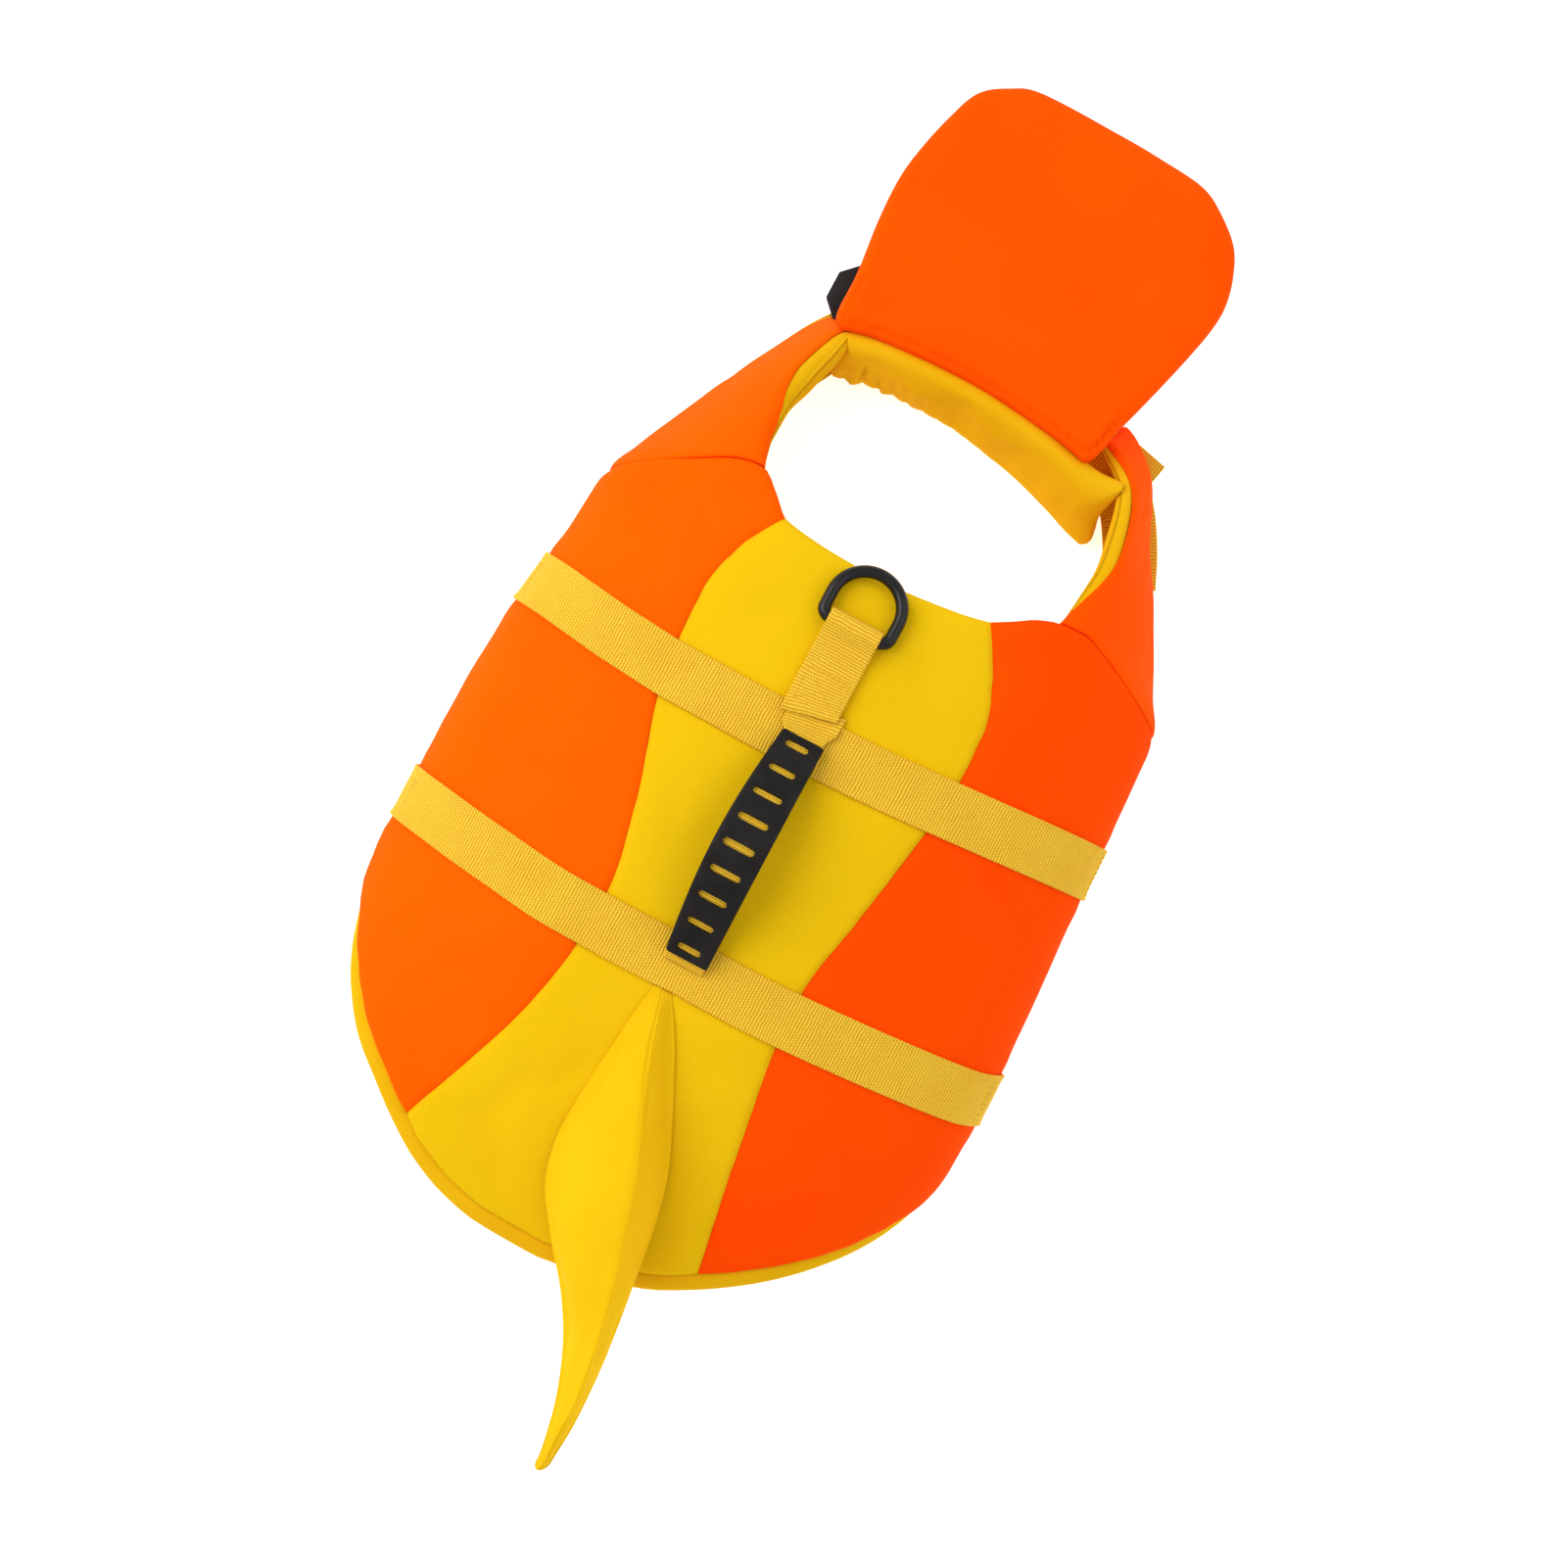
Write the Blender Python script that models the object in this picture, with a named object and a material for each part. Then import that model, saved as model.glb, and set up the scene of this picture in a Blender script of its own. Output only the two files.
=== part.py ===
"""Dog life jacket, buckled shut and lying belly down on a flat surface.

The frame is +Z up with the head end towards +Y and the dog's left at -X. Sizes are in millimetres and
become metres when a mesh is made. A padded back and two collar arms are closed pads of lined foam. Outer
cloth, webbing and hardware lie on them, each a solid of its own, parted at the seams by a small gap.
"""

import math
from functools import lru_cache

import bmesh
import bpy
import numpy as np
from mathutils import Vector
from mathutils.bvhtree import BVHTree

MM = 0.001
GAP = 0.3

# Cloth, foam and webbing
CLOTH = 1.6
CLOTH_LIFT = 0.5
BODY_FOAM = 12.0
EDGE_ROUND = 8.0
WEBBING = 1.5
WEBBING_WIDTH = 25.0
STRAP_LIFT = CLOTH_LIFT + CLOTH + GAP + 0.1
HEM_SHOWS = 6.5

# Cross-section of the body: a crowned top, round sides and a flat underside
SIDE_HEIGHT = 46.0
UNDERSIDE = STRAP_LIFT + WEBBING
SIDE_TUCK = 44.0
CROWN_POWER = 2.3
HALF_GIRTH = 262.0

# The two girth straps
FRONT_STRAP_Y = 60.5
REAR_STRAP_Y = -52.0
STRAP_RISE = 8.5
STRAP_RISE_GIRTH = 150.0

# Where a girth strap runs on under the belly: distance from the middle, and height of its underside
STRAP_UNDER = ((66.0, 0.0), (44.0, 0.0), (33.0, 0.6), (26.0, 2.6), (22.0, 3.2), (14.0, 3.2))

# Grab handle
HANDLE_X = -2.4
HANDLE_BOW = -2.2
HANDLE_RISE = 19.0
HANDLE_ARCH_POWER = 1.3
HANDLE_RAMP = 5.0
HANDLE_FRONT_END = 70.2
HANDLE_REAR_END = -60.0
GRIP_FRONT = 61.0
GRIP_REAR = -49.0
GRIP_SECTIONS = 19
GRIP_END_WIDTH = 20.5
GRIP_MIDDLE_WIDTH = 24.5
GRIP_THICK = 5.6
GRIP_CORNER = 1.4
HANDLE_WEBBING_WIDTH = 18.0
SLOT_COUNT = 9
SLOT_WIDTH = 2.8
SLOT_SHIFT = -0.6
SLOT_END_LENGTH = 10.5
SLOT_MIDDLE_LENGTH = 15.0
SLOT_END_MARGIN = 5.2

# Lead ring and its tab
RING_X = -5.5
RING_WIRE = 5.8
RING_RADIUS = 16.4
RING_SIDE = 9.6
RING_CORNER = 4.0
RING_BAR_Y = 114.5
RING_DROOP = math.radians(11.0)
RING_FACETS = 12
BAR_PLAY = 0.5
TAB_END = 70.8

# Chin float and throat
FLOAT_THICK = 20.0
FLOAT_ROUND = 15.0
THROAT_THICK = 17.0
THROAT_TOP = 48.0
THROAT_BOTTOM = 4.5

# Side-release buckles
BUCKLE_WIDTH = 33.0
BUCKLE_HEIGHT = 8.0
BUCKLE_STRAP_Z = 3.2
SOCKET_LENGTH = 26.0
PRONG_LENGTH = 15.0
PRONG_ARM = 15.0
PRONG_ARM_WIDTH = 5.0
POCKET_DEPTH = 7.0

ORANGE = (1.0, 0.12, 0.0)
YELLOW = (0.90, 0.58, 0.01)
WEB_YELLOW = (0.85, 0.55, 0.04)
BLACK = (0.012, 0.012, 0.012)


class Table:
    """Rows of numbers under named columns, read between rows by a curve that never overshoots them."""

    def __init__(self, columns, *rows):
        self.columns = columns.split()
        self.rows = np.array(sorted(rows), float)

    def at(self, column, key):
        x, y = self.rows[:, 0], self.rows[:, self.columns.index(column)]
        key = min(max(key, x[0]), x[-1])
        i = min(int(np.searchsorted(x, key, side="right")) - 1, len(x) - 2)
        slope = np.diff(y) / np.diff(x)
        bend = np.zeros(len(x))
        for k in range(1, len(x) - 1):
            if slope[k - 1] * slope[k] > 0:
                bend[k] = 2 * slope[k - 1] * slope[k] / (slope[k - 1] + slope[k])
        bend[0], bend[-1] = slope[0], slope[-1]
        step = x[i + 1] - x[i]
        t = (key - x[i]) / step
        rise = y[i] * (1 + 2 * t) * (1 - t) ** 2 + y[i + 1] * (3 - 2 * t) * t**2
        return rise + step * (bend[i] * t * (1 - t) ** 2 - bend[i + 1] * t**2 * (1 - t))


# Half widths and height of the body at stations along the back
BODY = Table(
    "y left right top",
    (165, 134.0, 136.0, 93.0),
    (136, 137.5, 138.0, 98.5),
    (100, 140.0, 139.3, 104.5),
    (65, 145.0, 140.3, 108.5),
    (50, 146.8, 141.5, 109.3),
    (0, 149.5, 145.0, 110.5),
    (-50, 149.5, 147.3, 110.0),
    (-80, 148.9, 146.8, 108.0),
    (-100, 145.8, 144.0, 106.0),
    (-125, 140.5, 138.5, 102.5),
    (-150, 134.0, 131.5, 98.0),
    (-205, 122.0, 118.0, 87.0),
)

# The front edge of the body round its girth: neck scoop, shoulder crease, then the leg opening
FRONT_EDGE = Table(
    "girth left right",
    (0, 140.5, 140.5),
    (30, 141.5, 144.0),
    (45, 143.0, 147.0),
    (56, 145.5, 152.5),
    (66, 154.0, 158.5),
    (76, 161.0, 161.5),
    (88, 159.0, 161.5),
    (98, 154.5, 158.0),
    (115, 145.5, 151.0),
    (135, 135.5, 142.5),
    (155, 129.0, 136.5),
    (178, 124.5, 131.0),
    (205, 118.0, 122.0),
    (235, 105.0, 107.0),
    (262, 97.0, 97.0),
)

# The rear edge, the hem, round the girth
REAR_EDGE = Table(
    "girth left right",
    (0, -201.0, -201.0),
    (30, -200.0, -196.5),
    (50, -196.0, -191.5),
    (70, -188.0, -182.0),
    (88, -177.0, -171.5),
    (105, -165.0, -160.0),
    (125, -151.0, -144.0),
    (146, -132.0, -125.0),
    (160, -117.0, -112.5),
    (174, -103.5, -101.0),
    (192, -94.0, -93.0),
    (215, -87.0, -86.0),
    (262, -79.0, -79.0),
)

# The seams between the centre panel and the side panels, as distances from the spine
PANEL_SEAM = Table(
    "y left right",
    (158, 50.0, 44.0),
    (146, 56.0, 47.8),
    (141, 58.5, 50.5),
    (125, 67.5, 59.5),
    (100, 73.5, 67.5),
    (75, 72.5, 68.0),
    (50, 69.0, 65.0),
    (2, 55.0, 57.0),
    (-40, 47.5, 50.0),
    (-65, 48.5, 51.0),
    (-100, 55.0, 56.0),
    (-135, 67.0, 61.5),
    (-165, 79.0, 67.0),
    (-195, 90.0, 72.0),
)

NECK_GIRTH = 76.0
SIDE_GIRTH = 172.0

# The body's grid of points: distances of its first lines from the edges, and the strips between them
EDGE_STEPS = (0.0, 1.8, 4.4, 8.0)
HEM_STEPS = (0.0, 1.8, 4.2, HEM_SHOWS, 9.5)
HEM_ROW = HEM_STEPS.index(HEM_SHOWS)
SIDE_STRIPS = 15
CENTRE_STRIPS = 8
BACK_STRIPS = 12
LEFT_SEAM = len(EDGE_STEPS) - 1 + SIDE_STRIPS
RIGHT_SEAM = LEFT_SEAM + CENTRE_STRIPS
LAST_COLUMN = LEFT_SEAM + RIGHT_SEAM
LAST_ROW = len(HEM_STEPS) - 1 + BACK_STRIPS + len(EDGE_STEPS) - 1

# Collar arms: points of the neck edge and of the outer edge, and thickness, from shoulder to throat
ARM_LENGTH = 105.0
SEAM_STEP = 0.7
ARM_COLUMNS = "along neck_x neck_y neck_z outer_x outer_y outer_z bow thick"
LEFT_ARM = Table(
    ARM_COLUMNS,
    (0.28, -81.5, 178.0, 80.0, -127.5, 156.0, 31.0, 7.0, 11.5),
    (0.52, -82.8, 193.0, 69.0, -114.5, 184.0, 17.0, 6.0, 12.0),
    (0.76, -81.5, 210.0, 59.0, -101.0, 211.5, 6.0, 4.5, 14.0),
    (0.90, -78.5, 223.0, 53.0, -92.0, 229.5, 3.4, 3.0, 13.0),
    (1.00, -74.5, 233.0, 48.5, -84.0, 240.5, 2.9, 2.0, 9.0),
)
RIGHT_ARM = Table(
    ARM_COLUMNS,
    (0.24, 80.8, 178.0, 80.0, 126.0, 162.5, 31.0, 6.0, 11.5),
    (0.44, 83.5, 194.0, 69.0, 111.0, 190.0, 17.0, 5.0, 11.0),
    (0.64, 81.5, 213.0, 58.0, 97.0, 215.5, 7.4, 3.5, 9.5),
    (0.82, 75.0, 233.0, 47.0, 83.0, 241.0, 5.4, 2.5, 8.0),
    (1.00, 56.0, 249.5, 31.0, 59.5, 259.0, 4.9, 1.5, 6.5),
)

# Throat pad: where its upper and lower edges run, from the left arm to its free right end
THROAT = Table(
    "x top_y bottom_y lean",
    (-70.6, 232.0, 221.0, -3.0),
    (-45, 237.0, 227.5, 0.0),
    (-10, 239.0, 229.0, 0.0),
    (30, 235.5, 223.0, 0.0),
    (50, 231.5, 215.0, 0.0),
    (71.4, 228.5, 206.0, 1.0),
)

# Outline of the chin float, anticlockwise from the left end of its rear seam, seen from above
CHIN_FLOAT = (
    (-77.5, 236.5),
    (-60.0, 239.0),
    (-30.0, 240.8),
    (0.0, 240.6),
    (30.0, 237.4),
    (50.0, 233.8),
    (55.5, 243.0),
    (57.8, 254.0),
    (62.5, 267.0),
    (67.0, 282.5),
    (72.0, 301.5),
    (75.6, 318.0),
    (76.4, 331.0),
    (73.0, 347.5),
    (66.0, 359.5),
    (50.0, 371.5),
    (30.0, 376.5),
    (-5.0, 379.3),
    (-45.0, 379.3),
    (-63.0, 372.5),
    (-75.0, 361.5),
    (-81.5, 342.0),
    (-85.3, 313.0),
    (-84.0, 290.0),
    (-80.5, 260.0),
)

# Height of the middle of the chin float's thickness, from its seam down to the surface it rests on
FLOAT_HEIGHT = Table(
    "y middle",
    (233, 48.8),
    (262, 39.5),
    (295, 26.0),
    (325, 14.5),
    (350, 10.0),
    (383, 10.0),
)

# Stuffed tail: plan places of its left edge, ridge and right edge, the ridge above its seat, and where
# it is free of the hem, the height of its underside
TAIL = Table(
    "y left ridge right rise lower",
    (-65.2, -9.5, -5.5, -1.5, 0.0, 0.0),
    (-80, -12.0, -1.5, 8.0, 9.0, 0.0),
    (-98, -13.5, 4.5, 17.5, 18.0, 0.0),
    (-118, -15.5, 13.5, 27.0, 27.0, 0.0),
    (-140, -16.5, 22.5, 36.0, 35.0, 0.0),
    (-162, -13.0, 29.5, 41.0, 40.0, 0.0),
    (-186, 1.5, 36.5, 44.5, 41.0, 1.0),
    (-208, 18.5, 41.0, 47.5, 36.0, 5.0),
    (-232, 31.5, 45.0, 50.0, 27.0, 7.0),
    (-256, 39.5, 47.0, 51.0, 17.5, 6.0),
    (-276, 43.5, 47.0, 49.8, 8.0, 3.0),
)
TAIL_TIP = (45.8, -283.0, 90.0)
TAIL_HEM = 183.0
TAIL_LIFT_POWER = 1.0
TAIL_BULGE = 0.10

# Routes of the flat neck webbing, as plan points, each with the height of its underside
LEFT_NECK_ROUTE = ((-95.0, 196.0, 5.0), (-87.5, 214.5, 1.8), (-78.0, 231.5, 0.0), (-66.0, 246.0, 0.0))
RIGHT_NECK_ROUTE = ((98.0, 195.0, 8.6), (90.5, 211.5, 4.8), (80.5, 227.5, 2.4), (68.0, 240.0, 1.9))
CROSS_ROUTE = (
    (-55.2, 255.5, 5.1),
    (-50.0, 255.5, 5.1),
    (-44.0, 255.4, 4.9),
    (-34.0, 255.2, 2.0),
    (-24.0, 255.0, 0.0),
    (10.0, 254.0, 0.0),
    (45.0, 250.0, 0.0),
    (84.0, 241.5, 0.0),
)
NECK_BUCKLE_PLACE = (-74.5, 255.5, 1.9)


def clear_scene():
    for obj in list(bpy.data.objects):
        bpy.data.objects.remove(obj, do_unlink=True)


def material(name, colour, roughness):
    made = bpy.data.materials.new(name)
    made.use_nodes = True
    shader = made.node_tree.nodes["Principled BSDF"]
    shader.inputs["Base Color"].default_value = (*colour, 1.0)
    shader.inputs["Roughness"].default_value = roughness
    return made


def add_solid(name, points, faces, look, smooth_angle=40.0):
    """A closed mesh object from points in millimetres, with its faces turned outwards."""
    mesh = bpy.data.meshes.new(name)
    mesh.from_pydata([tuple(float(c) * MM for c in p) for p in points], [], faces)
    bm = bmesh.new()
    bm.from_mesh(mesh)
    bmesh.ops.recalc_face_normals(bm, faces=bm.faces)
    if bm.calc_volume(signed=True) < 0:
        bmesh.ops.reverse_faces(bm, faces=bm.faces)
    bm.to_mesh(mesh)
    bm.free()
    mesh.materials.append(look)
    mesh.shade_smooth()
    mesh.set_sharp_from_angle(angle=math.radians(smooth_angle))
    obj = bpy.data.objects.new(name, mesh)
    bpy.context.scene.collection.objects.link(obj)
    return obj


def unit(vector):
    return vector / max(float(np.linalg.norm(vector)), 1e-9)


def blend(a, b, t):
    return a + (b - a) * t


def catmull_rom(a, b, c, d, t):
    """The point a share t of the way from b to c, on a smooth curve through all four."""
    return b + 0.5 * t * ((c - a) + t * ((2 * a - 5 * b + 4 * c - d) + t * (3 * b - 3 * c + d - a)))


def curve_through(points, steps):
    """Points on a Catmull-Rom curve through the given ones, with that many steps between neighbours."""
    p = np.array(points, float)
    p = np.vstack([2 * p[0] - p[1], p, 2 * p[-1] - p[-2]])
    out = []
    for i in range(1, len(p) - 2):
        for k in range(steps):
            t = k / steps
            a, b, c, d = p[i - 1 : i + 3]
            out.append(catmull_rom(a, b, c, d, t))
    return out + [p[-2]]


def ring_through(points, steps):
    """A closed Catmull-Rom curve through the points."""
    p = [np.array(q, float) for q in points]
    out = []
    for i in range(len(p)):
        a, b, c, d = (p[(i + k - 1) % len(p)] for k in range(4))
        for k in range(steps):
            t = k / steps
            out.append(catmull_rom(a, b, c, d, t))
    return out


def edge_spaced(length, count, near=EDGE_ROUND):
    """Shares from 0 to 1 of a length, close together within the rounding of each end."""
    ends = [near * s / length for s in (0.0, 0.3, 0.62, 1.0)]
    middle = np.linspace(ends[-1], 1 - ends[-1], count)[1:-1]
    return [*ends, *middle, *(1 - s for s in reversed(ends))]


# ---------------------------------------------------------------------------------- the body surface


@lru_cache(maxsize=None)
def section(side, y):
    """Girth, x and z along half a cross-section, from the spine over the side to under the belly."""
    width = BODY.at("left" if side < 0 else "right", y)
    top = BODY.at("top", y)
    turn = np.linspace(0, math.pi / 2, 60)
    up_x = width * np.sin(turn) ** (2 / CROWN_POWER)
    up_z = SIDE_HEIGHT + (top - SIDE_HEIGHT) * np.cos(turn) ** (2 / CROWN_POWER)
    down_x = width - SIDE_TUCK * (1 - np.cos(turn[1:]))
    down_z = SIDE_HEIGHT - (SIDE_HEIGHT - UNDERSIDE) * np.sin(turn[1:])
    x = np.concatenate([up_x, down_x, [-40.0]])
    z = np.concatenate([up_z, down_z, [UNDERSIDE]])
    girth = np.concatenate([[0], np.cumsum(np.hypot(np.diff(x), np.diff(z)))])
    return girth, x, z


def girth_at(side, x, y):
    """How far round the section lies the place that is that far from the spine, on its top."""
    girth, xs, _ = section(side, round(y, 2))
    return float(np.interp(x, xs[:60], girth[:60]))


def body_skin(girth, y):
    """A point of the lined foam's outer surface before its edges are rounded; left is negative."""
    side = -1 if girth < 0 else 1
    g, x, z = section(side, round(y, 2))
    return np.array([side * np.interp(abs(girth), g, x), y, np.interp(abs(girth), g, z)])


def body_normal(girth, y):
    step = 3.0
    round_it = body_skin(girth + step, y) - body_skin(girth - step, y)
    along = body_skin(girth, y + step) - body_skin(girth, y - step)
    return unit(np.cross(round_it, along))


def edge_y(table, girth):
    return table.at("left" if girth < 0 else "right", abs(girth))


def edge_stretch(table, girth):
    """How much longer than its square distance is the way to an edge along y."""
    slope = (edge_y(table, girth + 2.0) - edge_y(table, girth - 2.0)) / 4.0
    return math.hypot(1, slope)


def edge_distance(girth, y):
    """The distance to the nearest edge of the body, measured square to that edge."""
    front = (edge_y(FRONT_EDGE, girth) - y) / edge_stretch(FRONT_EDGE, girth)
    rear = (y - edge_y(REAR_EDGE, girth)) / edge_stretch(REAR_EDGE, girth)
    return max(0.0, min(front, rear, HALF_GIRTH - abs(girth)))


def edge_drop(distance, thick, reach=EDGE_ROUND):
    """How far a pad's face has closed towards its middle, at that distance from its edge."""
    return thick / 2 * (1 - min(1.0, distance / reach)) ** 2


def seam_girth(side, y):
    return girth_at(side, PANEL_SEAM.at("left" if side < 0 else "right", y), y)


def column_girth(column, y):
    """The girth of one of the body grid's lines, which run along the back and follow the panel seams."""
    side = -1 if column < LEFT_SEAM + (RIGHT_SEAM - LEFT_SEAM) / 2 else 1
    if LEFT_SEAM <= column <= RIGHT_SEAM:
        share = (column - LEFT_SEAM) / (RIGHT_SEAM - LEFT_SEAM)
        return blend(-seam_girth(-1, y), seam_girth(1, y), share)
    near_edge = column if side < 0 else LAST_COLUMN - column
    if near_edge < len(EDGE_STEPS):
        return side * (HALF_GIRTH - EDGE_STEPS[near_edge])
    share = (near_edge - len(EDGE_STEPS) + 1) / SIDE_STRIPS
    return side * blend(HALF_GIRTH - EDGE_STEPS[-1], seam_girth(side, y), share)


def row_y(row, girth):
    """Where one of the body grid's cross lines lies at a girth."""
    rear, front = edge_y(REAR_EDGE, girth), edge_y(FRONT_EDGE, girth)
    first = rear + HEM_STEPS[-1] * edge_stretch(REAR_EDGE, girth)
    last = front - EDGE_STEPS[-1] * edge_stretch(FRONT_EDGE, girth)
    if row < len(HEM_STEPS):
        return rear + HEM_STEPS[row] * edge_stretch(REAR_EDGE, girth)
    if LAST_ROW - row < len(EDGE_STEPS):
        return front - EDGE_STEPS[LAST_ROW - row] * edge_stretch(FRONT_EDGE, girth)
    return blend(first, last, (row - len(HEM_STEPS) + 1) / BACK_STRIPS)


@lru_cache(maxsize=None)
def node_of_grid(row, column):
    """Girth and y where a cross line meets a line along the back."""
    y = 0.0
    for _ in range(30):
        girth = column_girth(column, y)
        y = blend(y, row_y(row, girth), 0.7)
    return girth, y


@lru_cache(maxsize=None)
def grid_point(row, column):
    """A point of the lined foam's rounded outer face, with its outward normal and how far it has closed."""
    girth, y = node_of_grid(row, column)
    drop = edge_drop(edge_distance(girth, y), BODY_FOAM)
    normal = body_normal(girth, y)
    return body_skin(girth, y) - normal * drop, normal, drop


def lifted(row, column, lift):
    point, normal, _ = grid_point(row, column)
    return point + normal * lift


def on_column(column, y, lift):
    """A point of the outer face where it is crossed at y by a line along the back, moved out by lift."""
    above = next(r for r in range(1, LAST_ROW + 1) if grid_point(r, column)[0][1] > y or r == LAST_ROW)
    low, high = lifted(above - 1, column, lift), lifted(above, column, lift)
    return blend(low, high, (y - low[1]) / (high[1] - low[1]))


# ---------------------------------------------------------------------------------- grids to solids


def grid_faces(rows, columns, start=0, flip=False):
    faces = []
    for i in range(rows - 1):
        for j in range(columns - 1):
            a = start + i * columns + j
            b, c, d = a + 1, a + columns + 1, a + columns
            faces.append((a, d, c, b) if flip else (a, b, c, d))
    return faces


def rim(rows, columns):
    """Indexes of a grid's border, in order round it."""
    bottom = list(range(columns))
    right = [i * columns + columns - 1 for i in range(1, rows)]
    top = [(rows - 1) * columns + j for j in range(columns - 2, -1, -1)]
    left = [i * columns for i in range(rows - 2, 0, -1)]
    return bottom + right + top + left


def wall(name, outer, inner, look):
    """A wall between two grids of points, closed by a rim."""
    rows, columns = len(outer), len(outer[0])
    points = [p for row in outer for p in row] + [p for row in inner for p in row]
    half = rows * columns
    faces = grid_faces(rows, columns) + grid_faces(rows, columns, half, flip=True)
    border = rim(rows, columns)
    for a, b in zip(border, border[1:] + border[:1]):
        faces.append((b, a, a + half, b + half))
    return add_solid(name, points, faces, look)


def pad(name, outer, inner, look):
    """A pad between two grids that share their border points, as two faces sewn together round the edge."""
    rows, columns = len(outer), len(outer[0])
    border = set(rim(rows, columns))
    points = [p for row in outer for p in row]
    twin = {}
    for i in range(rows):
        for j in range(columns):
            k = i * columns + j
            twin[k] = k
            if k not in border:
                twin[k] = len(points)
                points.append(inner[i][j])
    faces = grid_faces(rows, columns)
    faces += [tuple(twin[k] for k in face) for face in grid_faces(rows, columns, flip=True)]
    return add_solid(name, points, faces, look)


def body_pad(look):
    """The lined foam of the back and sides."""
    outer, inner = [], []
    for row in range(LAST_ROW + 1):
        outer.append([])
        inner.append([])
        for column in range(LAST_COLUMN + 1):
            point, normal, drop = grid_point(row, column)
            outer[-1].append(point)
            inner[-1].append(point - normal * (BODY_FOAM - 2 * drop))
    return pad("lined_foam_body", outer, inner, look)


def panel(name, first, last, look):
    """Outer cloth from one line along the back to another, half a seam gap short of a panel beside it."""
    grids = []
    for lift in (CLOTH_LIFT + CLOTH, CLOTH_LIFT):
        grid = []
        for row in range(HEM_ROW, LAST_ROW + 1):
            line = [lifted(row, column, lift) for column in range(first, last + 1)]
            if first > 0:
                line[0] = line[0] + unit(line[1] - line[0]) * GAP / 2
            if last < LAST_COLUMN:
                line[-1] = line[-1] + unit(line[-2] - line[-1]) * GAP / 2
            grid.append(line)
        grids.append(grid)
    return wall(name, *grids, look)


# ---------------------------------------------------------------------------------- collar arms


def crease(across_girth, side):
    """The body's rounded front edge at a girth, with its normal, from the grid's own border."""
    border = [(abs(node_of_grid(LAST_ROW, c)[0]), *grid_point(LAST_ROW, c)[:2]) for c in arm_columns(side)]
    border.sort(key=lambda b: b[0])
    for (g0, p0, n0), (g1, p1, n1) in zip(border, border[1:]):
        if g0 <= across_girth <= g1:
            t = (across_girth - g0) / (g1 - g0)
            return blend(p0, p1, t), unit(blend(n0, n1, t))
    raise ValueError("the arm's girth is off the body")


def arm_columns(side):
    return range(0, LEFT_SEAM + 1) if side < 0 else range(RIGHT_SEAM, LAST_COLUMN + 1)


def arm_shares(side):
    """Shares across an arm: its rounded borders, and between them where the body's lines meet the crease."""
    width = SIDE_GIRTH - NECK_GIRTH
    ends = [s / width for s in EDGE_STEPS]
    shares = [(abs(node_of_grid(LAST_ROW, c)[0]) - NECK_GIRTH) / width for c in arm_columns(side)]
    middle = [s for s in shares if ends[-1] + 0.04 < s < 1 - ends[-1] - 0.04]
    return sorted([*ends, *middle, *(1 - e for e in ends)])


def arm_skin(arm, side, across, along):
    """A point of an arm's outer face: across from neck edge to outer edge, along from shoulder to throat."""
    place, normal = crease(blend(NECK_GIRTH, SIDE_GIRTH, across), side)
    lines = [(0.0, *(place + normal * BODY_FOAM / 2 + np.array([0.0, SEAM_STEP, 0.0])))]
    for station in arm.rows[:, 0]:
        neck = np.array([arm.at(f"neck_{c}", station) for c in "xyz"])
        outer = np.array([arm.at(f"outer_{c}", station) for c in "xyz"])
        out = unit(np.array([side * 0.8, -0.1, 0.6]))
        bow = arm.at("bow", station) * 4 * across * (1 - across)
        lines.append((station, *(blend(neck, outer, across) + out * bow)))
    route = Table("along x y z", *lines)
    return np.array([route.at(c, along) for c in "xyz"]), normal


def arm_frame(arm, side, across, along):
    """Place, outward normal and thickness of an arm; its normal turns from the body's to its own."""
    place, crease_normal = arm_skin(arm, side, across, along)
    s0, s1 = max(across - 0.02, 0), min(across + 0.02, 1)
    t0, t1 = max(along - 0.02, 0), min(along + 0.02, 1)
    round_it = arm_skin(arm, side, s1, along)[0] - arm_skin(arm, side, s0, along)[0]
    forward = arm_skin(arm, side, across, t1)[0] - arm_skin(arm, side, across, t0)[0]
    own = unit(np.cross(round_it, forward)) * side
    turn = min(1.0, along / 0.14)
    thick = blend(BODY_FOAM, arm.at("thick", along), min(1, along / arm.rows[0, 0]))
    return place, unit(blend(crease_normal, own, turn)), thick


def collar_arm(word, arm, side, cloth_look, lining_look):
    """An arm's lined foam and the outer cloth over it."""
    upper, lower, cloth_out, cloth_in = [], [], [], []
    for along in edge_spaced(ARM_LENGTH, 9):
        for grid in (upper, lower, cloth_out, cloth_in):
            grid.append([])
        for across in arm_shares(side):
            place, normal, thick = arm_frame(arm, side, across, along)
            sides = min(across, 1 - across) * (SIDE_GIRTH - NECK_GIRTH)
            drop = edge_drop(min(sides, along * ARM_LENGTH, (1 - along) * ARM_LENGTH), thick)
            face = place - normal * drop
            upper[-1].append(face)
            lower[-1].append(face - normal * (thick - 2 * drop))
            cloth_out[-1].append(face + normal * (CLOTH_LIFT + CLOTH))
            cloth_in[-1].append(face + normal * CLOTH_LIFT)
    pad(f"collar_lining_{word}", upper, lower, lining_look)
    wall(f"collar_arm_{word}", cloth_out, cloth_in, cloth_look)


# ---------------------------------------------------------------------------------- throat and chin


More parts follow.
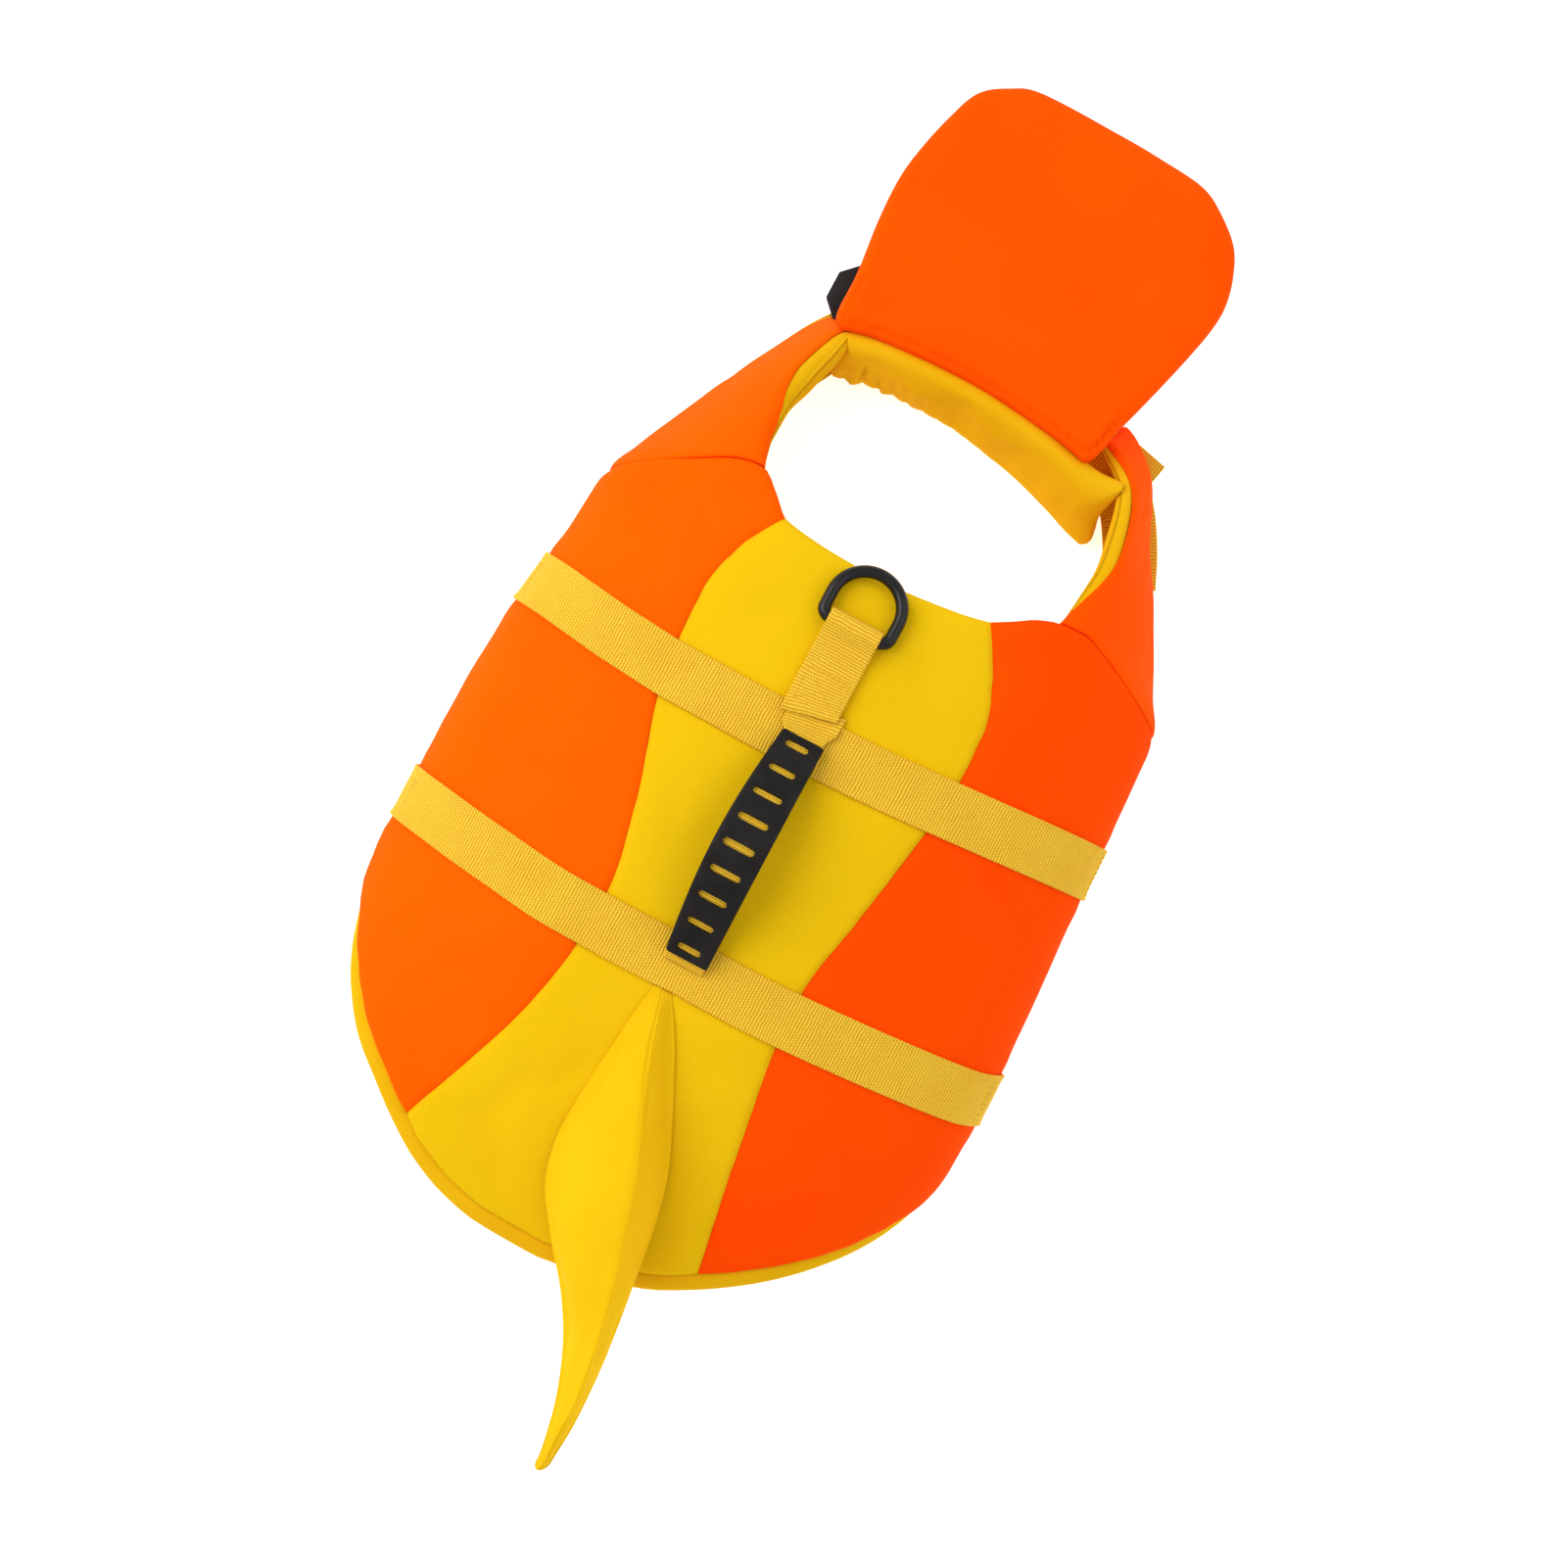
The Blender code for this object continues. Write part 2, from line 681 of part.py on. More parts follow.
def throat_pad(look):
    """The padded band across the throat, leaning forward at its top."""
    x0, x1 = THROAT.rows[0, 0], THROAT.rows[-1, 0]
    outer, inner = [], []
    for s in edge_spaced(x1 - x0, 15):
        x = blend(x0, x1, s)
        top = np.array([x, THROAT.at("top_y", x), THROAT_TOP])
        bottom = np.array([x + THROAT.at("lean", x), THROAT.at("bottom_y", x), THROAT_BOTTOM])
        outer.append([])
        inner.append([])
        slope = (THROAT.at("top_y", x + 2) - THROAT.at("top_y", x - 2)) / 4
        along = unit(np.array([1.0, slope, 0.0]))
        normal = unit(np.cross(along, bottom - top))
        for t in edge_spaced(45.0, 5):
            middle = blend(top, bottom, t)
            edge = min(t * 45.0, (1 - t) * 45.0, s * (x1 - x0), (1 - s) * (x1 - x0))
            half = THROAT_THICK / 2 - edge_drop(edge, THROAT_THICK, 14.0)
            outer[-1].append(middle - normal * half)
            inner[-1].append(middle + normal * half)
    return pad("throat_pad", outer, inner, look)


def chin_float(look):
    """The padded flap under the chin: rings from its outline in to its middle, above and below."""
    outline = ring_through(CHIN_FLOAT, 2)
    middle = np.mean(outline, axis=0)
    count = len(outline)
    insets = (0.0, 3.0, 8.0, 16.0, 34.0)
    points, faces = [], []

    def ring(inset, sign):
        start = len(points)
        for p in outline:
            reach = float(np.linalg.norm(p - middle))
            q = blend(p, middle, inset / reach)
            half = FLOAT_THICK / 2 - edge_drop(inset, FLOAT_THICK, FLOAT_ROUND)
            z = FLOAT_HEIGHT.at("middle", q[1]) + sign * half
            points.append((q[0], q[1], max(0.0, z)))
        return start

    border = ring(insets[0], 1)
    for sign in (1, -1):
        last = border
        for inset in insets[1:]:
            new = ring(inset, sign)
            for i in range(count):
                j = (i + 1) % count
                face = (last + i, last + j, new + j, new + i)
                faces.append(face if sign > 0 else face[::-1])
            last = new
        z = FLOAT_HEIGHT.at("middle", middle[1]) + sign * FLOAT_THICK / 2
        points.append((middle[0], middle[1], z))
        hub = len(points) - 1
        for i in range(count):
            face = (last + i, last + (i + 1) % count, hub)
            faces.append(face if sign > 0 else face[::-1])
    return add_solid("chin_float", points, faces, look)


# ---------------------------------------------------------------------------------- webbing


def band(name, centres, sides, ups, width, thick, look):
    """Webbing along a row of centres of its underside, with its sideways and upward directions there."""
    lower, upper = [], []
    for centre, side, up in zip(centres, sides, ups):
        edge = unit(side) * width / 2
        lower.append([centre - edge, centre + edge])
        upper.append([p + unit(up) * thick for p in lower[-1]])
    return wall(name, upper, lower, look)


def girth_strap(name, y_middle, look):
    """A strap sewn over the back, round both sides and under the belly to its buckle."""
    sections = []
    for column in range(len(EDGE_STEPS) - 1, LAST_COLUMN - len(EDGE_STEPS) + 2):
        share = min(1.0, abs(column_girth(column, y_middle)) / STRAP_RISE_GIRTH)
        y = y_middle + STRAP_RISE * share**2 * (3 - 2 * share)
        edges = [y + WEBBING_WIDTH * t for t in (-0.5, 0.0, 0.5)]
        lifts = (STRAP_LIFT, STRAP_LIFT + WEBBING)
        sections.append([[on_column(column, e, lift) for e in edges] for lift in lifts])
    y = y_middle + STRAP_RISE
    edges = [y + WEBBING_WIDTH * t for t in (-0.5, 0.0, 0.5)]
    for side in (-1, 1):
        for x, z in STRAP_UNDER:
            layers = [[np.array([side * x, e, z + lift]) for e in edges] for lift in (WEBBING, 0.0)]
            sections.insert(0 if side < 0 else len(sections), layers)
    inner, outer = [s[0] for s in sections], [s[1] for s in sections]
    return wall(name, outer, inner, look)


def flat_band(name, route, width, look):
    """Webbing lying flat along a route of plan points and heights."""
    centres = [np.array([x, y, max(0.0, z)]) for x, y, z in curve_through(route, 5)]
    sides = []
    for i in range(len(centres)):
        ahead = centres[min(i + 1, len(centres) - 1)] - centres[max(i - 1, 0)]
        sides.append(np.array([-ahead[1], ahead[0], 0.0]))
    ups = [np.array([0.0, 0.0, 1.0])] * len(centres)
    return band(name, centres, sides, ups, width, WEBBING, look)


def profile_band(name, line, look):
    """A strip of webbing along rows of x, y, z and width of its middle layer, level across."""
    outer, inner = [], []
    for i, (x, y, z, width) in enumerate(line):
        ahead = unit(np.array(line[min(i + 1, len(line) - 1)][1:3]) - np.array(line[max(i - 1, 0)][1:3]))
        normal = np.array([0.0, -ahead[1], ahead[0]]) * WEBBING / 2
        for grid, place in ((outer, np.array([x, y, z]) + normal), (inner, np.array([x, y, z]) - normal)):
            grid.append([place + np.array([t * width, 0.0, 0.0]) for t in (-0.5, 0.0, 0.5)])
    return wall(name, outer, inner, look)


# ---------------------------------------------------------------------------------- ring and handle


class Seat:
    """The top of pieces already made, for what lies on them."""

    def __init__(self, *objects):
        self.trees = []
        for obj in objects:
            points = [v.co / MM for v in obj.data.vertices]
            self.trees.append(BVHTree.FromPolygons(points, [tuple(p.vertices) for p in obj.data.polygons]))

    def height(self, x, y):
        hits = [tree.ray_cast(Vector((x, y, 500.0)), Vector((0.0, 0.0, -1.0)))[0] for tree in self.trees]
        return max((hit.z for hit in hits if hit), default=0.0)


def bar_height(back):
    """The height of the lead ring's straight bar, inside the loop of its tab."""
    return back.height(RING_X, RING_BAR_Y) + GAP + WEBBING + BAR_PLAY + RING_WIRE / 2


def lead_ring(bar_z, look):
    """A D-shaped ring: a half circle, two short sides and a bar, lying forward from its tab."""
    path = [(-RING_RADIUS + RING_CORNER, 0.0), (RING_RADIUS - RING_CORNER, 0.0)]
    for k in range(1, 4):
        a = math.pi / 2 * k / 3
        path.append((RING_RADIUS - RING_CORNER * (1 - math.sin(a)), RING_CORNER * (1 - math.cos(a))))
    for k in range(17):
        a = math.pi * k / 16
        path.append((RING_RADIUS * math.cos(a), RING_SIDE + RING_RADIUS * math.sin(a)))
    for k in range(3, 0, -1):
        a = math.pi / 2 * k / 3
        path.append((-RING_RADIUS + RING_CORNER * (1 - math.sin(a)), RING_CORNER * (1 - math.cos(a))))
    turn = 2 * math.pi / RING_FACETS
    points, faces = [], []
    count = len(path)
    for i, (x, y) in enumerate(path):
        ahead, behind = np.array(path[(i + 1) % count]), np.array(path[i - 1])
        out = unit(np.array([ahead[1] - behind[1], behind[0] - ahead[0]]))
        for k in range(RING_FACETS):
            reach = RING_WIRE / 2 * math.cos(k * turn)
            flat = np.array([x, y]) + out * reach
            points.append((flat[0], flat[1], RING_WIRE / 2 * math.sin(k * turn)))
            j, n = (i + 1) % count, (k + 1) % RING_FACETS
            faces.append((i * RING_FACETS + k, i * RING_FACETS + n, j * RING_FACETS + n, j * RING_FACETS + k))
    droop = np.array([math.cos(RING_DROOP), -math.sin(RING_DROOP)])
    placed = [
        (RING_X + x, RING_BAR_Y + y * droop[0] - z * droop[1], bar_z + y * droop[1] + z * droop[0])
        for x, y, z in points
    ]
    return add_solid("lead_ring", placed, faces, look)


def ring_tab(back, bar_z, look):
    """The tab: its lower layer on the back, a loop round the ring's bar, and its upper layer over both."""
    radius = RING_WIRE / 2 + BAR_PLAY + WEBBING / 2
    start = FRONT_STRAP_Y + WEBBING_WIDTH / 2 + 1.5
    line = []
    for y in np.linspace(start, RING_BAR_Y - 1.5, 6):
        line.append((y, back.height(RING_X, y) + GAP + WEBBING / 2))
    for k in range(1, 11):
        a = -math.pi / 2 + 1.08 * math.pi * k / 10
        line.append((RING_BAR_Y + radius * math.cos(a), bar_z + radius * math.sin(a)))
    over = WEBBING + 2 * GAP + WEBBING / 2
    line.append((RING_BAR_Y - 6.0, back.height(RING_X, RING_BAR_Y - 6.0) + over + 1.6))
    for y in (RING_BAR_Y - 12.0, RING_BAR_Y - 22.0, RING_BAR_Y - 32.0, start, TAB_END):
        line.append((y, back.height(RING_X, y) + over))
    return profile_band("ring_tab", [(RING_X, y, z, WEBBING_WIDTH) for y, z in line], look)


def handle_line(seat):
    """The handle's webbing, from its front end sewn down on the strap, over the arch to its rear end."""
    ends = list(np.linspace(GRIP_FRONT, HANDLE_FRONT_END, 4)[:0:-1])
    grip_part = list(np.linspace(GRIP_FRONT, GRIP_REAR, GRIP_SECTIONS))
    tail_part = list(np.linspace(GRIP_REAR, HANDLE_REAR_END, 5)[1:])
    line = []
    for y in ends + grip_part + tail_part:
        share = (GRIP_FRONT - y) / (GRIP_FRONT - GRIP_REAR)
        inside = min(1.0, max(0.0, share))
        arch = math.sin(math.pi * inside)
        outside = max(0.0, -share, share - 1) * (GRIP_FRONT - GRIP_REAR)
        sewn = max(0.0, 1 - outside / HANDLE_RAMP)
        z = seat.height(HANDLE_X, y) + GAP + WEBBING / 2
        z += HANDLE_RISE * arch**HANDLE_ARCH_POWER + (GRIP_THICK - WEBBING) / 2 * sewn**2 * (3 - 2 * sewn)
        width = blend(WEBBING_WIDTH, HANDLE_WEBBING_WIDTH, sewn)
        line.append((HANDLE_X + HANDLE_BOW * arch, y, z, width))
    return line


def grip_loop(half_width, half_height, corner):
    """A rounded rectangle, as offsets across and up, with 12 points."""
    loop = []
    for quarter in range(4):
        cx = (half_width - corner) * (1 if quarter in (0, 3) else -1)
        cy = (half_height - corner) * (1 if quarter in (0, 1) else -1)
        for k in range(3):
            a = math.pi / 2 * (quarter + k / 2)
            loop.append((cx + corner * math.cos(a), cy + corner * math.sin(a)))
    return loop


def grip_frames(line):
    """Share, place and upward direction at each section of the grip."""
    inside = [i for i, row in enumerate(line) if GRIP_REAR - 0.01 <= row[1] <= GRIP_FRONT + 0.01]
    frames = []
    for n, i in enumerate(inside):
        ahead = unit(np.array(line[i + 1][1:3]) - np.array(line[i - 1][1:3]))
        frames.append((n / (len(inside) - 1), np.array(line[i][:3]), np.array([0.0, ahead[1], -ahead[0]])))
    return frames


def grip(frames, look):
    """A rubber sleeve round the handle's webbing, with a row of slots through its upper wall."""
    points, faces = [], []
    loop_size = 12
    for share, place, up in frames:
        half = blend(GRIP_END_WIDTH, GRIP_MIDDLE_WIDTH, math.sin(math.pi * share)) / 2
        hole = (HANDLE_WEBBING_WIDTH / 2 + 0.5, WEBBING / 2 + 0.35, 0.3)
        for w, h, c in ((half, GRIP_THICK / 2, GRIP_CORNER), hole):
            points += [place + np.array([a, 0, 0]) + up * b for a, b in grip_loop(w, h, c)]
    last = len(frames) - 1
    for i in range(len(frames)):
        for k in range(loop_size):
            a, b = 2 * i * loop_size + k, 2 * i * loop_size + (k + 1) % loop_size
            c, d = a + loop_size, b + loop_size
            if i < last:
                faces.append((a, b, b + 2 * loop_size, a + 2 * loop_size))
                faces.append((d, c, c + 2 * loop_size, d + 2 * loop_size))
            if i in (0, last):
                faces.append((a, c, d, b) if i == 0 else (a, b, d, c))
    sleeve = add_solid("handle_grip", points, faces, look)
    cut = sleeve.modifiers.new("slots", "BOOLEAN")
    cut.object = slot_cutter(frames, look)
    cut.operation = "DIFFERENCE"
    cut.solver = "EXACT"
    return sleeve


def slot_cutter(frames, look):
    """Round-ended cutters in a row, standing square to the grip and longest at its middle."""
    points, faces = [], []
    rim_points = 10
    shares = [f[0] for f in frames]
    first = SLOT_END_MARGIN / (GRIP_FRONT - GRIP_REAR)
    for k in range(SLOT_COUNT):
        share = blend(first, 1 - first, k / (SLOT_COUNT - 1))
        i = min(int(np.searchsorted(shares, share)), len(frames) - 1)
        t = (share - shares[i - 1]) / (shares[i] - shares[i - 1])
        place, up = blend(frames[i - 1][1], frames[i][1], t), unit(blend(frames[i - 1][2], frames[i][2], t))
        along = np.cross(up, np.array([1.0, 0.0, 0.0]))
        length = blend(SLOT_END_LENGTH, SLOT_MIDDLE_LENGTH, math.sin(math.pi * share))
        start = len(points)
        for height in (0.2, GRIP_THICK):
            for n in range(rim_points):
                a = 2 * math.pi * (n + 0.5) / rim_points
                x = math.copysign((length - SLOT_WIDTH) / 2, math.cos(a)) + SLOT_WIDTH / 2 * math.cos(a)
                across = np.array([SLOT_SHIFT + x, 0, 0])
                points.append(place + across + along * SLOT_WIDTH / 2 * math.sin(a) + up * height)
        top = start + rim_points
        faces.append(tuple(start + n for n in reversed(range(rim_points))))
        faces.append(tuple(top + n for n in range(rim_points)))
        for n in range(rim_points):
            m = (n + 1) % rim_points
            faces.append((start + n, start + m, top + m, top + n))
    cutter = add_solid("slot_cutter", points, faces, look)
    cutter.hide_render = True
    cutter.display_type = "WIRE"
    return cutter


# ---------------------------------------------------------------------------------- tail


def tail_seat(back, x, y):
    """The underside of the tail: a gap above the back panel, then clear of the hem behind it."""
    girth = math.copysign(girth_at(1, abs(x), -TAIL_HEM), x)
    hem = row_y(HEM_ROW, girth) + 1.0
    if y > hem:
        return back.height(x, y) + GAP + 0.1
    share = min(1.0, (hem - y) / (hem - TAIL_TIP[1]))
    return blend(back.height(x, hem) + GAP, TAIL_TIP[2] - 3.0, share**TAIL_LIFT_POWER)


def tail_ring(back, y, half):
    """Points round one half of the tail at y: its outer face up to the ridge, its seam face, its underside."""
    outer_x = TAIL.at("left" if half < 0 else "right", y)
    peak_x = TAIL.at("ridge", y) + half * GAP / 2
    edge = np.array([outer_x, y, tail_seat(back, outer_x, y)])
    foot = np.array([peak_x, y, tail_seat(back, peak_x, y)])
    peak = foot + np.array([0.0, 0.0, max(0.6, TAIL.at("rise", y))])
    out = unit(np.array([half * (peak[2] - edge[2]), 0.0, abs(outer_x - peak_x)]))
    bulge = TAIL_BULGE * float(np.linalg.norm(peak - edge))
    face = [blend(edge, peak, t) + out * bulge * 4 * t * (1 - t) for t in np.linspace(0, 1, 7)]
    under = []
    for t in (0.66, 0.33):
        x = blend(edge, foot, t)[0]
        under.append(np.array([x, y, tail_seat(back, x, y)]))
    return [*face, blend(peak, foot, 0.5), foot, *under]


def tail_half(name, half, back, look):
    on_back = np.linspace(TAIL.rows[-1, 0], -TAIL_HEM, 11)
    behind = np.linspace(-TAIL_HEM, TAIL.rows[0, 0], 10)[1:]
    rings = [tail_ring(back, float(y), half) for y in (*on_back, *behind)]
    count = len(rings[0])
    points = [p for ring in rings for p in ring]
    points.append(np.array(TAIL_TIP) + np.array([half * GAP / 2, 0, 0]))
    faces = [tuple(range(count))]
    for i in range(len(rings) - 1):
        for k in range(count):
            n = (k + 1) % count
            faces.append((i * count + k, i * count + n, (i + 1) * count + n, (i + 1) * count + k))
    last = (len(rings) - 1) * count
    faces += [(last + k, last + (k + 1) % count, len(points) - 1) for k in range(count)]
    return add_solid(name, points, faces, look)


# ---------------------------------------------------------------------------------- buckles

def outline_solid(name, outline, pocket_x, place, look):
    """An outline in plan, raised to the buckle's height, with a pocket that takes the end of a strap."""
    count = len(outline)
    points = [(x, y, z) for z in (0.0, BUCKLE_HEIGHT) for x, y in outline]
    faces = [tuple(reversed(range(count))), tuple(range(count, 2 * count))]
    faces += [(i, (i + 1) % count, count + (i + 1) % count, count + i) for i in range(count)]
    body = add_solid(name, points, faces, look, smooth_angle=30.0)
    body.location = [c * MM for c in place]
    ease = body.modifiers.new("eased_edges", "BEVEL")
    ease.width = 0.8 * MM
    ease.segments = 1
    ease.limit_method = "ANGLE"
    ease.angle_limit = math.radians(50)
    x0, x1 = sorted((pocket_x[0], pocket_x[1]))
    y1 = WEBBING_WIDTH / 2 + GAP
    z0, z1 = BUCKLE_STRAP_Z - GAP, BUCKLE_STRAP_Z + WEBBING + GAP
    corners = [(x, y, z) for z in (z0, z1) for y in (-y1, y1) for x in (x0, x1)]
    box = [(0, 2, 3, 1), (4, 5, 7, 6), (0, 1, 5, 4), (2, 6, 7, 3), (0, 4, 6, 2), (1, 3, 7, 5)]
    cutter = add_solid(f"{name}_pocket", corners, box, look)
    cutter.location = body.location
    cutter.hide_render = True
    cutter.display_type = "WIRE"
    cut = body.modifiers.new("pocket", "BOOLEAN")
    cut.object = cutter
    cut.operation = "DIFFERENCE"
    cut.solver = "EXACT"
    return body


def buckle(word, place, look):
    """A fastened side-release buckle along X: the socket at +X, and the prong half with its two arms."""
    half = BUCKLE_WIDTH / 2
    joint = 0.0
    neck = half - PRONG_ARM_WIDTH - GAP
    end = joint + SOCKET_LENGTH
    arm_end = joint + PRONG_ARM
    socket = [
        (joint, -neck), (arm_end + GAP, -neck), (arm_end + GAP, -half), (end - 3, -half), (end, -half + 3),
        (end, half - 3), (end - 3, half), (arm_end + GAP, half), (arm_end + GAP, neck), (joint, neck),
    ]  # fmt: skip
    back = joint - GAP - PRONG_LENGTH
    prong = [
        (joint - GAP, neck + GAP), (arm_end - 3, neck + GAP), (arm_end, half - 2.5), (arm_end - 4, half),
        (joint - 4, half), (joint - 7, half - 1.5), (back + 5, half - 2.0), (back + 1.5, half - 5.0),
        (back, half - 9), (back, -half + 9), (back + 1.5, -half + 5), (back + 5, -half + 2),
        (joint - 7, -half + 1.5), (joint - 4, -half), (arm_end - 4, -half), (arm_end, -half + 2.5),
        (arm_end - 3, -neck - GAP), (joint - GAP, -neck - GAP),
    ]  # fmt: skip
    outline_solid(f"{word}_buckle_socket", socket, (end - POCKET_DEPTH, end + 1), place, look)
    outline_solid(f"{word}_buckle_prong", prong, (back - 1, back + POCKET_DEPTH), place, look)


def stand_on_origin(bar_z):
    """Moves everything so that the middle of its base is the origin."""
    bpy.context.view_layer.update()
    graph = bpy.context.evaluated_depsgraph_get()
    corners = []
    for obj in bpy.context.scene.objects:
        if obj.hide_render:
            continue
        shown = obj.evaluated_get(graph)
        mesh = shown.to_mesh()
        corners += [shown.matrix_world @ v.co for v in mesh.vertices]
        shown.to_mesh_clear()
    low = [min(c[i] for c in corners) for i in range(3)]
    high = [max(c[i] for c in corners) for i in range(3)]
    shift = ((low[0] + high[0]) / 2, (low[1] + high[1]) / 2, low[2])
    for obj in bpy.context.scene.objects:
        obj.location = [c - s for c, s in zip(obj.location, shift)]
    print("origin_shift_mm", [round(s * 1000, 3) for s in shift])
    print("ring_bar_mm", [round(c, 3) for c in (RING_X, RING_BAR_Y, bar_z)])


def build():
    clear_scene()
    orange = material("orange_cloth", ORANGE, 0.7)
    yellow = material("yellow_cloth", YELLOW, 0.7)
    web = material("yellow_webbing", WEB_YELLOW, 0.8)
    rubber = material("rubber", BLACK, 0.55)
    plastic = material("black_plastic", BLACK, 0.4)
    coated = material("black_coated_steel", BLACK, 0.3)
    body_pad(yellow)
    panels = [
        panel("back_panel_center", LEFT_SEAM, RIGHT_SEAM, yellow),
        panel("side_panel_left", 0, LEFT_SEAM, orange),
        panel("side_panel_right", RIGHT_SEAM, LAST_COLUMN, orange),
    ]
    collar_arm("left", LEFT_ARM, -1, orange, yellow)
    collar_arm("right", RIGHT_ARM, 1, orange, yellow)
    throat_pad(yellow)
    chin_float(orange)
    straps = [
        girth_strap("front_strap", FRONT_STRAP_Y, web),
        girth_strap("rear_strap", REAR_STRAP_Y, web),
    ]
    back, seat = Seat(*panels), Seat(*panels, *straps)
    flat_band("neck_strap_left", LEFT_NECK_ROUTE, WEBBING_WIDTH, web)
    flat_band("neck_strap_right", RIGHT_NECK_ROUTE, WEBBING_WIDTH, web)
    flat_band("neck_strap_cross", CROSS_ROUTE, WEBBING_WIDTH, web)
    bar_z = bar_height(back)
    lead_ring(bar_z, coated)
    ring_tab(back, bar_z, web)
    line = handle_line(seat)
    profile_band("handle_webbing", line, web)
    grip(grip_frames(line), rubber)
    tail_half("tail_left", -1, back, yellow)
    tail_half("tail_right", 1, back, yellow)
    middle = (PRONG_LENGTH + GAP - SOCKET_LENGTH) / 2
    buckle("front", (middle, FRONT_STRAP_Y + STRAP_RISE, 0.0), plastic)
    buckle("rear", (middle, REAR_STRAP_Y + STRAP_RISE, 0.0), plastic)
    buckle("neck", NECK_BUCKLE_PLACE, plastic)
    stand_on_origin(bar_z)


build()
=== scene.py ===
"""Dog life jacket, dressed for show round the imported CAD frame.

Cloth, padding, webbing, thread and hardware are drawn in millimetres in the jacket's own drawing frame: +Y
towards the head end, -X the dog's left, +Z up out of the back. A mesh moves to the row frame, in metres,
when it is made. Each sub-assembly is a class that holds its sizes, builds its pieces and dresses them.
"""

import logging
import math
from dataclasses import dataclass
from enum import Enum
from typing import Iterable, Optional, Sequence, Union

import bmesh
import bpy
import numpy as np
from bpy.types import Material, Node, NodeSocket, Object
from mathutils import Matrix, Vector
from mathutils.bvhtree import BVHTree
from mathutils.kdtree import KDTree


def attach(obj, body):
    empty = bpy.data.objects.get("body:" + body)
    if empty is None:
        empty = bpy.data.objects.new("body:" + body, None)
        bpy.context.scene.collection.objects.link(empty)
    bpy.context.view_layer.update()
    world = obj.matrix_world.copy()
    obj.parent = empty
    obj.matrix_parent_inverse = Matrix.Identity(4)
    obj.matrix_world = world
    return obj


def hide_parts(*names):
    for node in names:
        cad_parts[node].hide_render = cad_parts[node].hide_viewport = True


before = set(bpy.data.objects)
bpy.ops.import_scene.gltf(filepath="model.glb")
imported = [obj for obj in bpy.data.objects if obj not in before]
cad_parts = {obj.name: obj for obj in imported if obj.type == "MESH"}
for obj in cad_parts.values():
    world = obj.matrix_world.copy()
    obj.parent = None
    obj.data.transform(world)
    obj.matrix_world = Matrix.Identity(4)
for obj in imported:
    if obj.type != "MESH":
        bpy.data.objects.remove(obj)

log = logging.getLogger("life_jacket")

Array = np.ndarray
Number = Union[float, np.ndarray]
# What a node's input can be given
Input = Union[float, tuple, NodeSocket]

JACKET, RING = "jacket", "ring"
MM = 0.001
TURN = 2 * math.pi
# How far the drawing's origin lies from the row frame's; this and the sizes below are in millimetres
DRAWING_SHIFT = np.array([-0.979, 48.45, 0.0])

# The outer cloth's thickness, and how far it stands off the foam
CLOTH, CLOTH_LIFT = 1.6, 0.5
# The lined foam's thickness, and the distance over which a pad's edge closes
BODY_FOAM, EDGE_ROUND = 12.0, 8.0
# The gap between sewn layers, and a little air beyond it
SEAM_GAP, AIR = 0.3, 0.1
# The webbing's thickness and width, and the height of a girth strap's underside over the foam
WEBBING, WEBBING_WIDTH = 1.5, 25.0
STRAP_LIFT = CLOTH_LIFT + CLOTH + SEAM_GAP + AIR
# Shares of the width at which lines run along flat webbing
TAPE_SHARES = np.array([-0.5, -0.48, -0.44, -0.3, -0.1, 0.1, 0.3, 0.44, 0.48, 0.5])
# How wide the lined foam shows at the belly end of the hem
HEM_SHOWS = 6.5
# Distances round the body from the spine to the belly edge, and to the neck and the outer edge of an arm
HALF_GIRTH, NECK_GIRTH, SIDE_GIRTH = 262.0, 76.0, 172.0
ARM_WIDTH = SIDE_GIRTH - NECK_GIRTH


# ---- numbers


def unit(vectors: Array) -> Array:
    """The vectors, each brought to length one."""
    return vectors / np.maximum(np.linalg.norm(vectors, axis=-1, keepdims=True), 1e-9)


def mix(a: Number, b: Number, share: Number) -> Number:
    """The value a share of the way from a to b."""
    return a + (b - a) * share


def smooth(value: Number) -> Array:
    """A soft step from 0 at 0 to 1 at 1."""
    t = np.clip(value, 0.0, 1.0)
    return t * t * (3.0 - 2.0 * t)


def hump(distance: Number, width: float) -> Array:
    """A soft hump of height one, of that half width."""
    return np.exp(-np.square(np.asarray(distance) / width))


def wavy(run: Array, pitch: float, wander: float, wave: float) -> Array:
    """A ripple between -1 and 1 whose spacing wanders, as cloth fed by hand under a needle has."""
    return np.sin(run / pitch + wander * np.sin(run / wave))


def curve_step(a: Array, b: Array, c: Array, d: Array, t: Number) -> Array:
    """The point a share t of the way from b to c, on the smooth curve that passes all four."""
    return b + 0.5 * t * ((c - a) + t * ((2 * a - 5 * b + 4 * c - d) + t * (3 * b - 3 * c + d - a)))


def word_of(side: float) -> str:
    """The dog's side, left where the number is below zero."""
    return "left" if side < 0 else "right"


def closing(distance: Number, half: Number, reach: float = EDGE_ROUND) -> Array:
    """How far a pad's face has turned down at a distance from its edge, along a quarter of an ellipse."""
    t = np.clip(1.0 - np.asarray(distance) / reach, 0.0, 1.0)
    return half * (1.0 - np.sqrt(np.maximum(1.0 - t * t, 0.0)))


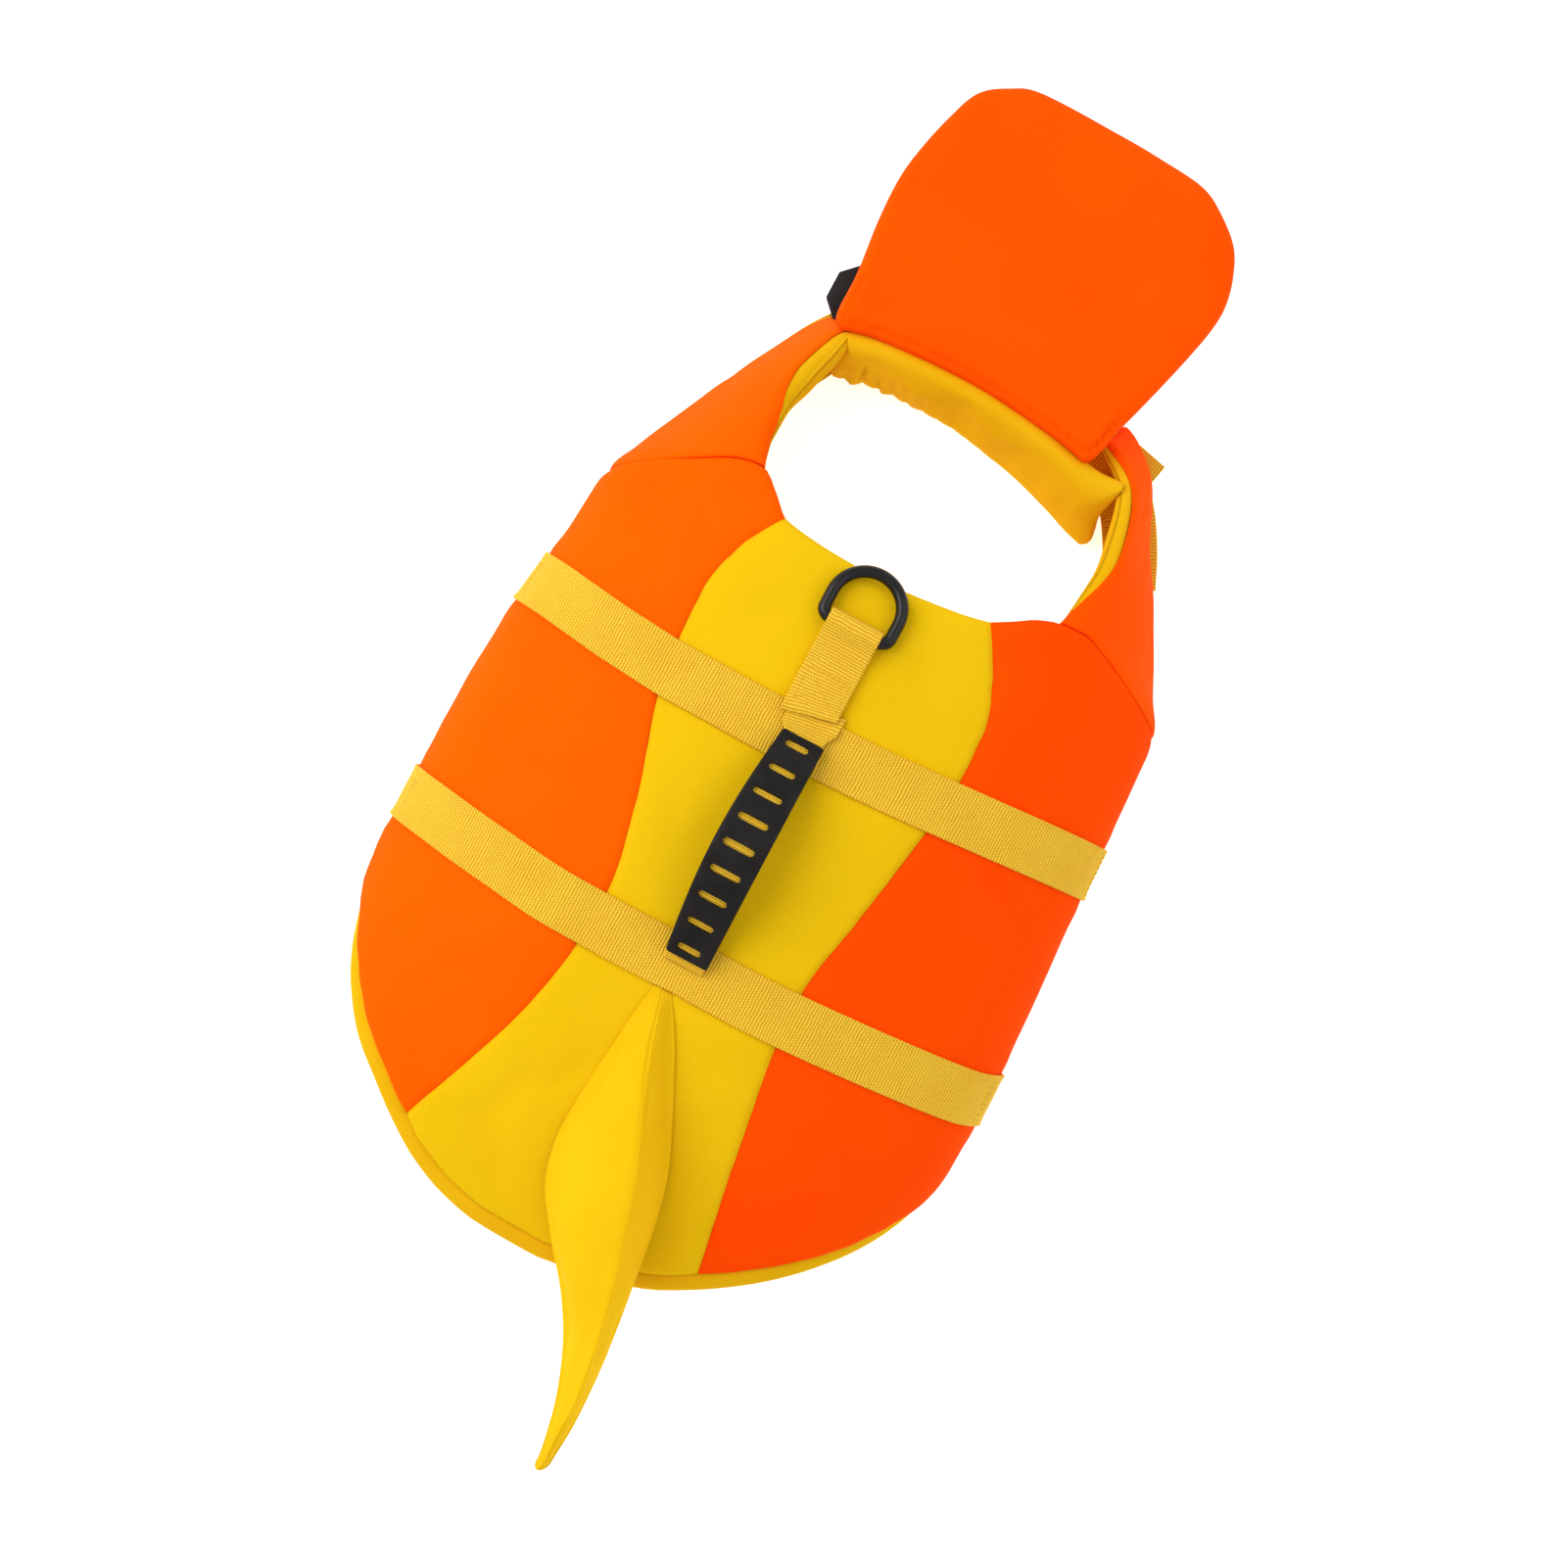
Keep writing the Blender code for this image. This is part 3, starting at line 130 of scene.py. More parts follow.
def drift(u: Array, v: Array, length: float, seed: int, waves: int = 6) -> Array:
    """Slow unevenness with no direction of its own.

    Args:
        u: First coordinate on the surface.
        v: Second coordinate on the surface.
        length: Typical distance from one swell to the next.
        seed: Number that picks the pattern.
        waves: How many waves add up.

    Returns:
        Values that seldom pass -1 and 1.
    """
    draw = np.random.default_rng(seed)
    total = np.zeros(np.broadcast(u, v).shape)
    for _ in range(waves):
        turn, pitch, phase = draw.uniform(0, TURN), draw.uniform(0.6, 1.6), draw.uniform(0, TURN)
        total = total + np.sin((u * math.cos(turn) + v * math.sin(turn)) * TURN * pitch / length + phase)
    return total / 3.2


class Profile:
    """Rows of numbers under named columns, read between rows by a curve that never overshoots them."""

    def __init__(self, columns: str, *rows: Sequence[float]) -> None:
        """Sorts the rows by their first column, the key, and finds the curve's slope at each.

        Args:
            columns: The columns' names.
            *rows: A number for each column.
        """
        self.columns = columns.split()
        self.rows = np.array(sorted(rows), float)
        self.keys = self.rows[:, 0]
        step = np.diff(self.keys)[:, None]
        self.slope = np.diff(self.rows, axis=0) / step
        self.bend = np.zeros_like(self.rows)
        low, high = self.slope[:-1], self.slope[1:]
        same = low * high > 0
        self.bend[1:-1] = np.where(same, 2 * low * high / np.where(same, low + high, 1.0), 0.0)
        self.bend[0], self.bend[-1] = self.slope[0], self.slope[-1]

    def at(self, column: str, key: Number) -> Array:
        """Reads a column between its rows.

        Args:
            column: The column's name.
            key: Where to read it, clamped to the first and last rows.

        Returns:
            A value for each key.
        """
        k = self.columns.index(column)
        key = np.clip(np.asarray(key, float), self.keys[0], self.keys[-1])
        i = np.clip(np.searchsorted(self.keys, key, side="right") - 1, 0, len(self.keys) - 2)
        step = self.keys[i + 1] - self.keys[i]
        t = (key - self.keys[i]) / step
        value = self.rows[i, k] * (1 + 2 * t) * (1 - t) ** 2 + self.rows[i + 1, k] * (3 - 2 * t) * t**2
        return value + step * (self.bend[i, k] * t * (1 - t) ** 2 - self.bend[i + 1, k] * t**2 * (1 - t))

    def sided(self, key: Array, side_of: Array) -> Array:
        """The left column where side_of is negative, and the right column elsewhere."""
        return np.where(side_of < 0, self.at("left", key), self.at("right", key))


def spaced(length: float, near: Sequence[float], far: Sequence[float], pitch: float) -> Array:
    """Shares from 0 to 1 of a length: the near and far distances from its ends, and a pitch between them."""
    inside = np.linspace(near[-1], length - far[-1], max(2, round((length - near[-1] - far[-1]) / pitch)))
    return np.array([*near[:-1], *inside, *(length - d for d in reversed(far[:-1]))]) / length


def through(points: Sequence[Sequence[float]], steps: int, closed: bool = False) -> Array:
    """Points on a smooth curve through the given ones.

    Args:
        points: The points that the curve passes.
        steps: Steps between neighbours.
        closed: Whether the curve runs back to its start.

    Returns:
        The points, with the last given one at the end of an open curve.
    """
    p = np.array(points, float)
    p = np.vstack([p[-1], p, p[:2]]) if closed else np.vstack([2 * p[0] - p[1], p, 2 * p[-1] - p[-2]])
    t = (np.arange(steps) / steps)[:, None]
    out = [curve_step(*four, t) for four in zip(p, p[1:], p[2:], p[3:])]
    return np.vstack(out if closed else [*out, p[-2:-1]])


def along_line(points: Array) -> Array:
    """The distance of each point from the first, measured along the line."""
    return np.concatenate([[0.0], np.cumsum(np.linalg.norm(np.diff(points, axis=0), axis=1))])


def distance_to(points: Array, outline: Array) -> Array:
    """How far plan points are from a closed outline.

    Args:
        points: The plan points.
        outline: The outline's corners.

    Returns:
        A distance for each point.
    """
    side = np.roll(outline, -1, axis=0) - outline
    share = ((points[:, None] - outline) * side).sum(-1) / np.maximum((side**2).sum(-1), 1e-9)
    nearest = outline + side * np.clip(share, 0, 1)[..., None]
    return np.linalg.norm(points[:, None] - nearest, axis=-1).min(axis=1)


def resampled(points: Array, places: Array, run: Optional[Array] = None) -> Array:
    """Rows of values read at distances along a line: its points, or values whose distances run gives."""
    run = along_line(points) if run is None else run
    return np.stack([np.interp(places, run, column) for column in points.T], axis=1)


def grid_normals(points: Array) -> Array:
    """Normals of a grid of points, towards the side from which rows run left to right across columns."""
    across, along = np.gradient(points, axis=1), np.gradient(points, axis=0)
    return unit(np.cross(across, along))


# ---- meshes


def mesh_object(name: str, points: Array, faces: list, uv: Optional[Array] = None) -> Object:
    """A shaded mesh object from points in the drawing's millimetres.

    Args:
        name: The piece's name.
        points: Places of the vertices.
        faces: Vertex indexes of each face.
        uv: A place in metres on the flat cloth for each vertex.

    Returns:
        The object, at the origin, with its faces turned outwards.
    """
    mesh = bpy.data.meshes.new(name)
    mesh.from_pydata(((np.asarray(points) - DRAWING_SHIFT) * MM).tolist(), [], faces)
    if uv is not None:
        layer = mesh.uv_layers.new(name="cloth")
        corner = np.zeros(len(mesh.loops), np.int32)
        mesh.loops.foreach_get("vertex_index", corner)
        layer.data.foreach_set("uv", np.asarray(uv, np.float32)[corner].ravel())
    bm = bmesh.new()
    bm.from_mesh(mesh)
    bmesh.ops.remove_doubles(bm, verts=bm.verts, dist=2e-6)
    bmesh.ops.dissolve_degenerate(bm, edges=bm.edges, dist=1e-7)
    bmesh.ops.recalc_face_normals(bm, faces=bm.faces)
    if bm.calc_volume(signed=True) < 0:
        bmesh.ops.reverse_faces(bm, faces=bm.faces)
    bm.to_mesh(mesh)
    bm.free()
    mesh.shade_smooth()
    obj = bpy.data.objects.new(name, mesh)
    bpy.context.scene.collection.objects.link(obj)
    return obj


def grid_faces(rows: int, columns: int, start: int = 0, flip: bool = False, wrap: bool = False) -> list:
    """Quads of a grid of points.

    Args:
        rows: Number of rows.
        columns: Number of points in a row.
        start: Index of the first point.
        flip: Whether the faces look the other way.
        wrap: Whether each row closes on itself.

    Returns:
        The indexes of each quad.
    """
    i = np.arange(rows - 1)[:, None] * columns
    j = np.arange(columns if wrap else columns - 1)[None, :]
    k = (j + 1) % columns
    a, b, c, d = (start + x for x in (i + j, i + k, i + k + columns, i + j + columns))
    order = (a, d, c, b) if flip else (a, b, c, d)
    return np.stack([np.broadcast_to(x, a.shape) for x in order], axis=-1).reshape(-1, 4).tolist()


def border_of(rows: int, columns: int) -> Array:
    """Indexes of a grid's border points, in order round it."""
    index = np.arange(rows * columns).reshape(rows, columns)
    return np.concatenate([index[0], index[1:, -1], index[-1, -2::-1], index[-2:0:-1, 0]])


def capped_faces(rows: int, columns: int) -> list:
    """Faces of a closed skin over rings of points."""
    ends = [list(range(columns))[::-1], [(rows - 1) * columns + k for k in range(columns)]]
    return grid_faces(rows, columns, wrap=True) + ends


def shell(name: str, outer: Array, inner: Array, u: Array, v: Array) -> Object:
    """A closed wall between two grids of points, with a rounded rim.

    Args:
        name: The piece's name.
        outer: Rows of points of the outer face.
        inner: The points behind them.
        u: Each grid point's first coordinate on the flat cloth.
        v: Its second one.

    Returns:
        The piece.
    """
    rows, columns = outer.shape[:2]
    rim = border_of(rows, columns)
    flat_out, flat_in = outer.reshape(-1, 3), inner.reshape(-1, 3)
    middle = (outer + inner) / 2
    inward = np.zeros_like(middle)
    inward[0] += unit(middle[1] - middle[0])
    inward[-1] += unit(middle[-2] - middle[-1])
    inward[:, 0] += unit(middle[:, 1] - middle[:, 0])
    inward[:, -1] += unit(middle[:, -2] - middle[:, -1])
    thick = np.linalg.norm(flat_out - flat_in, axis=1, keepdims=True)
    # A line round the rim stands out by a share of the thickness, so that the edge is rounded
    proud = (middle.reshape(-1, 3) - unit(inward.reshape(-1, 3)) * np.minimum(thick * 0.22, 0.4))[rim]
    points, uv = np.vstack([flat_out, flat_in, proud]), np.column_stack([u.ravel(), v.ravel()]) * MM
    half, count = rows * columns, len(rim)
    faces = grid_faces(rows, columns) + grid_faces(rows, columns, half, flip=True)
    for k in range(count):
        n = (k + 1) % count
        faces.append([int(rim[n]), int(rim[k]), 2 * half + k, 2 * half + n])
        faces.append([2 * half + n, 2 * half + k, half + int(rim[k]), half + int(rim[n])])
    return mesh_object(name, points, faces, np.vstack([uv, uv, uv[rim]]))


def tube(name: str, rings: Array, uv: Array) -> Object:
    """A closed skin over rings of points, with a place on the flat cloth for each."""
    return mesh_object(name, rings.reshape(-1, 3), capped_faces(*rings.shape[:2]), uv.reshape(-1, 2))


def link(obj: Object) -> Object:
    """Puts a new object into the scene."""
    bpy.context.scene.collection.objects.link(obj)
    return obj


def only(obj: Object) -> None:
    """Makes that object the selected and active one.

    Args:
        obj: The object.
    """
    bpy.ops.object.select_all(action="DESELECT")
    obj.select_set(True)
    bpy.context.view_layer.objects.active = obj


def apply_modifiers(obj: Object) -> None:
    """Turns every modifier of the object into its mesh.

    Args:
        obj: The object.
    """
    only(obj)
    for modifier in list(obj.modifiers):
        bpy.ops.object.modifier_apply(modifier=modifier.name)


def read_points(obj: Object) -> tuple:
    """Reads a mesh.

    Args:
        obj: Its object.

    Returns:
        The vertices' places, in metres, and their normals.
    """
    count = len(obj.data.vertices)
    points, normals = np.empty(count * 3, np.float32), np.empty(count * 3, np.float32)
    obj.data.vertices.foreach_get("co", points)
    obj.data.vertices.foreach_get("normal", normals)
    return points.reshape(-1, 3).astype(float), normals.reshape(-1, 3).astype(float)


def write_points(obj: Object, points: Array) -> None:
    """Moves a mesh's vertices."""
    obj.data.vertices.foreach_set("co", points.astype(np.float32).ravel())
    obj.data.update()


def millimetres(obj: Object) -> Array:
    """The places of an object's vertices, in millimetres."""
    return np.array([v.co for v in obj.data.vertices]) / MM


def place_at(obj: Object, points: Array) -> None:
    """Moves an object's vertices to places in millimetres."""
    write_points(obj, points * MM)


def kd_tree(points: Array) -> KDTree:
    """A tree for finding the nearest of some places.

    Args:
        points: The places.

    Returns:
        The tree, which gives back their indexes.
    """
    tree = KDTree(len(points))
    for i, point in enumerate(points):
        tree.insert(point, i)
    tree.balance()
    return tree


@dataclass(frozen=True)
class Cushion:
    """How a padded piece is blown up: a coarse copy, held at its seams, is run as cloth under pressure."""

    voxel: float = 4.6
    pressure: float = 4.0
    frames: int = 20
    slack: float = 0.035
    shrink: float = 1.4
    limit: float = 2.4
    # The share of the movement below which the copy is sewn fast
    fast: float = 0.12
    neighbours: int = 14
    rounds: int = 8

    def inflate(self, obj: Object, grids: Sequence[Array], frees: Sequence[Array]) -> None:
        """Puffs the piece and puckers it along its seams, in place.

        Args:
            obj: The piece, at its full size.
            grids: The points that it was made from, in the drawing's millimetres.
            frees: For each of those, the share of the cloth's movement that it takes, 0 at a seam.
        """
        fine, out = read_points(obj)
        made = kd_tree((np.vstack([g.reshape(-1, 3) for g in grids]) - DRAWING_SHIFT) * MM)
        shares = np.concatenate([f.ravel() for f in frees])
        free = shares[[made.find(p)[1] for p in fine]]
        cloth = obj.copy()
        cloth.data = obj.data.copy()
        only(link(cloth))
        remesh = cloth.modifiers.new("even", "REMESH")
        remesh.mode, remesh.voxel_size = "VOXEL", self.voxel * MM
        bpy.ops.object.modifier_apply(modifier="even")
        start, normals = read_points(cloth)
        tree = kd_tree(fine)
        sewn = [i for i, p in enumerate(start) if free[tree.find(p)[1]] < self.fast]
        write_points(cloth, start - normals * self.shrink * MM)
        cloth.vertex_groups.new(name="sewn").add(sewn, 1.0, "REPLACE")
        self.simulate(cloth)
        end, _ = read_points(cloth)
        bpy.data.objects.remove(cloth)
        shift = self.evened(obj, self.carried(start, normals, end - start, fine, out))
        placed = fine + shift * free[:, None]
        placed[:, 2] = np.maximum(placed[:, 2], 0.0)
        write_points(obj, placed)

    def simulate(self, cloth: Object) -> None:
        """Runs the cloth under pressure and applies it.

        Args:
            cloth: The coarse copy, with its group of sewn vertices.
        """
        modifier = cloth.modifiers.new("cloth", "CLOTH")
        settings = modifier.settings
        settings.quality, settings.mass = 5, 0.2
        settings.tension_stiffness = settings.compression_stiffness = 12.0
        settings.shear_stiffness, settings.bending_stiffness = 4.0, 0.3
        settings.vertex_group_mass, settings.pin_stiffness = "sewn", 5.0
        settings.shrink_min = -self.slack
        settings.use_pressure, settings.uniform_pressure_force = True, self.pressure
        settings.effector_weights.gravity = 0.0
        modifier.collision_settings.use_collision = False
        modifier.point_cache.frame_start, modifier.point_cache.frame_end = 1, self.frames
        for number in range(1, self.frames + 1):
            bpy.context.scene.frame_set(number)
        only(cloth)
        bpy.ops.object.modifier_apply(modifier="cloth")
        bpy.context.scene.frame_set(1)

    def carried(self, start: Array, normals: Array, moved: Array, fine: Array, out: Array) -> Array:
        """The coarse copy's movement at each vertex of the piece, from neighbours on the same face.

        Args:
            start: The copy's places before it moved.
            normals: Its normals there.
            moved: How far each of its vertices moved.
            fine: The piece's places.
            out: The piece's normals.

        Returns:
            A movement for each place, none longer than the limit.
        """
        tree = kd_tree(start)
        found = [tree.find_n(p, self.neighbours) for p in fine]
        near = np.array([[f[1] for f in row] for row in found])
        away = np.array([[f[2] for f in row] for row in found])
        alike = np.clip(np.einsum("ijk,ik->ij", normals[near], out), 0.02, 1.0)
        weight = alike**2 / (away**2 + (0.7 * self.voxel * MM) ** 2)
        step = (moved[near] * weight[..., None]).sum(axis=1) / weight.sum(axis=1)[:, None]
        size = np.linalg.norm(step, axis=1, keepdims=True)
        return step * np.minimum(1.0, self.limit * MM / np.maximum(size, 1e-9))

    def evened(self, obj: Object, moved: Array) -> Array:
        """The movement, averaged along the mesh's edges so that the coarse copy's squares don't show.

        Args:
            obj: The piece.
            moved: The movement of each of its vertices.

        Returns:
            The averaged movement.
        """
        edges = np.empty(len(obj.data.edges) * 2, np.int32)
        obj.data.edges.foreach_get("vertices", edges)
        one, two = edges.reshape(-1, 2).T
        here, there = np.concatenate([one, two]), np.concatenate([two, one])
        count = np.bincount(here, minlength=len(moved))
        for _ in range(self.rounds):
            total = np.column_stack([np.bincount(here, moved[there, k], len(moved)) for k in range(3)])
            moved = (moved + total / count[:, None]) / 2
        return moved


class Seat:
    """The top of pieces already made, for what lies on them."""

    # Where a ray starts that looks for the top, in metres
    above: float = 0.5

    def __init__(self, *objects: Object) -> None:
        """Reads the pieces' meshes.

        Args:
            *objects: The pieces.
        """
        self.trees = []
        for obj in objects:
            points = [v.co for v in obj.data.vertices]
            self.trees.append(BVHTree.FromPolygons(points, [tuple(p.vertices) for p in obj.data.polygons]))

    def height(self, x: float, y: float) -> float:
        """The height of the top at a place of the drawing.

        Args:
            x: Place across the back.
            y: Place along it.

        Returns:
            The height in millimetres, or 0 where nothing is.
        """
        start = Vector(((x - DRAWING_SHIFT[0]) * MM, (y - DRAWING_SHIFT[1]) * MM, self.above))
        hits = [tree.ray_cast(start, Vector((0.0, 0.0, -1.0)))[0] for tree in self.trees]
        return max((hit.z / MM for hit in hits if hit), default=0.0)

    def heights(self, x: float, ys: Iterable[float], blur: int = 2) -> Array:
        """Heights along a line, evened out over neighbours.

        Args:
            x: The line's place across the back.
            ys: Places along it.
            blur: How many times they are evened out.

        Returns:
            A height for each place.
        """
        raw = np.array([self.height(x, float(y)) for y in ys])
        for _ in range(blur):
            raw[1:-1] = (raw[:-2] + 2 * raw[1:-1] + raw[2:]) / 4
        return raw


# ---- finishes


def linear(code: str) -> tuple:
    """The linear colour of an sRGB hex value, with full alpha."""
    parts = [int(code[i : i + 2], 16) / 255 for i in (1, 3, 5)]
    return (*(p / 12.92 if p <= 0.04045 else ((p + 0.055) / 1.055) ** 2.4 for p in parts), 1.0)


class Graph:
    """A material's nodes, added one at a time."""

    def __init__(self, name: str) -> None:
        """Starts a material with its shader and output.

        Args:
            name: The material's name.
        """
        self.material = bpy.data.materials.new(name)
        self.material.use_nodes = True
        self.nodes = self.material.node_tree.nodes
        self.links = self.material.node_tree.links
        self.shader = self.nodes["Principled BSDF"]

    def add(self, kind: str, settings: Optional[dict] = None, **inputs: Input) -> Node:
        """Adds a node.

        Args:
            kind: Blender's name of the node type, without its prefix.
            settings: The node's own options.
            **inputs: Values or sockets for its inputs; i0, i1 and so on name them by number.

        Returns:
            The node.
        """
        node = self.nodes.new(f"ShaderNode{kind}")
        for key, value in (settings or {}).items():
            setattr(node, key, value)
        for key, value in inputs.items():
            socket = node.inputs[int(key[1:])] if key[0] == "i" and key[1:].isdigit() else node.inputs[key]
            if isinstance(value, NodeSocket):
                self.links.new(value, socket)
            else:
                socket.default_value = value
        return node

    def math(self, operation: str, *values: Input) -> NodeSocket:
        """One sum, product or other function of values and sockets."""
        inputs = {f"i{k}": value for k, value in enumerate(values)}
        return self.add("Math", {"operation": operation}, **inputs).outputs[0]

    def join(self, socket: NodeSocket, target: str) -> None:
        """Leads a socket to one of the shader's inputs."""
        self.links.new(socket, self.shader.inputs[target])

    def shade(self, **values: Input) -> None:
        """Sets constant values on the shader; an underscore stands for a space."""
        for key, value in values.items():
            self.shader.inputs[key.replace("_", " ")].default_value = value

    def flat_cloth(self) -> tuple:
        """The place on the flat cloth, as two sockets in millimetres."""
        apart = self.add("SeparateXYZ", i0=self.add("UVMap", {"uv_map": "cloth"}).outputs[0]).outputs
        return self.math("MULTIPLY", apart[0], 1 / MM), self.math("MULTIPLY", apart[1], 1 / MM)

    def solid_noise(self, per_metre: float, detail: float = 3.0) -> NodeSocket:
        """Noise in the object's own space, from 0 to 1."""
        place = self.add("TexCoord").outputs["Object"]
        return self.add("TexNoise", Vector=place, Scale=per_metre, Detail=detail).outputs[0]

    def between(self, share: NodeSocket, low: str, high: str) -> NodeSocket:
        """A colour mixed from two hex values."""
        return self.add("Mix", {"data_type": "RGBA"}, i0=share, i6=linear(low), i7=linear(high)).outputs[2]

    def spread(
        self, socket: NodeSocket, low: float, high: float, to_low: float, to_high: float
    ) -> NodeSocket:
        """A value moved from one range to another."""
        return self.add("MapRange", i0=socket, i1=low, i2=high, i3=to_low, i4=to_high).outputs[0]

    def bump(self, height: NodeSocket, depth_mm: float, before: Optional[NodeSocket] = None) -> NodeSocket:
        """A bump normal.

        Args:
            height: A height from 0 to 1.
            depth_mm: The depth that it stands for.
            before: A bump normal that this one is added to.

        Returns:
            The normal's socket.
        """
        node = self.add("Bump", Strength=1.0, Distance=depth_mm * MM, Height=height)
        if before is not None:
            self.links.new(before, node.inputs["Normal"])
        return node.outputs[0]


@dataclass(frozen=True)
class Polyester:
    """Woven polyester face cloth: dyed filament yarn, pressed flat, so it is matt with a fine even grain."""

    name: str
    colour: str
    shade: str
    slot: str = "yellow_cloth"
    # The real thread is 0.2 mm, too fine to show, so it is drawn coarser
    thread_mm: float = 0.55

    def make(self) -> Material:
        """The material, with its plain weave, slow dye variation and soft lint.

        Returns:
            The material.
        """
        g = Graph(self.name)
        u, v = g.flat_cloth()
        warp, weft = (g.math("SINE", g.math("MULTIPLY", w, TURN / self.thread_mm)) for w in (u, v))
        weave = g.math("MULTIPLY_ADD", g.math("MULTIPLY", warp, weft), 0.5, 0.5)
        cloud, grain = g.solid_noise(16.0, 2.0), g.solid_noise(900.0, 2.0)
        tone = g.math("ADD", g.spread(cloud, 0.3, 0.7, 0.0, 0.7), g.spread(grain, 0.3, 0.7, 0.0, 0.3))
        g.join(g.between(tone, self.shade, self.colour), "Base Color")
        g.join(g.spread(grain, 0.3, 0.7, 0.78, 0.92), "Roughness")
        g.join(g.bump(grain, 0.10, g.bump(weave, 0.035)), "Normal")
        g.shade(IOR=1.45, Specular_IOR_Level=0.025)
        return g.material


@dataclass(frozen=True)
class Tape:
    """Polypropylene webbing, woven on a needle loom: thick yarn in close ribs across its width."""

    name: str
    # The yarn's colour on the crowns, and the painted shade of the hollows between ribs and knuckles
    colour: str
    shade: str
    slot: str = "yellow_webbing"
    rib_mm: float = 1.45
    knuckle_mm: float = 1.3

    def make(self) -> Material:
        """The material, with ribs across the tape, each a row of small knuckles, uneven yarn, and painted
        shade in the hollows between them.

        Returns:
            The material.
        """
        g = Graph(self.name)
        u, v = g.flat_cloth()
        place = g.add("CombineXYZ", i0=u, i1=v).outputs[0]
        wander, fuzz, worn = (
            g.add("TexNoise", Vector=place, Scale=scale, Detail=2.0).outputs[0]
            for scale in (0.12, 1.1, 0.04))
        u = g.math("ADD", u, g.spread(wander, 0.3, 0.7, -0.3, 0.3))
        row = g.math("DIVIDE", u, self.rib_mm)
        odd = g.math("MULTIPLY", g.math("MODULO", g.math("FLOOR", row), 2.0), math.pi / 2)
        rib = g.math("ABSOLUTE", g.math("SINE", g.math("MULTIPLY", row, math.pi)))
        turn = g.math("ADD", g.math("MULTIPLY", v, math.pi / self.knuckle_mm), odd)
        knuckle = g.math("ABSOLUTE", g.math("SINE", turn))
        height = g.math("MULTIPLY", g.math("POWER", rib, 0.8), g.math("MULTIPLY_ADD", knuckle, 0.5, 0.5))
        height = g.math("MULTIPLY_ADD", fuzz, 0.5, height)
        # The colour follows the weave's height: painted shade, darker down between the ribs and knuckles and
        # lighter on their crowns, with a slow random tone on top
        tone = g.math("ADD", g.spread(height, 0.25, 1.2, 0.0, 0.9), g.spread(worn, 0.3, 0.7, 0.0, 0.1))
        g.join(g.between(tone, self.shade, self.colour), "Base Color")
        g.join(g.bump(height, 0.4), "Normal")
        g.shade(Roughness=0.72, IOR=1.49, Specular_IOR_Level=0.06)
        return g.material


@dataclass(frozen=True)
class HardBlack:
    """A black hard finish: a fine grain from its tool or coat, and slow marks where it has been handled."""

    name: str
    colour: str
    rubbed: str
    slot: str
    # Scale of the grain per metre, its detail, and its depth in millimetres
    grain: tuple
    # Scale of the marks per metre, and the noise values between which the rubbed colour comes in
    marks: tuple
    # Noise values between which the roughness changes, and its two ends
    roughness: tuple
    ior: float
    specular: float

    def make(self) -> Material:
        """The material, with its grain and its rubbed places.

        Returns:
            The material.
        """
        g = Graph(self.name)
        scale, detail, depth = self.grain
        marks = g.solid_noise(self.marks[0], 4.0)
        tone = g.spread(marks, *self.marks[1:], 0.0, 1.0)
        g.join(g.between(tone, self.colour, self.rubbed), "Base Color")
        g.join(g.spread(marks, *self.roughness), "Roughness")
        g.join(g.bump(g.solid_noise(scale, detail), depth), "Normal")
        g.shade(IOR=self.ior, Specular_IOR_Level=self.specular)
        return g.material


@dataclass(frozen=True)
class Even:
    """A finish without relief, whose tone drifts between two colours."""

    name: str
    colour: str
    shade: str
    # Scale of the drift per metre, and its detail
    drift: tuple
    roughness: float
    specular: float
    glow: float = 0.0
    slot: Optional[str] = None

    def make(self) -> Material:
        """The material, which gives off light of its own colour where it glows.

        Returns:
            The material.
        """
        g = Graph(self.name)
        g.join(g.between(g.solid_noise(*self.drift), self.shade, self.colour), "Base Color")
        g.shade(Roughness=self.roughness, IOR=1.5, Specular_IOR_Level=self.specular)
        g.shade(Emission_Color=linear(self.colour), Emission_Strength=self.glow)
        return g.material


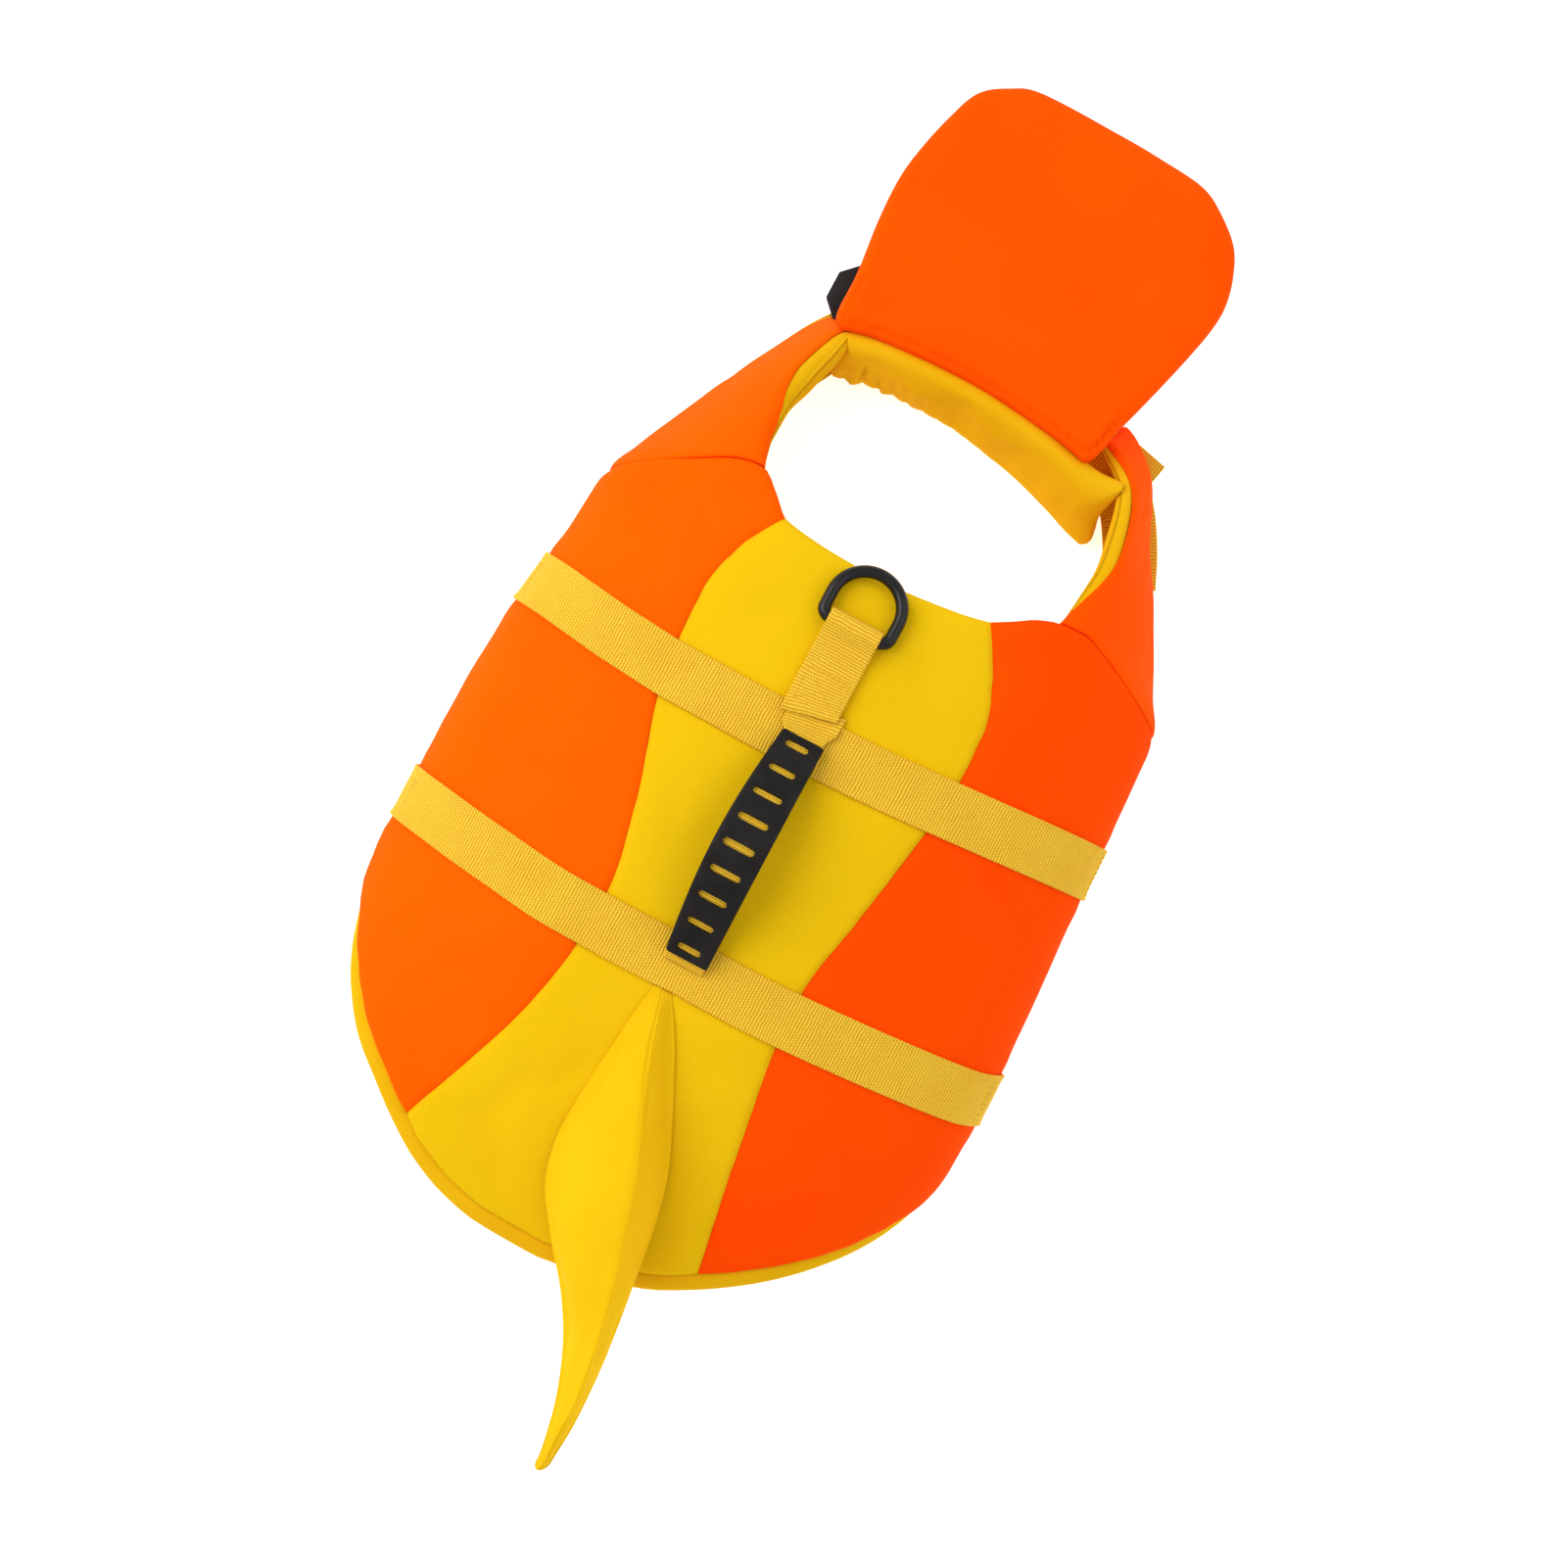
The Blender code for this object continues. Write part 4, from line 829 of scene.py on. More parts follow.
class Finish(Enum):
    """The finishes of the jacket, by the piece that each dresses."""

    # One orange cloth in three tones: painted lit on the dog's left and painted shade on its right, as the
    # light from the upper left falls, with the chin's tone between; the right arm takes the chin's tone,
    # painted lighter than the right panel
    ORANGE_LEFT = Polyester("woven_polyester_orange_painted_lit", "#FF6200", "#FE5A00", "orange_cloth")
    ORANGE_RIGHT = Polyester("woven_polyester_orange_painted_shade", "#FF4E00", "#FE4700", "orange_cloth")
    ORANGE_FLOAT = Polyester("woven_polyester_orange_chin", "#FF5600", "#FE4E00", "orange_cloth")
    YELLOW = Polyester("woven_polyester_yellow", "#E9BE10", "#E2B60A")
    YELLOW_LINING = Polyester("woven_polyester_yellow_lining", "#E8B414", "#E0AA0A")
    YELLOW_TAIL = Polyester("woven_polyester_yellow_tail", "#F0C012", "#E9B80A")
    # The webbing's darker colour is painted shade for the hollows of its weave
    WEBBING = Tape("woven_polypropylene_webbing", "#FAD242", "#D28C0C")
    # Thermoplastic rubber, moulded in a grained tool: near black, matt, with palm-worn smoother crowns
    RUBBER = HardBlack(
        "moulded_black_rubber", "#181615", "#221F1E", "rubber",
        (1800.0, 2.0, 0.03), (90.0, 0.4, 0.75), (0.35, 0.7, 0.62, 0.45), ior=1.5, specular=0.14)
    # Acetal, injection moulded: a low satin gloss, a fine spark-eroded grain and slight handling marks
    ACETAL = HardBlack(
        "moulded_black_acetal", "#100E0E", "#181515", "black_plastic",
        (2500.0, 1.0, 0.015), (140.0, 0.45, 0.75), (0.3, 0.7, 0.34, 0.44), ior=1.48, specular=0.2)
    # Steel wire, bent, welded and dipped in black polyester powder: smooth with a soft orange-peel gloss
    STEEL = HardBlack(
        "powder_coated_black_steel", "#100E0F", "#1A1717", "black_coated_steel",
        (420.0, 2.0, 0.04), (160.0, 0.5, 0.8), (0.3, 0.7, 0.2, 0.3), ior=1.5, specular=0.32)
    # Bonded polyester sewing thread: a soft lustre, lighter and darker as its three plies turn
    THREAD_YELLOW = Even("sewing_thread_yellow", "#F6D040", "#D9A420", (1500.0, 1.0), 0.55, 0.3)
    # Seamless background paper: matt, with a trace of tooth; it glows in its own colour, painted light that
    # keeps it white where the jacket's shadow falls, and lights the jacket from below too
    PAPER = Even("studio_paper", "#F6F6F5", "#F4F4F4", (12.0, 2.0), 0.95, 0.05, glow=0.75)


def dress(obj: Object, finish: Finish, body: Optional[str] = JACKET) -> Object:
    """Gives a piece its finish and its body, and reports it.

    Args:
        obj: The piece.
        finish: What it is made of.
        body: The CAD body that it rides on, or None for the stage.

    Returns:
        The piece.
    """
    made = finish.value
    obj.data.materials.clear()
    obj.data.materials.append(bpy.data.materials.get(made.name) or made.make())
    if body is not None:
        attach(obj, body)
    log.info("%s: %s, %d faces", obj.name, made.name, len(obj.data.polygons))
    return obj


@dataclass(frozen=True)
class Stitching:
    """A row of lock stitches: each a short thread that dives into the webbing at both ends."""

    pitch: float = 2.6
    length: float = 1.9
    radius: float = 0.22
    sides: int = 6
    # Along a stitch: the place as a share of its length, then the lift and the width as shares of the radius
    shape: tuple = (
        (-0.5, -0.9, 0.5), (-0.36, 0.35, 0.95), (0.0, 0.75, 1.0), (0.36, 0.35, 0.95), (0.5, -0.9, 0.5))

    def template(self) -> tuple:
        """One stitch along X, with its ends sunk.

        Returns:
            Its points and faces.
        """
        points = []
        for run, lift, width in self.shape:
            for a in np.arange(self.sides) * TURN / self.sides:
                across, up = math.cos(a) * width, lift + math.sin(a) * width
                points.append((run * self.length, across * self.radius, up * self.radius))
        return np.array(points), capped_faces(len(self.shape), self.sides)

    def rows(self, name: str, lines: Sequence[tuple]) -> Object:
        """One piece with a row of stitches along each line.

        Args:
            name: The piece's name.
            lines: Pairs of the line's points on the cloth and its outward normals there.

        Returns:
            The piece.
        """
        stitch, pattern = self.template()
        points, faces = [], []
        for line, normals in lines:
            run = along_line(line)
            count = max(1, int(run[-1] / self.pitch))
            places = (np.arange(count) + 0.5) * run[-1] / count
            centre, normal = resampled(line, places), unit(resampled(normals, places, run))
            # A stitch points along the stretch of line under it, 0.6 mm to either side of its middle
            ahead = unit(resampled(line, np.minimum(places + 0.6, run[-1])) - resampled(line, places - 0.6))
            side = unit(np.cross(normal, ahead))
            for c, a, s, n in zip(centre, ahead, side, normal):
                start = len(points) * len(stitch)
                points.append(c + stitch[:, :1] * a + stitch[:, 1:2] * s + stitch[:, 2:] * n)
                faces.extend([[start + k for k in face] for face in pattern])
        return mesh_object(name, np.vstack(points), faces)


# ---- the body's form


# Half widths and height of the body at stations along the back
BODY = Profile(
    "y left right top",
    (165, 134, 136, 93), (136, 137.5, 138, 98.5), (100, 140, 139.3, 104.5), (65, 145, 140.3, 108.5),
    (50, 146.8, 141.5, 109.3), (0, 149.5, 145, 110.5), (-50, 149.5, 147.3, 110), (-80, 148.9, 146.8, 108),
    (-100, 145.8, 144, 106), (-125, 140.5, 138.5, 102.5), (-150, 134, 131.5, 98), (-205, 122, 118, 87))


# The front edge round the girth: neck scoop, shoulder fold, then the leg opening
FRONT_EDGE = Profile(
    "girth left right",
    (0, 140.5, 140.5), (30, 141.5, 144), (45, 143, 147), (56, 145.5, 152.5), (66, 154, 158.5),
    (76, 161, 161.5), (88, 159, 161.5), (98, 154.5, 158), (115, 145.5, 151), (135, 135.5, 142.5),
    (155, 129, 136.5), (178, 124.5, 131), (205, 118, 122), (235, 105, 107), (262, 97, 97))


# The rear edge, the hem, round the girth
REAR_EDGE = Profile(
    "girth left right",
    (0, -201, -201), (30, -200, -196.5), (50, -196, -191.5), (70, -188, -182), (88, -177, -171.5),
    (105, -165, -160), (125, -151, -144), (146, -132, -125), (160, -117, -112.5), (174, -103.5, -101),
    (192, -94, -93), (215, -87, -86), (262, -79, -79))


# The seams between the centre panel and the side panels, as distances from the spine
PANEL_SEAM = Profile(
    "y left right",
    (158, 50, 44), (146, 56, 47.8), (141, 58.5, 50.5), (125, 67.5, 59.5), (100, 73.5, 67.5), (75, 72.5, 68),
    (50, 69, 65), (2, 55, 57), (-40, 47.5, 50), (-65, 48.5, 51), (-100, 55, 56), (-135, 67, 61.5),
    (-165, 79, 67), (-195, 90, 72))


# How wide the lined foam shows round the hem, and how deep the shoulder folds are, round the girth
HEM_WIDTH = Profile(
    "girth left right",
    (0, 9.6, 9.6), (70, 9.4, 9.4), (95, 9.6, 9.4), (120, 11, 9.2), (165, 12, 8.5), (200, 8, 7),
    (262, 6.5, 6.5))
SHOULDER_FOLD = Profile(
    "girth left right",
    (76, 2.7, 2.4), (100, 2.3, 2.3), (125, 1.4, 1.9), (138, 1.3, 1.8), (151, 4.4, 2.7), (163, 4.8, 3.4),
    (172, 3.6, 3))


# How far each girth strap sags towards the hem beside the spine
STRAP_SAG = Profile(
    "girth front_left front_right rear_left rear_right",
    (0, 0, 0, 0, 0), (45, 1.8, 0.6, 2.4, 2), (75, 3.4, 0.9, 3.8, 3), (96, 3.4, 1.1, 3.4, 3.5),
    (118, 2.4, 1, 2.8, 3.7), (141, 0.9, 0.6, 1.4, 3), (170, 0, 0, 0, 0), (262, 0, 0, 0, 0))


@dataclass(frozen=True)
class Fold:
    """A soft crease: a trough that fades out at both ends, with a low swell along one side."""

    start: tuple
    end: tuple
    depth: float
    width: float
    bow: float = 0.0

    def height(self, u: Array, v: Array) -> Array:
        """The crease's height at places on the cloth.

        Args:
            u: First coordinate on the cloth.
            v: Second coordinate on the cloth.

        Returns:
            Heights, below zero in the trough.
        """
        run, rise = self.end[0] - self.start[0], self.end[1] - self.start[1]
        length = math.hypot(run, rise)
        along = ((u - self.start[0]) * run + (v - self.start[1]) * rise) / length**2
        share = np.clip(along, 0.0, 1.0)
        bulk = 4 * share * (1 - share)
        off = ((v - self.start[1]) * run - (u - self.start[0]) * rise) / length - self.bow * bulk
        beyond = np.maximum(np.abs(along - 0.5) - 0.5, 0.0) * length
        swell = 0.5 * hump(off - 2.1 * self.width, 1.4 * self.width)
        return self.depth * np.power(bulk, 0.8) * hump(beyond, self.width) * (swell - hump(off, self.width))


def laid(*rows: Sequence[float]) -> tuple:
    """Folds from rows of their start, end, depth, half width and bow."""
    return tuple(Fold(row[:2], row[2:4], *row[4:]) for row in rows)


# The folds of the back and sides, over girth and place along the back
BODY_FOLDS = laid(
    (-121, 127, -105, 137, 1.27, 4.5, 1), (-115, 95, -84, 84, 0.94, 5, 2),
    (-150, 112, -128, 96, 0.85, 4, -1.5), (-92, 130, -80, 112, 0.59, 4, 1),
    (84, 150, 104, 128, 1.19, 5.5, -2.5), (118, 126, 140, 112, 1.02, 4.5, 1.5),
    (70, 112, 92, 94, 0.68, 5, 2), (-30, 118, -52, 96, 0.59, 6, 2), (-78, 24, -112, 8, 0.77, 7, -3),
    (-140, 20, -116, -14, 0.68, 6, 2), (88, 6, 126, 24, 0.68, 7, 3), (70, -22, 96, -34, 0.59, 5, 1),
    (-66, -90, -104, -112, 0.85, 6, -3), (-120, -84, -134, -104, 0.77, 5, 2),
    (-38, -120, -58, -162, 0.85, 6, 3), (58, -88, 68, -130, 0.68, 6, -2), (96, -92, 124, -112, 0.68, 6, 3),
    (-18, -100, -32, -132, 0.85, 5, 2), (-196, 96, -176, 60, 1.38, 5, 3),
    (-226, 74, -204, 52, 1.12, 4.5, -2), (-178, -8, -214, 10, 1.12, 6, 3),
    (-232, -30, -200, -62, 1.25, 5, -3), (-184, -66, -172, -90, 1, 4.5, 2), (182, 100, 206, 70, 1.25, 5, -3),
    (228, 84, 244, 50, 1.12, 5, 2), (176, 22, 204, 6, 1, 6, 2), (220, -10, 186, -38, 1.25, 5.5, -3),
    (196, -62, 232, -70, 1.12, 4.5, 1.5), (24, 122, 44, 100, 0.7, 6, -2),
    (-50, -150, -28, -184, 0.8, 5, 2.5), (-74, -152, -60, -176, 0.7, 4.5, 1.5), (34, 34, 48, 2, 0.6, 6, 2),
    (-44, 30, -34, -6, 0.6, 6, -2), (44, -150, 54, -178, 0.6, 5, -1.5))


@dataclass
class BodyForm:
    """The lined foam's outer surface over the back and sides, as girth round the body and y along it."""

    side_height: float = 46.0
    side_tuck: float = 44.0
    underside: float = STRAP_LIFT + WEBBING
    # Where a cross-section ends under the belly, past the middle, so that it covers every girth
    belly_end: float = -40.0
    crown_power: float = 2.3
    strap_lines: tuple = (60.5, -52.0)
    strap_rise: float = 8.5
    strap_rise_girth: float = 150.0
    # Depths to which seams, the hem and the straps pull the cloth down, close by and in a wide dish
    seam_pull: float = 0.85
    seam_dish: float = 0.65
    hem_pull: float = 0.8
    hem_dish: float = 0.3
    strap_press: float = 0.45
    cell: float = 2.0
    turns: int = 60
    folds: tuple = BODY_FOLDS

    def __post_init__(self) -> None:
        """Samples the section along the whole back."""
        self.girths = np.arange(-270.0, 270.1, self.cell)
        self.ys = np.arange(-230.0, 180.1, self.cell)
        self.x, self.z = (np.zeros((len(self.ys), len(self.girths))) for _ in range(2))
        self.seams = np.zeros((len(self.ys), 2))
        for i, y in enumerate(self.ys):
            for column, side in enumerate((-1, 1)):
                girth, x, z = self.section(side, float(y))
                here = self.girths * side >= 0
                self.x[i, here] = side * np.interp(np.abs(self.girths[here]), girth, x)
                self.z[i, here] = np.interp(np.abs(self.girths[here]), girth, z)
                seam = float(PANEL_SEAM.at(word_of(side), y))
                self.seams[i, column] = np.interp(seam, x[: self.turns], girth[: self.turns])

    def section(self, side: int, y: float) -> tuple:
        """Half a cross-section, from the spine over the side to under the belly.

        Args:
            side: -1 for the dog's left and 1 for its right.
            y: Where the section lies.

        Returns:
            Girth, distance from the middle and height of its points.
        """
        width, top = float(BODY.at(word_of(side), y)), float(BODY.at("top", y))
        turn = np.linspace(0, math.pi / 2, self.turns)
        up_x = width * np.sin(turn) ** (2 / self.crown_power)
        up_z = self.side_height + (top - self.side_height) * np.cos(turn) ** (2 / self.crown_power)
        down_x = width - self.side_tuck * (1 - np.cos(turn[1:]))
        down_z = self.side_height - (self.side_height - self.underside) * np.sin(turn[1:])
        x = np.concatenate([up_x, down_x, [self.belly_end]])
        z = np.concatenate([up_z, down_z, [self.underside]])
        return along_line(np.column_stack([x, z])), x, z

    def read(self, grid: Array, girth: Array, y: Array) -> Array:
        """Values of a sampled grid at places between its points.

        Args:
            grid: The samples, by y and girth.
            girth: Places round the body.
            y: Places along it.

        Returns:
            A value for each place.
        """
        a = np.clip((girth - self.girths[0]) / self.cell, 0, len(self.girths) - 1.001)
        b = np.clip((y - self.ys[0]) / self.cell, 0, len(self.ys) - 1.001)
        i, j = a.astype(int), b.astype(int)
        low, high = (mix(grid[k, i], grid[k, i + 1], a - i) for k in (j, j + 1))
        return mix(low, high, b - j)

    def skin(self, girth: Array, y: Array) -> Array:
        """Places on the surface before its edges are rounded; the left is negative."""
        return np.stack([self.read(self.x, girth, y), y, self.read(self.z, girth, y)], axis=-1)

    def normal(self, girth: Array, y: Array, step: float = 3.0) -> Array:
        """Outward normals of the surface, over a step to either side."""
        round_it = self.skin(girth + step, y) - self.skin(girth - step, y)
        return unit(np.cross(round_it, self.skin(girth, y + step) - self.skin(girth, y - step)))

    def seam(self, side: int, y: Array) -> Array:
        """How far round the body lies the panel seam of that side, as a distance from the spine."""
        return np.interp(y, self.ys, self.seams[:, 0 if side < 0 else 1])

    def from_seam(self, girth: Array, y: Array) -> Array:
        """The distance to the nearer panel seam."""
        return np.minimum(np.abs(-girth - self.seam(-1, y)), np.abs(girth - self.seam(1, y)))

    def edge(self, table: Profile, girth: Array, step: float = 2.0) -> tuple:
        """Where an edge lies, and how much longer than its square distance is the way there along y."""
        ahead, behind = (table.sided(np.abs(girth + d), girth) for d in (step, -step))
        return table.sided(np.abs(girth), girth), np.hypot(1.0, (ahead - behind) / (2 * step))

    def fold_depth(self, girth: Array) -> Array:
        """How far the front edge closes: fully where it is free, little where an arm carries the cloth on.

        Args:
            girth: Places round the body.

        Returns:
            A depth for each place.
        """
        a = np.abs(girth)
        joined = smooth((a - NECK_GIRTH + 3.0) / 9.0) * smooth((SIDE_GIRTH + 1.0 - a) / 9.0)
        return mix(BODY_FOAM / 2, SHOULDER_FOLD.sided(a, girth), joined)

    def hem_shows(self, girth: Array) -> Array:
        """How wide the lined foam shows behind the panels, which is most round the left haunch."""
        return HEM_WIDTH.sided(np.abs(girth), girth)

    def insets(self, girth: Array, y: Array) -> tuple:
        """Square distances to the edges.

        Args:
            girth: Places round the body.
            y: Places along it.

        Returns:
            Distances to the front edge, the hem and the edge under the belly.
        """
        front, front_stretch = self.edge(FRONT_EDGE, girth)
        rear, rear_stretch = self.edge(REAR_EDGE, girth)
        return (front - y) / front_stretch, (y - rear) / rear_stretch, HALF_GIRTH - np.abs(girth)

    def drop(self, girth: Array, y: Array) -> Array:
        """How far the foam's face has closed towards its middle."""
        pairs = zip(self.insets(girth, y), (self.fold_depth(girth), BODY_FOAM / 2, BODY_FOAM / 2))
        return np.maximum.reduce([closing(np.maximum(inset, 0.0), half) for inset, half in pairs])

    def strap_distance(self, girth: Array, y: Array) -> Array:
        """The distance outside the nearest girth strap's edge, negative under it."""
        away = (np.abs(y - self.strap_middle(line, girth)) for line in self.strap_lines)
        return np.minimum(*away) - WEBBING_WIDTH / 2

    def strap_middle(self, start: float, girth: Array) -> Array:
        """Where a girth strap's middle lies.

        Args:
            start: Its place on the spine, in front of the middle for the front strap.
            girth: Places round the body.

        Returns:
            A place along the body for each girth.
        """
        reach = np.abs(girth)
        strap = "front" if start > 0 else "rear"
        left, right = (STRAP_SAG.at(f"{strap}_{word}", reach) for word in ("left", "right"))
        sag = np.where(girth < 0, left, right)
        return start + self.strap_rise * smooth(reach / self.strap_rise_girth) - sag

    def swell(self, girth: Array, y: Array) -> Array:
        """Slow unevenness of the foam, and the dip where a strap presses it.

        Args:
            girth: Places round the body.
            y: Places along it.

        Returns:
            A height for each place.
        """
        out = self.strap_distance(girth, y)
        pucker = 0.10 * wavy(girth, 1.9, 2.5, 17.0) * hump(out - 3.0, 2.6)
        press = 0.35 * hump(out - 6.0, 5.0) * (out > 0) - self.strap_press * smooth(-out / 4.0) + pucker
        return 0.5 * drift(girth, y, 95.0, 3) + 0.2 * drift(girth, y, 40.0, 8) + press

    def pulls(self, girth: Array, y: Array, wide: float = 1.0) -> Array:
        """The valleys that stitching pulls into the cloth, along the panel seams and the hem.

        Args:
            girth: Places round the body.
            y: Places along it.
            wide: How many times as wide the valleys are.

        Returns:
            A depth for each place, below zero in a valley.
        """
        nearest = self.from_seam(girth, y)
        rear = self.insets(girth, y)[1] - self.hem_shows(girth)
        pucker = 1 + 0.28 * wavy(y, 2.3, 2.0, 19.0) + 0.2 * np.sin(y / 5.1 + 1.0)
        tuck = 0.10 * wavy(y, 1.45, 3.0, 23.0) * hump(nearest - 3.0, 3.0)
        seams = tuck - self.seam_pull * pucker * hump(nearest, 1.9 * wide)
        seams -= self.seam_dish * hump(nearest, 9.0)
        hem_pull = self.hem_pull * (1 + 0.25 * wavy(girth, 2.6, 2.0, 21.0))
        hem = -hem_pull * hump(rear, 1.7 * wide) - self.hem_dish * hump(rear, 7.0)
        return seams * smooth((rear + HEM_SHOWS) / 10.0) + hem

    def creases(self, girth: Array, y: Array) -> Array:
        """The listed folds, which the straps hold flat."""
        total = sum(fold.height(girth, y) for fold in self.folds)
        return total * smooth(self.strap_distance(girth, y) / 6.0)

    def cloth(self, girth: Array, y: Array) -> Array:
        """The relief of the outer cloth."""
        return self.swell(girth, y) + self.pulls(girth, y) + self.creases(girth, y)

    def foam(self, girth: Array, y: Array) -> Array:
        """The relief of the lined foam, which stays under the cloth and stands up as a rim round the hem.

        Args:
            girth: Places round the body.
            y: Places along it.

        Returns:
            A height for each place.
        """
        rear = self.insets(girth, y)[1]
        under = self.pulls(girth, y, 1.5) + np.minimum(self.creases(girth, y), 0.0) - 0.12
        rim = 0.55 * hump(rear - 2.6, 2.6) + 0.12 * wavy(girth, 7.0, 2.0, 31.0) * hump(rear - 3.0, 3.0)
        return self.swell(girth, y) + under + rim


@dataclass
class BodyGrid:
    """Lines over the body that follow its edges and panel seams, crowded where the cloth turns down."""

    form: BodyForm
    pitch: float
    # About how far it is from hem to neck, from seam to seam, and from a seam to the belly edge
    length: float = 315.0
    centre_width: float = 124.0
    side_width: float = 188.0
    hem_steps: tuple = (0.0, 0.3, 0.9, 1.8, 3.0, 4.4, 5.6, HEM_SHOWS, 7.2, 8.2, 9.6, 11.6)
    front_steps: tuple = (0.0, 0.25, 0.7, 1.4, 2.4, 3.8, 5.6, 8.0)
    seam_steps: tuple = (0.0, 0.7, 1.5, 2.5, 4.0, 6.2)
    rounds: int = 30

    def __post_init__(self) -> None:
        """Finds girth and y of every crossing, by moving lines and rows in turn until both agree."""
        self.side = spaced(self.side_width, self.front_steps, self.seam_steps, self.pitch)
        self.centre = spaced(self.centre_width, self.seam_steps, self.seam_steps, self.pitch)
        self.left_seam = len(self.side) - 1
        self.right_seam = self.left_seam + len(self.centre) - 1
        self.hem_row = self.hem_steps.index(HEM_SHOWS)
        rows = round(self.length / self.pitch)
        middle = np.linspace(0, 1, rows + 2)[1:-1]
        near = [*self.hem_steps, *np.zeros(rows), *self.front_steps[::-1]]
        share = [*np.zeros(len(self.hem_steps)), *middle, *np.ones(len(self.front_steps))]
        self.near, self.share = np.array(near)[:, None], np.array(share)[:, None]
        self.y = np.zeros((len(near), self.right_seam + len(self.side)))
        for _ in range(self.rounds):
            self.girth = self.lines(self.y)
            self.y = mix(self.y, self.rows(self.girth), 0.7)

    def lines(self, y: Array) -> Array:
        """The girths of the lines along the back.

        Args:
            y: Place along the back of each crossing.

        Returns:
            The girth of each crossing.
        """
        left, right = self.form.seam(-1, y), self.form.seam(1, y)
        out = np.empty_like(y)
        a, b = self.left_seam, self.right_seam
        out[:, :a] = -mix(HALF_GIRTH, left[:, :a], self.side[None, :-1])
        out[:, a : b + 1] = mix(-left[:, a : b + 1], right[:, a : b + 1], self.centre[None])
        out[:, b + 1 :] = mix(HALF_GIRTH, right[:, b + 1 :], self.side[None, -2::-1])
        return out

    def rows(self, girth: Array) -> Array:
        """Where the cross lines lie.

        Args:
            girth: The girth of each crossing.

        Returns:
            The place along the back of each crossing.
        """
        front, front_stretch = self.form.edge(FRONT_EDGE, girth)
        rear, rear_stretch = self.form.edge(REAR_EDGE, girth)
        wide = self.form.hem_shows(girth) / HEM_SHOWS * rear_stretch
        first, last = rear + self.hem_steps[-1] * wide, front - self.front_steps[-1] * front_stretch
        hem, top = rear + self.near * wide, front - self.near * front_stretch
        return np.where(self.share == 0, hem, np.where(self.share == 1, top, mix(first, last, self.share)))


# ---- back and sides


def sheet_piece(obj: Object) -> None:
    """Measures the area of a cloth piece's own face, which nothing then uses.

    Args:
        obj: The piece.
    """
    bm = bmesh.new()
    bm.from_mesh(obj.data)
    area = sum(face.calc_area() for face in bm.faces) / 2
    bm.free()


@dataclass
class BackAndSides:
    """The lined foam of the back and sides, and the three panels of outer cloth sewn over it."""

    form: BodyForm
    foam_pitch: float = 5.0
    cloth_pitch: float = 3.0
    # How deep the quilting pulls the inner face along the seams, and how uneven that face is
    quilt_depth: float = 0.9
    slump: float = 0.5
    # How far a sewn edge is pulled down, and over what width
    edge_pull: float = 0.45
    edge_width: float = 1.0
    # From the dog's left: each panel's name, CAD node, finish, and its cut's flat size in metres
    # The left panel's orange is painted lit, and the right panel's is painted shade
    panels: tuple = (
        ("side_panel_l", "side_panel_left", Finish.ORANGE_LEFT, (0.225, 0.352)),
        ("back_panel", "back_panel_center", Finish.YELLOW, (0.215, 0.362)),
        ("side_panel_r", "side_panel_right", Finish.ORANGE_RIGHT, (0.225, 0.352)))

    def build(self) -> list:
        """Makes the foam and the panels.

        Returns:
            The panels.
        """
        self.foam(BodyGrid(self.form, self.foam_pitch))
        cloth = BodyGrid(self.form, self.cloth_pitch)
        ends = (0, cloth.left_seam, cloth.right_seam, cloth.y.shape[1] - 1)
        return [self.panel(cloth, *row) for row in zip(ends, ends[1:], self.panels)]

    def foam(self, grid: BodyGrid) -> Object:
        """The lined foam, with the hem's rim outside the panels and a quilted inner face.

        Args:
            grid: The lines over the body.

        Returns:
            The piece.
        """
        girth, y, form = grid.girth, grid.y, self.form
        normal, skin, drop = form.normal(girth, y), form.skin(girth, y), form.drop(girth, y)
        border = np.maximum(np.minimum.reduce(form.insets(girth, y)), 0.0)
        outer = skin + normal * (form.foam(girth, y) * smooth(border / 3.0) - drop)[..., None]
        quilt = self.quilt_depth * hump(form.from_seam(girth, y), 2.6)
        quilt = quilt + self.slump + self.slump * drift(girth, y, 60.0, 21)
        thick = BODY_FOAM - drop - smooth(border / 12.0) * quilt
        inner = skin - normal * np.maximum(thick, drop)[..., None]
        obj = shell("foam_body", outer, inner, girth, y)
        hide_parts("lined_foam_body")
        return dress(obj, Finish.YELLOW_LINING)

    def panel(self, grid: BodyGrid, first: int, last: int, row: tuple) -> Object:
        """One panel of outer cloth, its edges turned under and pulled down by their seams.

        Args:
            grid: The lines over the body.
            first: The panel's first line.
            last: Its last line.
            row: Its name, node, finish and flat size.

        Returns:
            The piece.
        """
        name, node, finish, flat = row
        cut = (slice(grid.hem_row, None), slice(first, last + 1))
        girth, y = grid.girth[cut].copy(), grid.y[cut]
        edge = hump(y - y[:1], self.edge_width)
        # Where a neighbour is sewn on, the panel ends half a gap short of the seam
        for column, inward, sewn in ((0, 1, first > 0), (-1, -1, last < grid.y.shape[1] - 1)):
            if sewn:
                girth[:, column] += inward * SEAM_GAP / 2
                edge = np.maximum(edge, hump(girth - girth[:, column][:, None], self.edge_width))
        normal = self.form.normal(girth, y)
        relief = self.form.cloth(girth, y) - self.form.drop(girth, y)
        base = self.form.skin(girth, y) + normal * relief[..., None]
        outer = base + normal * (CLOTH_LIFT + CLOTH - self.edge_pull * edge)[..., None]
        inner = base + normal * (CLOTH_LIFT * (1 - 0.2 * edge))[..., None]
        obj = shell(name, outer, inner, girth, y)
        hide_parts(node)
        sheet_piece(obj)
        return dress(obj, finish)


# ---- collar


